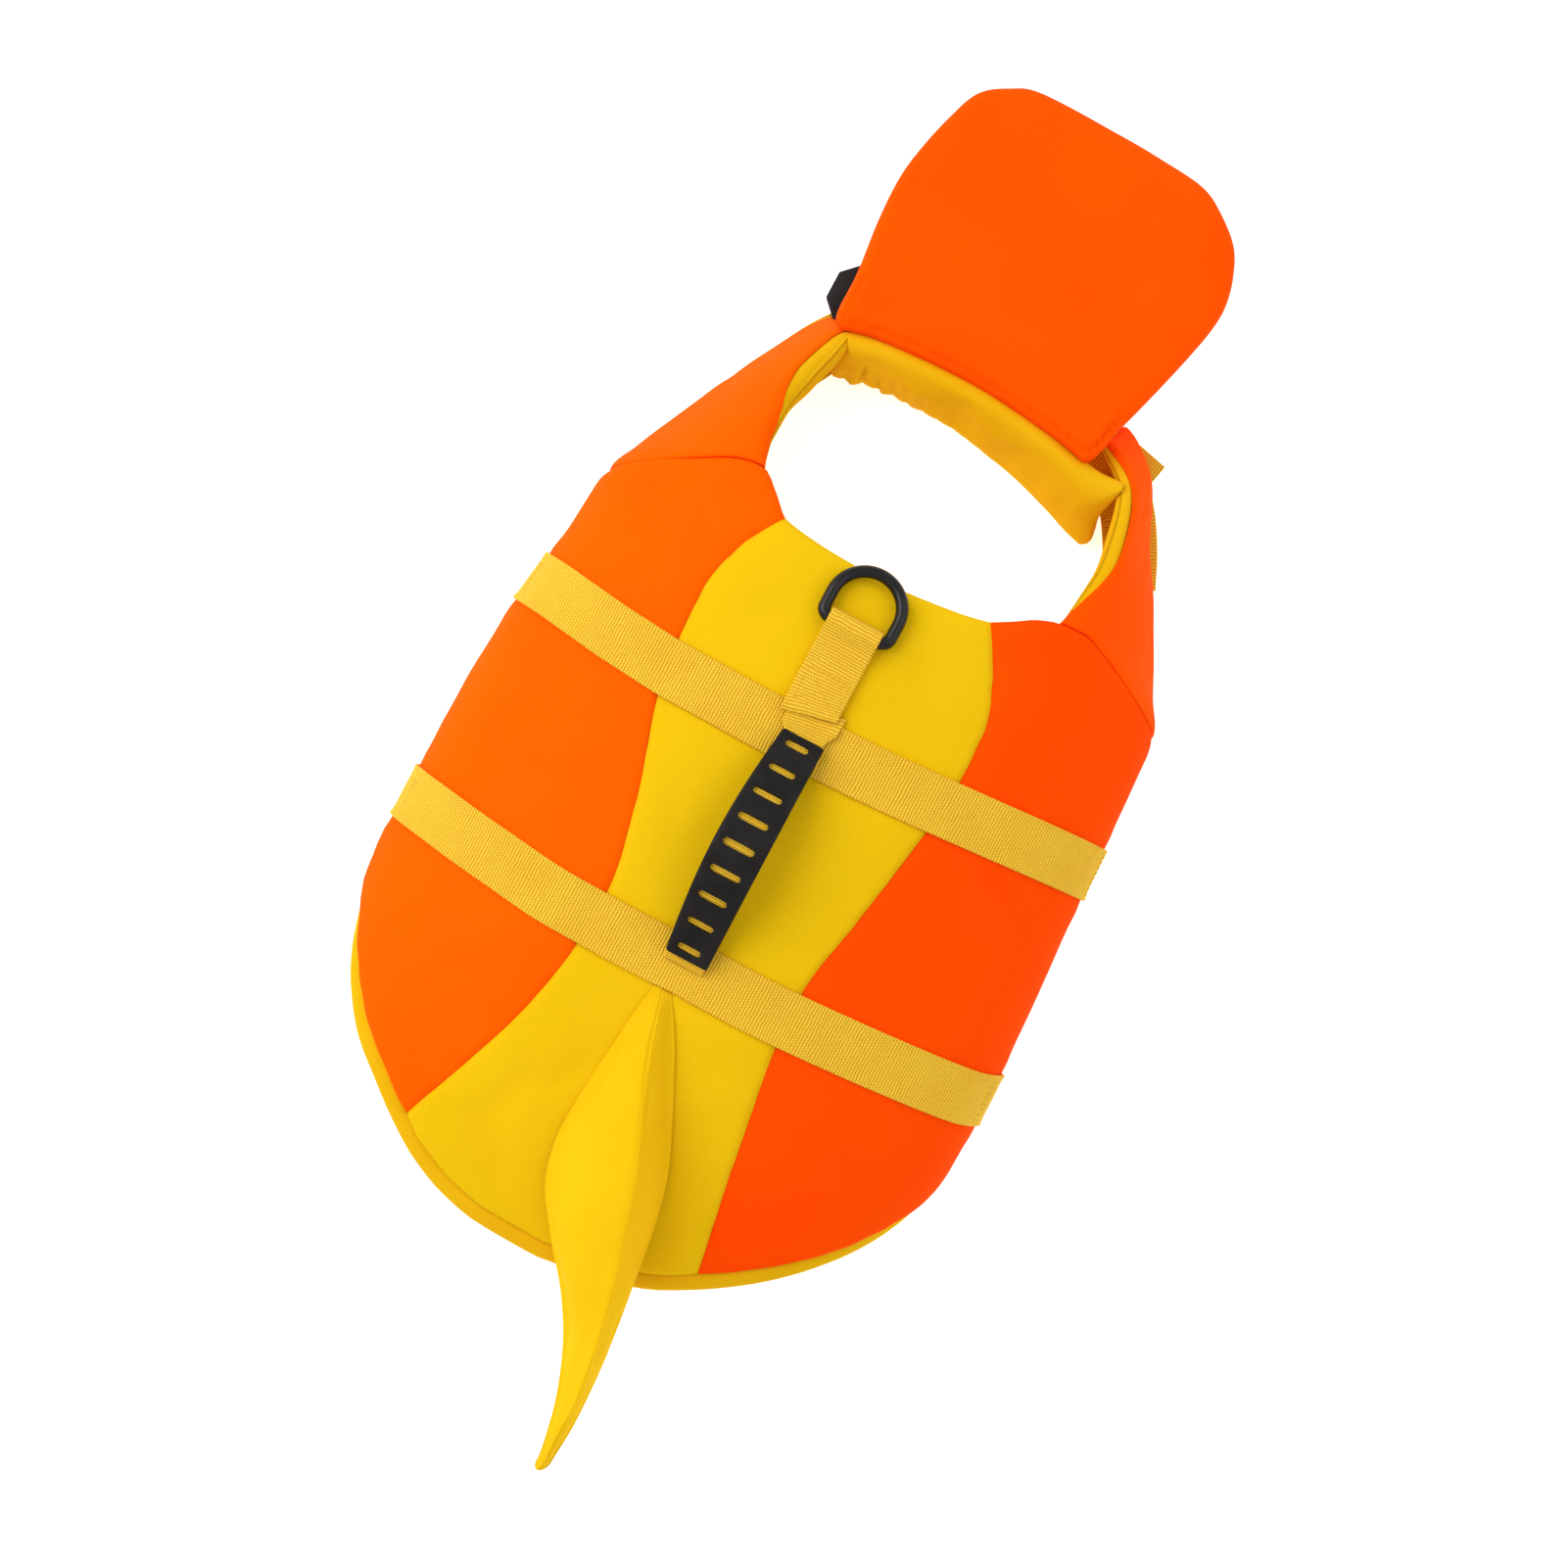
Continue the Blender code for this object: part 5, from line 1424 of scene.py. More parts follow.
# Lines of an arm's outer face, from the shoulder to the throat: its neck edge, its outer edge, how far the
# face bows out between them, and its thickness
ARM_COLUMNS = "along neck_x neck_y neck_z outer_x outer_y outer_z bow thick"
LEFT_ARM = Profile(
    ARM_COLUMNS,
    (0.28, -81.5, 178, 80, -127.5, 156, 31, 7, 11.5),
    (0.52, -82.8, 193, 69, -114.5, 184, 17, 6, 12),
    (0.76, -81.5, 210, 59, -101, 211.5, 6, 4.5, 14),
    (0.90, -78.5, 223, 53, -92, 229.5, 3.4, 3, 13),
    (1, -73.8, 237.5, 48.5, -83, 243.5, 2.9, 2, 9),
)
RIGHT_ARM = Profile(
    ARM_COLUMNS,
    (0.24, 80.8, 178, 80, 126, 162.5, 31, 6, 11.5),
    (0.44, 83.5, 194, 69, 111, 190, 17, 5, 11),
    (0.64, 81.5, 213, 58, 97, 215.5, 7.4, 3.5, 9.5),
    (0.82, 75, 233, 47, 84, 242.5, 5.4, 2.5, 8),
    (1, 56, 249.5, 31, 62, 262, 4.9, 1.5, 6.5),
)
# How far the lining shows beyond the cloth, in even steps along each arm
LEFT_LINING = (0.0, 0.0, 0.0, 0.0, 0.8, 3.5, 6.0, 6.0, 5.0)
RIGHT_LINING = (0.0, 0.0, 1.0, 2.6, 5.0, 7.0, 7.5, 4.0, 0.0)
# Folds over places across and along each arm
LEFT_ARM_FOLDS = laid(
    (6, 16, 40, 30, 0.5, 4.5, 2.0), (90, 60, 66, 84, 0.6, 4.0, 2.0), (20, 78, 44, 92, 0.6, 4.0, -2.0))
RIGHT_ARM_FOLDS = laid(
    (10, 6, 34, 24, 0.7, 4.5, -2.0), (84, 30, 60, 52, 0.6, 4.5, 2.0), (26, 70, 52, 88, 0.7, 4.0, 2.0))


@dataclass
class CollarArm:
    """One arm of the collar, from the shoulder fold round to the throat: a lined pad with cloth over it."""

    side: int
    table: Profile
    finish: Finish
    form: BodyForm
    # How far the lining shows beyond the cloth at the neck edge, from shoulder to throat
    lining_shows: tuple
    folds: tuple
    length: float = 105.0
    pitch: float = 2.6
    step: float = 0.35
    lines: int = 40
    flat: tuple = (0.104, 0.128)
    edge_steps: tuple = (0.0, 0.4, 1.0, 2.0, 3.4, 5.4, 8.0)
    cloth_steps: tuple = (0.0, 0.5, 1.2, 2.2, 3.6, 5.4)

    def build(self) -> list:
        """Makes the lining and the cloth.

        Returns:
            Both pieces.
        """
        across = spaced(ARM_WIDTH, self.edge_steps, self.edge_steps, self.pitch)
        along = spaced(self.length, self.edge_steps, self.edge_steps, self.pitch)
        lining = self.lining(across, along)
        return [lining, self.cloth(across, along, lining.name)]

    def lining(self, across: Array, along: Array) -> Object:
        """The lined pad, which gives a little under the cloth's folds.

        Args:
            across: Shares across the arm.
            along: Shares along it.

        Returns:
            The piece.
        """
        place, normal, thick, u, v, drop, relief = self.lay(across, along)
        upper = place + normal * (np.minimum(relief, 0.0) - AIR - drop)[..., None]
        under = 0.4 * drift(u, v, 40.0, 31 + self.side) * smooth(np.minimum(u, ARM_WIDTH - u) / 10.0)
        lower = place - normal * np.maximum(thick - drop - SEAM_GAP - under, drop)[..., None]
        obj = shell(f"arm_lining_{word_of(self.side)}", upper, lower, u, v)
        edge = np.minimum.reduce([u, ARM_WIDTH - u, v, self.length - v])
        Cushion(limit=1.5).inflate(obj, (upper, lower), (0 * u, smooth((edge - 4.0) / 8.0)))
        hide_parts(f"collar_lining_{word_of(self.side)}")
        return dress(obj, Finish.YELLOW_LINING)

    def cloth(self, across: Array, along: Array, under: str) -> Object:
        """The outer cloth, which leaves the lining bare along the neck edge and is pulled down there.

        Args:
            across: Shares across the arm.
            along: Shares along it.
            under: Name of the lining; not used.

        Returns:
            The piece.
        """
        shows = np.interp(along, np.linspace(0, 1, len(self.lining_shows)), self.lining_shows)[:, None]
        near = len(self.cloth_steps)
        bare = (shows + np.array(self.cloth_steps)) / ARM_WIDTH
        rest = mix(bare[:, -1:], 1.0, (across[near:] - across[near - 1]) / (1 - across[near - 1]))
        place, normal, _, u, v, drop, relief = self.lay(np.hstack([bare, rest]), along)
        sewn = smooth(shows / 1.5)
        pull = -sewn * (0.45 * hump(u - u[:, :1], 1.0) + 0.5 * hump(u - u[:, :1], 4.0))
        outer = place + normal * (relief + CLOTH_LIFT + CLOTH + pull - drop)[..., None]
        inner = place + normal * (relief + CLOTH_LIFT + 0.4 * np.maximum(pull, -0.6) - drop)[..., None]
        obj = shell(f"arm_cloth_{word_of(self.side)}", outer, inner, u, v)
        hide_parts(f"collar_arm_{word_of(self.side)}")
        sheet_piece(obj)
        return dress(obj, self.finish)

    def lay(self, across: Array, along: Array) -> tuple:
        """The pad's outer face on a grid of shares; its normals turn from the body's to the arm's own.

        Args:
            across: Shares across the arm, for all lines or for each.
            along: Shares along it.

        Returns:
            Places, normals, thickness, u and v over the face, the drop of its edges, and its relief.
        """
        across = np.broadcast_to(across, (len(along), across.shape[-1]))
        place = self.skin(across, along)
        girth = self.side * mix(NECK_GIRTH, SIDE_GIRTH, across)
        body = self.form.normal(girth, FRONT_EDGE.sided(np.abs(girth), girth))
        turn = np.minimum(1.0, along / 0.14)[:, None, None]
        normal = unit(mix(body, grid_normals(place) * self.side, turn))
        start = np.minimum(1.0, along / self.table.rows[0, 0])
        thick = mix(BODY_FOAM, self.table.at("thick", along), start)[:, None]
        u, v = across * ARM_WIDTH, np.broadcast_to(along[:, None] * self.length, across.shape)
        half, far_u, far_v = thick / 2, ARM_WIDTH - u, self.length - v
        shoulder = closing(v, self.form.fold_depth(NECK_GIRTH + u), 7.0)
        drop = np.maximum.reduce([closing(u, half), closing(far_u, half), shoulder, closing(far_v, half)])
        relief = self.relief(u, v) * smooth(np.minimum.reduce([u, far_u, far_v]) / 5.0)
        return place, normal, thick, u, v, drop, relief

    def skin(self, across: Array, along: Array) -> Array:
        """Places of the arm's outer face: lines along it from the body's edge, bowed out between its own.

        Args:
            across: Shares across the arm, a row for each share along.
            along: Shares along it.

        Returns:
            A place for each share.
        """
        bow_out = unit(np.array([self.side * 0.8, -0.1, 0.6]))
        lines = []
        for s in np.linspace(0, 1, self.lines + 1):
            girth = np.array(self.side * mix(NECK_GIRTH, SIDE_GIRTH, s))
            start = self.form.skin(girth, FRONT_EDGE.sided(np.abs(girth), girth))
            rows = [(0.0, *(start + np.array([0, self.step, 0])))]
            for row in self.table.rows:
                rows.append((row[0], *(mix(row[1:4], row[4:7], s) + bow_out * row[7] * 4 * s * (1 - s))))
            route = Profile("along x y z", *rows)
            lines.append(np.stack([route.at(c, along) for c in "xyz"], axis=-1))
        lines = np.stack(lines, axis=1)
        place = np.clip(across * self.lines, 0, self.lines - 0.001)
        i, k = place.astype(int), np.arange(len(along))[:, None]
        four = [lines[k, np.clip(i + n, 0, self.lines)] for n in (-1, 0, 1, 2)]
        return curve_step(*four, (place - i)[..., None])

    def relief(self, u: Array, v: Array) -> Array:
        """The slow swell of the pad and its creases."""
        swell = 0.45 * drift(u, v, 60.0, 41 + self.side) + 0.15 * drift(u, v, 26.0, 47 + self.side)
        return swell + sum(fold.height(u, v) for fold in self.folds)


# The throat band's upper and lower edge, and how far its lower edge leans out at the ends
THROAT = Profile(
    "x top_y bottom_y lean",
    (-70.6, 234, 221, -3), (-45, 237.6, 227, 0), (-10, 239, 226.8, 0), (12, 237.6, 222.2, 0),
    (30, 235.5, 218.2, 0), (50, 231.5, 211.8, 0), (71.4, 228.5, 202.5, 1))


# Outline of the chin float, from the left end of its rear seam, seen from above
CHIN_FLOAT = (
    (-78.6, 236.6), (-60, 238.6), (-30, 240.8), (0, 240.6), (30, 237.4), (44, 235), (51.6, 233.4),
    (54.6, 237.6), (56.4, 243), (57.6, 249.6), (59.4, 256.4), (62.6, 267), (67, 282.5), (72, 301.5),
    (75.6, 318), (76.4, 331), (73.6, 344.5), (67, 358), (54.5, 369), (41, 376), (18, 378.4), (-5, 379.4),
    (-45, 379.5), (-60, 374.4), (-72, 365.4), (-78.4, 349.5), (-83, 331), (-85.3, 313), (-84.4, 290),
    (-81, 262))


# Height of the middle of the chin float's thickness, from its seam down to what it rests on
FLOAT_HEIGHT = Profile(
    "y middle", (233, 48.8), (262, 39.5), (295, 26.0), (325, 14.5), (350, 10.0), (383, 10.0))


@dataclass
class ThroatPad:
    """The padded band across the throat, gathered where it is sewn to the left arm."""

    top: float = 48.0
    bottom: float = 4.5
    height: float = 45.0
    thick: float = 17.0
    reach: float = 14.0
    pitch: float = 1.5
    edge_steps: tuple = (0.0, 0.5, 1.3, 2.6, 4.5, 7.0, 10.0)
    gather_pitch: float = 7.6
    gather_reach: float = 42.0

    def middle(self, s: Array, t: Array, u: Array) -> tuple:
        """The middle of the band's thickness, ruffled at its sewn end and eared at its free one.

        Args:
            s: Shares along the band.
            t: Shares down it.
            u: Distances along it.

        Returns:
            Places, and normals that point to the dog.
        """
        x = mix(THROAT.keys[0], THROAT.keys[-1], s)
        top = np.stack([x, THROAT.at("top_y", x), np.full_like(x, self.top)], -1)
        low = np.stack([x + THROAT.at("lean", x), THROAT.at("bottom_y", x), np.full_like(x, self.bottom)], -1)
        middle = mix(top, low, t[..., None])
        free_end, sewn_end = smooth((s - 0.86) / 0.14), np.exp(-u / 16.0)
        ear = 1.4 * hump(t, 0.16) - 2.2 * hump(t - 0.46, 0.22) - 2.4 * hump(t - 1, 0.07)
        middle[..., 0] += free_end * ear
        middle[..., 1] += free_end**2 * (3.0 * hump(t, 0.16) + 2.2 * hump(t - 1, 0.12))
        middle[..., 1] += sewn_end * 1.3 * np.sin(u / 2.3) * smooth((t - 0.5) / 0.4)
        slope = (THROAT.at("top_y", x + 2) - THROAT.at("top_y", x - 2)) / 4
        along = unit(np.stack([np.ones_like(x), slope, np.zeros_like(x)], -1))
        return middle, unit(np.cross(along, low - top))

    def build(self) -> Object:
        """Makes the pad.

        Returns:
            The piece.
        """
        length = THROAT.keys[-1] - THROAT.keys[0]
        sizes = (length, self.height)
        shares = (spaced(size, self.edge_steps, self.edge_steps, self.pitch) for size in sizes)
        s, t = np.meshgrid(*shares)
        u, v = s * length, t * self.height
        middle, normal = self.middle(s, t, u)
        edge = np.minimum.reduce([v, self.height - v, u, length - u])
        half = self.thick / 2 - closing(edge, self.thick / 2, self.reach)
        sway = 0.45 * np.sin(v / 11.0) + 0.8 * np.sin(u / 19.0)
        ripple = np.abs(np.sin(math.pi * u / self.gather_pitch + sway))
        depth = (2.6 + 1.2 * drift(u, v, 15.0, 66)) * hump(u, self.gather_reach)
        gathers = (0.5 - (1 - ripple) ** 1.8) * depth * smooth(edge / 3.0) * smooth((v - 8.0) / 14.0)
        swell = (0.7 * drift(u, v, 52.0, 61) + 0.3 * drift(u, v, 23.0, 62)) * smooth(edge / 8.0)
        back = 0.6 * drift(u, v, 48.0, 65) * smooth(edge / 8.0) + gathers * 0.6
        outer = middle - normal * (half + gathers + swell)[..., None]
        inner = middle + normal * (half + back)[..., None]
        obj = shell("throat_band", outer, inner, u, v)
        free = smooth((edge - 1.0) / 8.0)
        Cushion().inflate(obj, (outer, inner), (free, free))
        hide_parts("throat_pad")
        return dress(obj, Finish.YELLOW_LINING)


@dataclass
class ChinFloat:
    """The padded flap under the chin: two faces sewn round the edge, hanging from its rear seam."""

    thick: float = 20.0
    reach: float = 12.0
    steps: int = 7
    insets: tuple = (
        0.25, 0.8, 1.6, 2.6, 3.6, 4.8, 6.4, 8.5, 11.0, 14.0, 17.5, 21.5, 26.0, 31.0, 37.0, 44.0, 52.0, 61.0)
    seam_inset: float = 3.8
    seam_depth: float = 1.9
    seam_to_y: float = 262.0

    def ring(self, outline: Array, inset: float, sign: int) -> tuple:
        """Points of one face at a distance in from the outline.

        Args:
            outline: The flap's outline in plan.
            inset: Distance in from it.
            sign: 1 for the upper face and -1 for the lower one.

        Returns:
            The points, their places on the flat cloth, and their share of the cloth's movement.
        """
        spokes = outline.mean(axis=0) - outline
        share = inset / np.linalg.norm(spokes, axis=1)
        if inset > 50:
            # The innermost rings stay clear of the middle where the flap is narrow
            share = np.minimum(share, 0.88 * inset / (inset + 6.0))
        q = outline + spokes * share[:, None]
        away = distance_to(q, outline)
        rear = smooth((self.seam_to_y - outline[:, 1]) / 8.0)
        half = self.thick / 2 - closing(away, self.thick / 2, self.reach)
        pucker = 1 + 0.3 * wavy(np.arange(len(outline)) * 3.0, 2.2, 1.5, 17.0)
        seam = -self.seam_depth * pucker * rear * hump(away - self.seam_inset, 0.9) * (sign > 0)
        swell = 0.6 * drift(q[:, 0], q[:, 1], 70.0, 71 + sign) + 0.25 * drift(q[:, 0], q[:, 1], 30.0, 73)
        z = FLOAT_HEIGHT.at("middle", q[:, 1]) + sign * half + seam + swell * smooth(inset / 9.0) * sign
        return np.column_stack([q, np.maximum(z, 0.0)]), q, smooth((away - 0.6 - 4.0 * rear) / 7.0)

    def build(self) -> Object:
        """Makes the flap.

        Returns:
            The piece.
        """
        outline = through(CHIN_FLOAT, self.steps, closed=True)
        middle, count, levels = outline.mean(axis=0), len(outline), len(self.insets)
        rings, faces = [self.ring(outline, 0.0, 1)], []
        for sign in (1, -1):
            first = count if sign > 0 else count + levels * count + 1
            rows = [0, *(first + k * count for k in range(levels))]
            pairs = [(i, (i + 1) % count) for i in range(count)]
            quads = [[a + i, a + j, b + j, b + i] for a, b in zip(rows, rows[1:]) for i, j in pairs]
            hub = first + levels * count
            faces += [quad[::sign] for quad in quads] + [[rows[-1] + i, rows[-1] + j, hub] for i, j in pairs]
            rings += [self.ring(outline, inset, sign) for inset in self.insets]
            z = FLOAT_HEIGHT.at("middle", middle[1]) + sign * self.thick / 2
            rings.append((np.array([[*middle, z]]), middle[None], np.ones(1)))
        points, uv, free = zip(*rings)
        obj = mesh_object("chin_flap", np.vstack(points), faces, np.vstack(uv) * MM)
        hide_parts("chin_float")
        Cushion(limit=1.8).inflate(obj, points, free)
        return dress(obj, Finish.ORANGE_FLOAT)


# ---- webbing


# Routes of the neck strap's stretches: plan points and heights of the underside
NECK_ROUTES = {
    "left": ((-95.0, 196.0, 5.0), (-87.5, 214.5, 1.8), (-78.0, 231.5, 0.0), (-66.0, 246.0, 0.0)),
    "right": ((98.0, 195.0, 8.6), (90.5, 211.5, 4.8), (80.5, 227.5, 2.4), (68.0, 240.0, 1.9)),
    "cross": (
        (-55.2, 255.5, 5.1), (-50.0, 255.5, 5.1), (-44.0, 255.4, 4.9), (-34.0, 255.2, 2.0),
        (-24.0, 255.0, 0.0), (10.0, 254.0, 0.0), (45.0, 250.0, 0.0), (84.0, 241.5, 0.0)),
}


def ribbon(name: str, outer: Array, inner: Array, run: Array, offsets: Array) -> Object:
    """Webbing between two grids whose rows cross it, with its length along the flat cloth's u."""
    return shell(name, outer, inner, *np.broadcast_arrays(run[:, None], offsets[None]))


@dataclass
class GirthStrap:
    """A strap sewn over the back, round both sides and under the belly to its buckle."""

    name: str
    node: str
    start: float
    form: BodyForm
    # Distance from the middle and height of the underside, from the belly edge to the buckle's bar
    under: tuple = (
        (66.0, 0.0), (55.0, 0.0), (44.0, 0.0), (38.0, 0.2), (33.0, 0.6), (29.0, 1.5), (26.0, 2.6),
        (22.0, 3.2), (14.0, 3.2))
    last_girth: float = 254.0
    pitch: float = 2.4
    # Shares of the width at which lines run along the strap
    shares: tuple = (-0.5, -0.485, -0.46, -0.42, -0.3, -0.15, 0.0, 0.15, 0.3, 0.42, 0.46, 0.485, 0.5)

    def surface(self, girth: Array, offset: Array, lift: float) -> Array:
        """Places on the strap where it lies on the body, and follows half of the cloth's relief.

        Args:
            girth: Places round the body.
            offset: Distances from the strap's middle.
            lift: Height over the foam.

        Returns:
            A place for each girth and offset.
        """
        y = self.form.strap_middle(self.start, girth) + offset
        away = np.abs(offset) / (WEBBING_WIDTH / 2)
        relief = self.form.swell(girth, y) + np.maximum(0.5 * self.form.pulls(girth, y), -0.5)
        relief = relief + 0.10 * drift(girth, offset, 21.0, int(90 + self.start)) * smooth(away)
        held = smooth((self.last_girth - np.abs(girth)) / 14.0)
        crown = 0.12 * (1 - away)
        height = lift + relief * held + crown
        return self.form.skin(girth, y) + self.form.normal(girth, y) * height[..., None]

    def build(self) -> Object:
        """Makes the strap.

        Returns:
            The piece.
        """
        offsets = WEBBING_WIDTH * np.array(self.shares)
        girths = np.linspace(-self.last_girth, self.last_girth, round(2 * self.last_girth / self.pitch))
        girth, offset = np.meshgrid(girths, offsets, indexing="ij")
        y = self.start + self.form.strap_rise + offsets
        faces = []
        for on_body, on_floor in ((STRAP_LIFT + WEBBING, 0.0), (STRAP_LIFT, WEBBING)):
            left, right = (np.stack([
                np.column_stack([np.full_like(y, side * x), y, np.full_like(y, z + on_floor)])
                for x, z in self.under]) for side in (-1, 1))
            faces.append(np.vstack([left[::-1], self.surface(girth, offset, on_body), right]))
        outer, inner = faces
        outer[..., 2] = np.maximum(outer[..., 2], 0.0)
        obj = ribbon(self.name, outer, inner, along_line(outer[:, len(offsets) // 2]), offsets)
        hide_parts(self.node)
        return dress(obj, Finish.WEBBING)

    def cross_row(self, girth: float) -> tuple:
        """A line across the strap, for a row of stitches.

        Args:
            girth: Where it crosses.

        Returns:
            The line's points and its outward normals.
        """
        offset = np.linspace(-10.5, 10.5, 12)
        g = np.full_like(offset, girth)
        y = self.form.strap_middle(self.start, g) + offset
        return self.surface(g, offset, STRAP_LIFT + WEBBING), self.form.normal(g, y)


@dataclass
class FlatStrap:
    """Webbing that lies flat along a route of plan points and heights of its underside."""

    name: str
    node: str
    route: tuple

    def build(self) -> Object:
        """Makes the strap.

        Returns:
            The piece.
        """
        line = through(self.route, 8)
        line[:, 2] = np.maximum(line[:, 2], 0.0)
        ahead = np.gradient(line[:, :2], axis=0)
        side = unit(np.column_stack([-ahead[:, 1], ahead[:, 0], np.zeros(len(line))]))
        offsets = WEBBING_WIDTH * TAPE_SHARES
        lower = line[:, None] + side[:, None] * offsets[None, :, None]
        obj = ribbon(self.name, lower + np.array([0.0, 0.0, WEBBING]), lower, along_line(line), offsets)
        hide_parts(self.node)
        return dress(obj, Finish.WEBBING)


def strip(name: str, node: str, line: Array, slant: tuple, bulge: tuple = (0, 0, 0, 1)) -> Object:
    """Webbing along rows of x, y, z and width of its middle layer, level across.

    Args:
        name: The piece's name.
        node: The CAD node that it stands for.
        line: The rows.
        slant: How much further along y the right edge ends than the left, at the first and the last row.
        bulge: Plan place, height and half width of a spot where the webbing stands up.

    Returns:
        The piece.
    """
    ahead = unit(np.gradient(line[:, 1:3], axis=0))
    up = np.column_stack([np.zeros(len(line)), -ahead[:, 1], ahead[:, 0]]) * WEBBING / 2
    run = along_line(line[:, :3])
    near_first, near_last = (np.clip(1 - way / 22.0, 0, 1) for way in (run, run[-1] - run))
    shift = (slant[0] * near_first + slant[1] * near_last)[:, None] * TAPE_SHARES[None]
    beside = np.broadcast_arrays(line[:, 3:4] * TAPE_SHARES[None], shift, 0.0)
    centre = line[:, None, :3] + np.stack(beside, axis=-1)
    # A slanted edge keeps to the slope, except where the webbing stands nearly upright
    level = np.where(np.abs(ahead[:, 0]) < 0.2, 1e9, ahead[:, 0])
    centre[..., 2] += shift * (ahead[:, 1] / level)[:, None]
    x, y, height, width = bulge
    centre[..., 2] += height * hump(centre[..., 0] - x, width) * hump(centre[..., 1] - y, width)
    obj = ribbon(name, centre + up[:, None], centre - up[:, None], run, TAPE_SHARES * WEBBING_WIDTH)
    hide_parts(node)
    return dress(obj, Finish.WEBBING)


@dataclass
class LeadRing:
    """The D ring: a bent and welded wire, lying forward from its tab."""

    x: float = -5.5
    bar_y: float = 114.5
    bar_z: float = 109.473
    wire: float = 5.8
    radius: float = 16.4
    side: float = 11.2
    corner: float = 4.0
    droop: float = math.radians(11.0)
    bow_points: int = 49
    corner_points: int = 10
    bar_pitch: float = 4.0
    bar_points: int = 5

    def path(self) -> Array:
        """The wire's middle line: a corner, the bow, the other corner, and back along the bar.

        Returns:
            Points in the ring's own plane.
        """
        r, c, few, many = self.radius, self.corner, self.corner_points, self.bow_points
        turns = ((-r + c, c, c, -90, -180, few), (0, self.side, r, 180, 0, many), (r - c, c, c, 0, -90, few))
        points = []
        for x, y, reach, first, last, count in turns:
            for a in np.radians(np.linspace(first, last, count)):
                points.append((x + reach * math.cos(a), y + reach * math.sin(a)))
        return np.array(points + [(r - c - self.bar_pitch * (k + 1), 0.0) for k in range(self.bar_points)])

    def build(self) -> Object:
        """Makes the ring from a bevelled curve.

        Returns:
            The piece.
        """
        x, y = self.path().T
        lean_y, lean_z = math.cos(self.droop), math.sin(self.droop)
        line = np.column_stack([self.x + x, self.bar_y + y * lean_y, self.bar_z - y * lean_z])
        curve = bpy.data.curves.new("d_ring", "CURVE")
        curve.dimensions = "3D"
        spline = curve.splines.new("POLY")
        spline.points.add(len(line) - 1)
        for point, place in zip(spline.points, (line - DRAWING_SHIFT) * MM):
            point.co = (*place, 1.0)
        spline.use_cyclic_u = True
        curve.bevel_depth, curve.bevel_resolution = self.wire / 2 * MM, 7
        only(link(bpy.data.objects.new("d_ring", curve)))
        bpy.ops.object.convert(target="MESH")
        obj = bpy.context.view_layer.objects.active
        bpy.ops.object.shade_smooth()
        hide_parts("lead_ring")
        return dress(obj, Finish.STEEL, RING)


@dataclass
class RingTab:
    """The tab that holds the ring: one layer on the back, a turn round the bar, and one layer over both."""

    ring: LeadRing
    play: float = 0.5
    start: float = 77.5
    end: float = 71.4
    end_slant: float = 5.8
    # Where the turn round the bar ends, and how far the upper layer stands off behind it and at its end
    turn_end: float = 0.58 * math.pi
    arch: float = 1.6
    step_up: float = WEBBING + 0.5

    def build(self, seat: Seat) -> Object:
        """Makes the tab.

        Args:
            seat: The top of the cloth.

        Returns:
            The piece.
        """
        ring, x = self.ring, self.ring.x
        radius = ring.wire / 2 + self.play + WEBBING / 2
        ys = np.linspace(self.start, ring.bar_y - 1.5, 15)
        low = seat.heights(x, ys, 6) + SEAM_GAP + WEBBING / 2
        low += (ring.bar_z - radius - low[-1]) * smooth((ys - ys[-1] + 14) / 14)
        line = list(zip(ys, low))
        for a in np.linspace(-math.pi / 2, self.turn_end, 26)[1:]:
            line.append((ring.bar_y + radius * math.cos(a), ring.bar_z + radius * math.sin(a)))
        lift = WEBBING + 2 * SEAM_GAP + WEBBING / 2
        ys = np.linspace(ring.bar_y - 6.0, self.end, 26)
        top = seat.heights(x, ys, 8) + lift + self.arch * smooth((ys - ring.bar_y + 13) / 7)
        top += self.step_up * smooth((self.end + 7.5 - ys) / 6)
        line += list(zip(ys, top))
        rows = np.array([(x, y, z, WEBBING_WIDTH) for y, z in line])
        return strip("ring_tab_web", "ring_tab", rows, (self.end_slant, self.end_slant))


# ---- handle and buckles


def block(name: str, centre: Sequence[float], size: Sequence[float]) -> Object:
    """A box of that size round its middle, both in millimetres."""
    bpy.ops.mesh.primitive_cube_add(size=1.0, location=[c * MM for c in centre], scale=[s * MM for s in size])
    return settle(name)


def rod(name: str, centre: Sequence[float], radius: float, height: float, sides: int) -> Object:
    """An upright cylinder.

    Args:
        name: Its name.
        centre: Its middle, in millimetres.
        radius: How far its corners lie from its axis.
        height: Its height.
        sides: How many sides it has.

    Returns:
        The cylinder.
    """
    size = {"radius": radius * MM, "depth": height * MM}
    bpy.ops.mesh.primitive_cylinder_add(vertices=sides, location=[c * MM for c in centre], **size)
    return settle(name)


def settle(name: str) -> Object:
    """Names the new primitive and moves its place and size into its mesh.

    Args:
        name: The name.

    Returns:
        The primitive.
    """
    obj = bpy.context.view_layer.objects.active
    obj.name = obj.data.name = name
    bpy.ops.object.transform_apply(location=True, rotation=True, scale=True)
    return obj


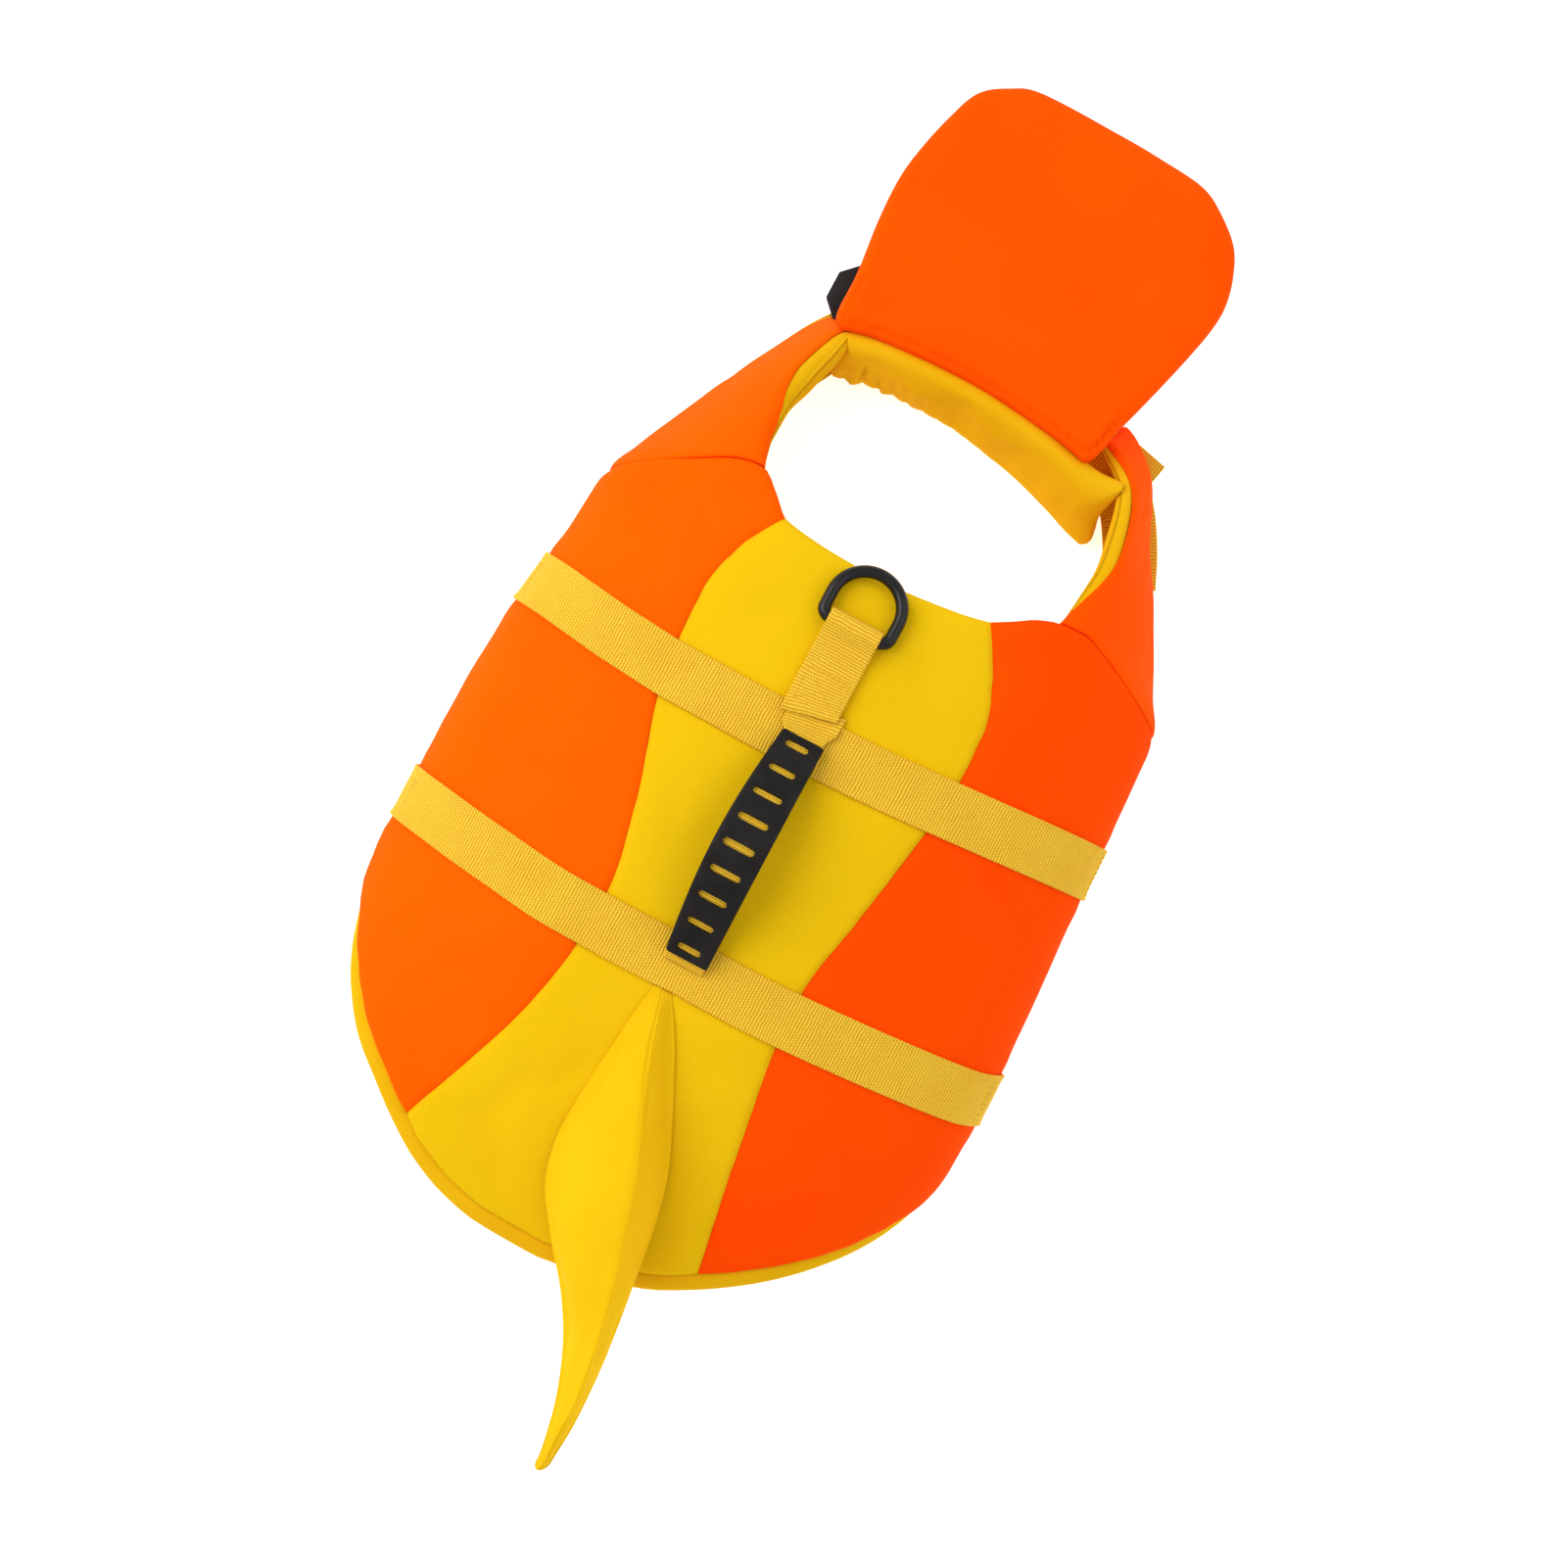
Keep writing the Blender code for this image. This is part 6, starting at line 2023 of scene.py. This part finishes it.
def cut_across(obj: Object, length: float, count: int) -> None:
    """Cuts a bar into slices along Y, so that it can follow an arch.

    Args:
        obj: The bar.
        length: Its length.
        count: How many slices.
    """
    only(obj)
    bpy.ops.object.mode_set(mode="EDIT")
    for k in range(1, count):
        bpy.ops.mesh.select_all(action="SELECT")
        bpy.ops.mesh.bisect(plane_co=(0, (k / count - 0.5) * length * MM, 0), plane_no=(0, 1, 0))
    bpy.ops.object.mode_set(mode="OBJECT")


def slot_cutter(centre: Sequence[float], length: float, width: float, height: float) -> Object:
    """A round-ended cutter, long across X.

    Args:
        centre: The middle of its foot, in millimetres.
        length: Its length.
        width: Its width.
        height: Its height.

    Returns:
        The cutter.
    """
    cutter = rod("cutter", (0, 0, height / 2), width / 2, height, 20)
    points = millimetres(cutter)
    points[:, 0] += np.sign(points[:, 0]) * (length - width) / 2
    place_at(cutter, points + np.array(centre))
    return cutter


def carve(obj: Object, cutter: Object, operation: str = "DIFFERENCE") -> None:
    """Cuts or joins one piece with another, which is used up.

    Args:
        obj: The piece.
        cutter: The other one.
        operation: Blender's name for what is done.
    """
    cut = obj.modifiers.new("carve", "BOOLEAN")
    cut.object, cut.operation, cut.solver = cutter, operation, "EXACT"
    apply_modifiers(obj)
    bpy.data.objects.remove(cutter, do_unlink=True)


def soften(obj: Object, width: float, segments: int, angle: float) -> None:
    """Rounds the edges that turn by more than an angle.

    Args:
        obj: The piece.
        width: Width of the rounding, in millimetres.
        segments: Steps across it.
        angle: The angle, in degrees.
    """
    ease = obj.modifiers.new("soften", "BEVEL")
    ease.width, ease.segments, ease.limit_method = width * MM, segments, "ANGLE"
    ease.angle_limit = math.radians(angle)
    ease.use_clamp_overlap = True
    apply_modifiers(obj)


def finish_hard(obj: Object, angle: float) -> None:
    """Shades a hard piece smooth, but for edges that turn by more than that many degrees."""
    obj.data.shade_smooth()
    obj.data.set_sharp_from_angle(angle=math.radians(angle))


@dataclass
class Handle:
    """The grab handle: webbing sewn to both straps, arched through a slotted rubber grip."""

    x: float = -2.4
    bow: float = -2.2
    rise: float = 19.0
    power: float = 1.3
    ramp: float = 5.0
    front_end: float = 74.6
    rear_end: float = -52.0
    front: float = 61.0
    rear: float = -49.0
    end_width: float = 20.5
    middle_width: float = 24.5
    thick: float = 5.6
    web_width: float = 18.0
    web_rear_width: float = 20.0
    # How far the webbing's right front corner reaches beyond the left, and the bulge beside the tab
    slant: tuple = (5.8, 0.0)
    bulge: tuple = (7.5, 68.0, 1.3, 3.6)
    slots: int = 9
    slot_width: float = 3.3
    slot_lengths: tuple = (10.5, 15.0)
    slot_margin: float = 5.2
    slot_shift: float = -0.6
    slices: int = 44
    samples: int = 81

    def line(self, ys: Array, seat: Seat) -> Array:
        """Rows of x, y, z and width of the webbing's middle layer.

        Args:
            ys: Places along the back, from the front end.
            seat: The top of the cloth and the straps.

        Returns:
            A row for each place.
        """
        length = self.front - self.rear
        share = (self.front - ys) / length
        arch = np.sin(math.pi * np.clip(share, 0, 1))
        outside = np.maximum(np.maximum(-share, share - 1), 0) * length
        sewn, inside = smooth(1 - outside / self.ramp), smooth(1 - outside / 7.0)
        fine = np.arange(self.rear_end - 14, self.front_end + 14, 1.0)
        z = np.interp(ys, fine, seat.heights(self.x, fine, 40)) + SEAM_GAP + WEBBING / 2
        z += self.rise * arch**self.power + (self.thick - WEBBING) / 2 * sewn + 0.35
        z -= 1.0 * smooth((share - 1) * length / 4.0)
        width = mix(np.where(share < 0.5, WEBBING_WIDTH, self.web_rear_width), self.web_width, inside)
        return np.column_stack([self.x + self.bow * arch, ys, z, width])

    def build(self, seat: Seat) -> list:
        """Makes the webbing and the grip.

        Args:
            seat: The top of the cloth and the straps.

        Returns:
            Both pieces.
        """
        ends = np.linspace(self.front_end, self.front, 8)[:-1]
        rear = np.linspace(self.rear, self.rear_end, 9)[1:]
        line = self.line(np.concatenate([ends, np.linspace(self.front, self.rear, 56), rear]), seat)
        web = strip("handle_web", "handle_webbing", line, self.slant, self.bulge)
        return [web, self.grip(seat)]

    def sleeve(self) -> Object:
        """The rubber sleeve before it is arched: hollow for the webbing, and slotted through its upper wall.

        Returns:
            The bar, along Y about the origin.
        """
        length = self.front - self.rear
        sleeve = block("rubber_grip", (0, 0, 0), (self.middle_width, length, self.thick))
        soften(sleeve, 1.5, 3, 60)
        carve(sleeve, block("tunnel", (0, 0, 0), (self.web_width + 1.0, length + 8, WEBBING + 0.7)))
        for k in range(self.slots):
            share = mix(self.slot_margin / length, 1 - self.slot_margin / length, k / (self.slots - 1))
            size = mix(*self.slot_lengths, math.sin(math.pi * share))
            centre = (self.slot_shift, (0.5 - share) * length, 0.2)
            carve(sleeve, slot_cutter(centre, size, self.slot_width, self.thick))
        soften(sleeve, 0.3, 2, 50)
        cut_across(sleeve, length, self.slices)
        return sleeve

    def grip(self, seat: Seat) -> Object:
        """The rubber grip: the sleeve, arched along the webbing and narrowed to its ends.

        Args:
            seat: The top of the cloth and the straps.

        Returns:
            The piece.
        """
        sleeve = self.sleeve()
        points = millimetres(sleeve)
        share = np.clip(0.5 - points[:, 1] / (self.front - self.rear), 0, 1)
        line = self.line(np.linspace(self.front, self.rear, self.samples), seat)
        ahead = unit(np.gradient(line[:, 1:3], axis=0))
        ups = np.column_stack([np.zeros(self.samples), ahead[:, 1], -ahead[:, 0]])
        place, up = (resampled(rows, share, np.linspace(0, 1, self.samples)) for rows in (line[:, :3], ups))
        narrow = mix(self.end_width, self.middle_width, np.sin(math.pi * share)) / self.middle_width
        curl = 0.5 * hump(share, 0.02) + 0.5 * hump(share - 1, 0.02)
        body = place + unit(up) * (points[:, 2:3] + curl[:, None])
        body[:, 0] += points[:, 0] * np.where(np.abs(points[:, 0]) > self.web_width / 2 + 0.6, narrow, 1.0)
        place_at(sleeve, body - DRAWING_SHIFT)
        finish_hard(sleeve, 32)
        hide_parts("handle_grip")
        return dress(sleeve, Finish.RUBBER)


@dataclass
class Buckle:
    """A side-release buckle, fastened: modelled once along X from its joint, then placed three times."""

    width: float = 33.0
    height: float = 8.0
    strap_z: float = 3.2
    socket: float = 26.0
    prong: float = 15.0
    arm: float = 15.0
    arm_width: float = 5.0
    pocket: float = 7.0
    play: float = 0.6
    round_edge: float = 0.9
    grooves: int = 3
    groove_pitch: float = 2.6
    # How far the prong half's rear corners are cut back along each edge
    corner: float = 13.0
    places: tuple = (
        ("front", (-5.35, 69.0, 0.0)), ("rear", (-5.35, -43.5, 0.0)), ("neck", (-74.5, 255.5, 1.9)))

    def build(self) -> list:
        """Makes both halves and places a copy at each buckle.

        Returns:
            The pieces.
        """
        made = []
        halves = {"socket": self.socket_half(), "prong": self.prong_half()}
        for word, place in self.places:
            for half, model in halves.items():
                copy = link(bpy.data.objects.new(f"{word}_{half}", model.data.copy()))
                place_at(copy, millimetres(copy) + np.array(place) - DRAWING_SHIFT)
                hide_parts(f"{word}_buckle_{half}")
                made.append(dress(copy, Finish.ACETAL))
        for model in halves.values():
            bpy.data.objects.remove(model, do_unlink=True)
        return made

    def strap_slot(self, x: float) -> Object:
        """The cutter for the slot that the webbing goes through, at that place along X."""
        size = (self.pocket + 2, WEBBING_WIDTH + self.play, WEBBING + self.play)
        return block("slot", (x, 0, self.strap_z + WEBBING / 2), size)

    def socket_half(self) -> Object:
        """The socket: a shell with open sides for the prongs, a strap slot and grip ridges.

        Returns:
            The socket.
        """
        half, z = self.width / 2, self.height / 2
        neck = half - self.arm_width - SEAM_GAP
        body = block("socket", (self.socket / 2, 0, z), (self.socket, self.width, self.height))
        for side in (-1, 1):
            centre = ((self.arm + SEAM_GAP) / 2 - 1, side * (neck + half + 2) / 2, z)
            carve(body, block("window", centre, (self.arm + SEAM_GAP + 2, half + 2 - neck, self.height + 2)))
        carve(body, self.strap_slot(self.socket - self.pocket / 2 + 1))
        soften(body, self.round_edge, 3, 50)
        carve(body, block("recess", (8.0, 0, self.height), (10.0, 12.0, 0.9)))
        for k in range(self.grooves):
            carve(body, rod("groove", (17.5 + self.groove_pitch * k, 0, self.height + 0.5), 0.9, 1.6, 12))
        finish_hard(body, 35)
        return body

    def prong_half(self) -> Object:
        """The prong half: a body with a strap slot and two spring arms that end in the side windows.

        Returns:
            The prong half.
        """
        half, z = self.width / 2, self.height / 2
        size = (self.prong, self.width - 3.0, self.height)
        body = block("prong", (-SEAM_GAP - self.prong / 2, 0, z), size)
        neck = half - self.arm_width
        for side in (-1, 1):
            centre = ((self.arm - 4) / 2, side * (neck + half) / 2, z)
            arm = block("arm", centre, (self.arm + 4, self.arm_width, self.height - self.play))
            carve(body, arm, "UNION")
        carve(body, self.strap_slot(-SEAM_GAP - self.prong + self.pocket / 2 - 1))
        for side in (-1, 1):
            centre = np.array([-SEAM_GAP - self.prong - 1.5, side * (half + 1.5), 0.0])
            cutter = rod("corner", (0, 0, z), self.corner, self.height + 2, 4)
            place_at(cutter, millimetres(cutter) + centre)
            carve(body, cutter)
        soften(body, self.round_edge, 3, 50)
        finish_hard(body, 35)
        return body


# ---- tail


# The tail's edges, its ridge, and the ridge's height over the back
TAIL = Profile(
    "y left ridge right rise",
    (-65.2, -9.5, -5.5, -1.5, 0), (-80, -12, -1.5, 8, 9), (-98, -13.5, 4.5, 17.5, 18),
    (-118, -15.5, 13.5, 27, 27), (-140, -16.5, 22.5, 36, 35), (-162, -13, 29.5, 41, 40),
    (-186, 1.5, 36.5, 44.5, 41), (-208, 18.5, 41, 47.5, 36), (-232, 31.5, 45, 50, 27),
    (-256, 39.5, 47, 51, 17.5), (-276, 43.5, 47, 49.8, 8))
# The tail's folds, over places along it and round it
TAIL_FOLDS = laid(
    (20, 8, 62, 16, 0.8, 4.0, 2.0), (58, 26, 104, 20, 0.7, 4.5, -3.0), (96, 10, 130, 22, 0.6, 4.0, 2.0),
    (34, 60, 80, 66, 0.6, 4.0, 2.0), (110, 56, 150, 50, 0.4, 4.0, -2.0), (140, 12, 176, 16, 0.3, 3.5, 1.0))


@dataclass
class Tail:
    """The stuffed tail: one padded form with a soft ridge, sewn on the back and free behind the hem."""

    form: BodyForm
    hem: float = 183.0
    tip: tuple = (45.8, -283.0, 90.0)
    # How round the faces are as a share of their breadth, over the back and behind the hem
    bulges: tuple = (0.15, 0.06)
    # How much rounder than that the left and the right face are
    fullness: tuple = (4.0, 1.4)
    face_shares: tuple = (0.16, 0.36, 0.58, 0.78, 0.93)
    tip_shares: tuple = (0.35, 0.62, 0.82, 0.94, 0.985)

    def seat(self, back: Seat, x: float, y: float) -> float:
        """The underside of the tail: just above the back panel, then clear of the hem behind it.

        Args:
            back: The top of the panels.
            x: Place across the back.
            y: Place along it.

        Returns:
            The height there.
        """
        girth = np.array(math.copysign(np.interp(abs(x), *self.form.section(1, -self.hem)[1::-1]), x))
        edge, stretch = self.form.edge(REAR_EDGE, girth)
        hem = float(edge + HEM_SHOWS * stretch) + 1.0
        if y > hem:
            return back.height(x, y) + SEAM_GAP + AIR
        share = min(1.0, (hem - y) / (hem - self.tip[1]))
        return float(mix(back.height(x, hem) + SEAM_GAP, self.tip[2] - 3.0, share))

    def ring(self, back: Seat, y: float) -> Array:
        """Points round the tail: up its left face, over the ridge, down its right face and back beneath.

        Args:
            back: The top of the panels.
            y: Place along the tail.

        Returns:
            Places across and heights.
        """
        full = mix(self.bulges[1], self.bulges[0], smooth((y + 215.0) / 30.0))
        left, ridge, right = (float(TAIL.at(c, y)) for c in ("left", "ridge", "right"))
        rise = max(0.5, float(TAIL.at("rise", y)))
        soft = min(1.0, rise / 10.0)
        a, b = (np.array([x, self.seat(back, x, y)]) for x in (left, right))
        peak = np.array([ridge, self.seat(back, ridge, y) + rise])
        faces = []
        for edge, sign, more in ((a, -1, self.fullness[0]), (b, 1, self.fullness[1])):
            out = unit(np.array([sign * (peak[1] - edge[1]), abs(edge[0] - peak[0])]))
            push = full * more * float(np.linalg.norm(peak - edge))
            face = [mix(edge, peak, t) + out * push * t * (1 - t) for t in self.face_shares]
            low = [edge + np.array([-sign * 1.6 * soft, 0.0]), edge + np.array([0.0, 1.7 * soft])]
            faces.append([*low, *face])
        under = [float(mix(b, a, t)[0]) for t in (0.3, 0.7)]
        crown = peak - np.array([0.0, 1.1 * soft])
        return np.array([*faces[0], crown, *faces[1][::-1], *([x, self.seat(back, x, y)] for x in under)])

    def rings(self, back: Seat) -> Array:
        """Rings along the tail, evened out over neighbours and closed over the tip.

        Args:
            back: The top of the panels.

        Returns:
            The points of each ring.
        """
        ys = [*np.linspace(-65.4, -88, 12)[:-1], *np.linspace(-88, -262, 60), *np.linspace(-264, -278, 8)]
        coarse = np.array([self.ring(back, float(y)) for y in ys])
        for _ in range(3):
            coarse[1:-1] = (coarse[:-2] + 2 * coarse[1:-1] + coarse[2:]) / 4
        rings = []
        for y, loop in zip(ys, coarse):
            fine = through(loop, 4, closed=True)
            rings.append(np.column_stack([fine[:, 0], np.full(len(fine), y), fine[:, 1]]))
        last, middle = rings[-1], rings[-1].mean(axis=0)
        for share in self.tip_shares:
            rings.append(mix(middle, np.array(self.tip), share) + (last - middle) * math.sqrt(1 - share**2))
        return np.stack(rings)

    def build(self, back: Seat) -> Object:
        """Makes the tail.

        Args:
            back: The top of the panels.

        Returns:
            The piece.
        """
        grid = self.rings(back)
        centre = grid.mean(axis=1, keepdims=True)
        girth, run = np.meshgrid(along_line(grid[30]), along_line(centre[:, 0]))
        relief = 0.5 * drift(run, girth, 48.0, 81) + 0.25 * drift(run, girth, 21.0, 82)
        relief = relief + sum(fold.height(run, girth) for fold in TAIL_FOLDS)
        seated = smooth((grid[..., 2] - grid[..., 2].min(axis=1, keepdims=True) - 1.5) / 5.0)
        size = smooth(np.linalg.norm(grid - centre, axis=-1) / 8.0)
        grid = grid + unit(grid - centre) * (relief * seated * size)[..., None]
        obj = tube("tail_cushion", grid, np.stack([run, girth], axis=-1) * MM)
        Cushion(voxel=4.0, limit=1.3).inflate(obj, (grid,), (seated * size**2,))
        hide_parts("tail_left", "tail_right")
        return dress(obj, Finish.YELLOW_TAIL)


# ---- stitches, stage and main


@dataclass
class Sewing:
    """The stitches that show: across the girth straps high on both sides, and on the ring's tab."""

    strap_rows: tuple = (-159.0, -156.5, 157.0, 159.5)
    tab_x: tuple = (-15.5, 4.5)
    box_y: tuple = (75.5, 91.5)
    ring_row_y: float = 103.5

    def build(self, straps: Sequence[GirthStrap], tops: Seat) -> Object:
        """Makes the rows of stitches as one piece.

        Args:
            straps: The girth straps.
            tops: The top of the webbing.

        Returns:
            The piece.
        """
        (x0, x1), (y0, y1), y2 = self.tab_x, self.box_y, self.ring_row_y
        box = [(x0, y0), (x1, y0), (x1, y1), (x0, y1), (x0, y0)]
        routes = [box, [(x0, y0), (x1, y1)], [(x0, y1), (x1, y0)], [(x0, y2), (x1, y2)]]
        lines = [strap.cross_row(girth) for strap in straps for girth in self.strap_rows]
        lines += [self.on_top(route, tops) for route in routes]
        return dress(Stitching().rows("webbing_stitches", lines), Finish.THREAD_YELLOW)

    def on_top(self, corners: Sequence[tuple], tops: Seat) -> tuple:
        """A line over plan points on the top surface.

        Args:
            corners: The plan points.
            tops: The top of the webbing.

        Returns:
            The line's points and upright normals.
        """
        plan = np.array(corners, float)
        length = along_line(plan)[-1]
        plan = resampled(plan, np.linspace(0, length, max(2, int(length / 1.5))))
        line = np.column_stack([plan, [tops.height(x, y) + 0.05 for x, y in plan]])
        return line, np.tile(np.array([0.0, 0.0, 1.0]), (len(line), 1))


@dataclass
class Studio:
    """A product table seen from straight above, under a broad soft light from the upper left."""

    tilt: float = math.radians(28.0)
    centre: tuple = (0.00028, -0.00885)
    height: float = 2.06
    lens: float = 101.2
    sky: float = 0.72
    # Each light's place across, along and up, its size in metres, its power and its colour
    lights: tuple = (
        ("key", (-1.3, 0.9, 1.7), 2.2, 32.0, "#FFFDF8"), ("fill", (1.4, 0.2, 1.6), 1.6, 6.0, "#F8FAFF"))

    def build(self) -> None:
        """Places the paper, lights, world and camera."""
        bpy.ops.object.select_all(action="DESELECT")
        bpy.ops.mesh.primitive_plane_add(size=8.0, location=(0, 0, -0.0004))
        paper = bpy.context.view_layer.objects.active
        paper.name = "paper"
        dress(paper, Finish.PAPER, None)
        scene = bpy.context.scene
        scene.world = scene.world or bpy.data.worlds.new("world")
        scene.world.use_nodes = True
        background = scene.world.node_tree.nodes["Background"]
        background.inputs[0].default_value = linear("#FFFFFF")
        background.inputs[1].default_value = self.sky
        right = Vector((math.cos(self.tilt), math.sin(self.tilt), 0))
        ahead = Vector((-math.sin(self.tilt), math.cos(self.tilt), 0))
        for name, (x, y, z), size, watts, colour in self.lights:
            self.light(name, x * right + y * ahead + Vector((0, 0, z)), size, watts, colour)
        camera = bpy.data.cameras.new("camera")
        camera.lens, camera.sensor_width, camera.clip_end = self.lens, 36.0, 20.0
        scene.camera = link(bpy.data.objects.new("camera", camera))
        scene.camera.location = (*self.centre, self.height)
        scene.camera.rotation_euler = (0.0, 0.0, self.tilt)
        scene.view_settings.view_transform = "Standard"
        scene.view_settings.look = "None"

    def light(self, name: str, place: Vector, size: float, watts: float, colour: str) -> None:
        """A soft area light that looks at the jacket.

        Args:
            name: Its name.
            place: Where it hangs, in metres.
            size: How wide it is.
            watts: Its power.
            colour: Its colour, as a hex value.
        """
        lamp = bpy.data.lights.new(name, "AREA")
        lamp.shape, lamp.size, lamp.energy = "DISK", size, watts
        lamp.color = linear(colour)[:3]
        holder = link(bpy.data.objects.new(name, lamp))
        holder.location = place
        holder.rotation_euler = (-place).to_track_quat("-Z", "Y").to_euler()


def main() -> None:
    """Builds the jacket in order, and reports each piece."""
    logging.basicConfig(level=logging.INFO, format="%(name)s %(message)s")
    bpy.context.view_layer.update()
    form = BodyForm()
    panels = BackAndSides(form).build()
    # The left arm wears the orange painted lit, and the right arm the chin's tone, painted lighter than the
    # right panel
    CollarArm(-1, LEFT_ARM, Finish.ORANGE_LEFT, form, LEFT_LINING, LEFT_ARM_FOLDS).build()
    CollarArm(1, RIGHT_ARM, Finish.ORANGE_FLOAT, form, RIGHT_LINING, RIGHT_ARM_FOLDS).build()
    ThroatPad().build()
    ChinFloat().build()
    straps = [
        GirthStrap(f"{word}_girth_web", f"{word}_strap", start, form)
        for word, start in zip(("front", "rear"), form.strap_lines)
    ]
    webs = [strap.build() for strap in straps]
    for word, route in NECK_ROUTES.items():
        FlatStrap(f"neck_web_{word}", f"neck_strap_{word}", route).build()
    back = Seat(*panels)
    ring = LeadRing()
    ring.build()
    tab = RingTab(ring).build(back)
    Handle().build(Seat(*panels, *webs))
    Tail(form).build(back)
    Buckle().build()
    Sewing().build(straps, Seat(tab, *webs))
    Studio().build()


if __name__ == "__main__":
    main()
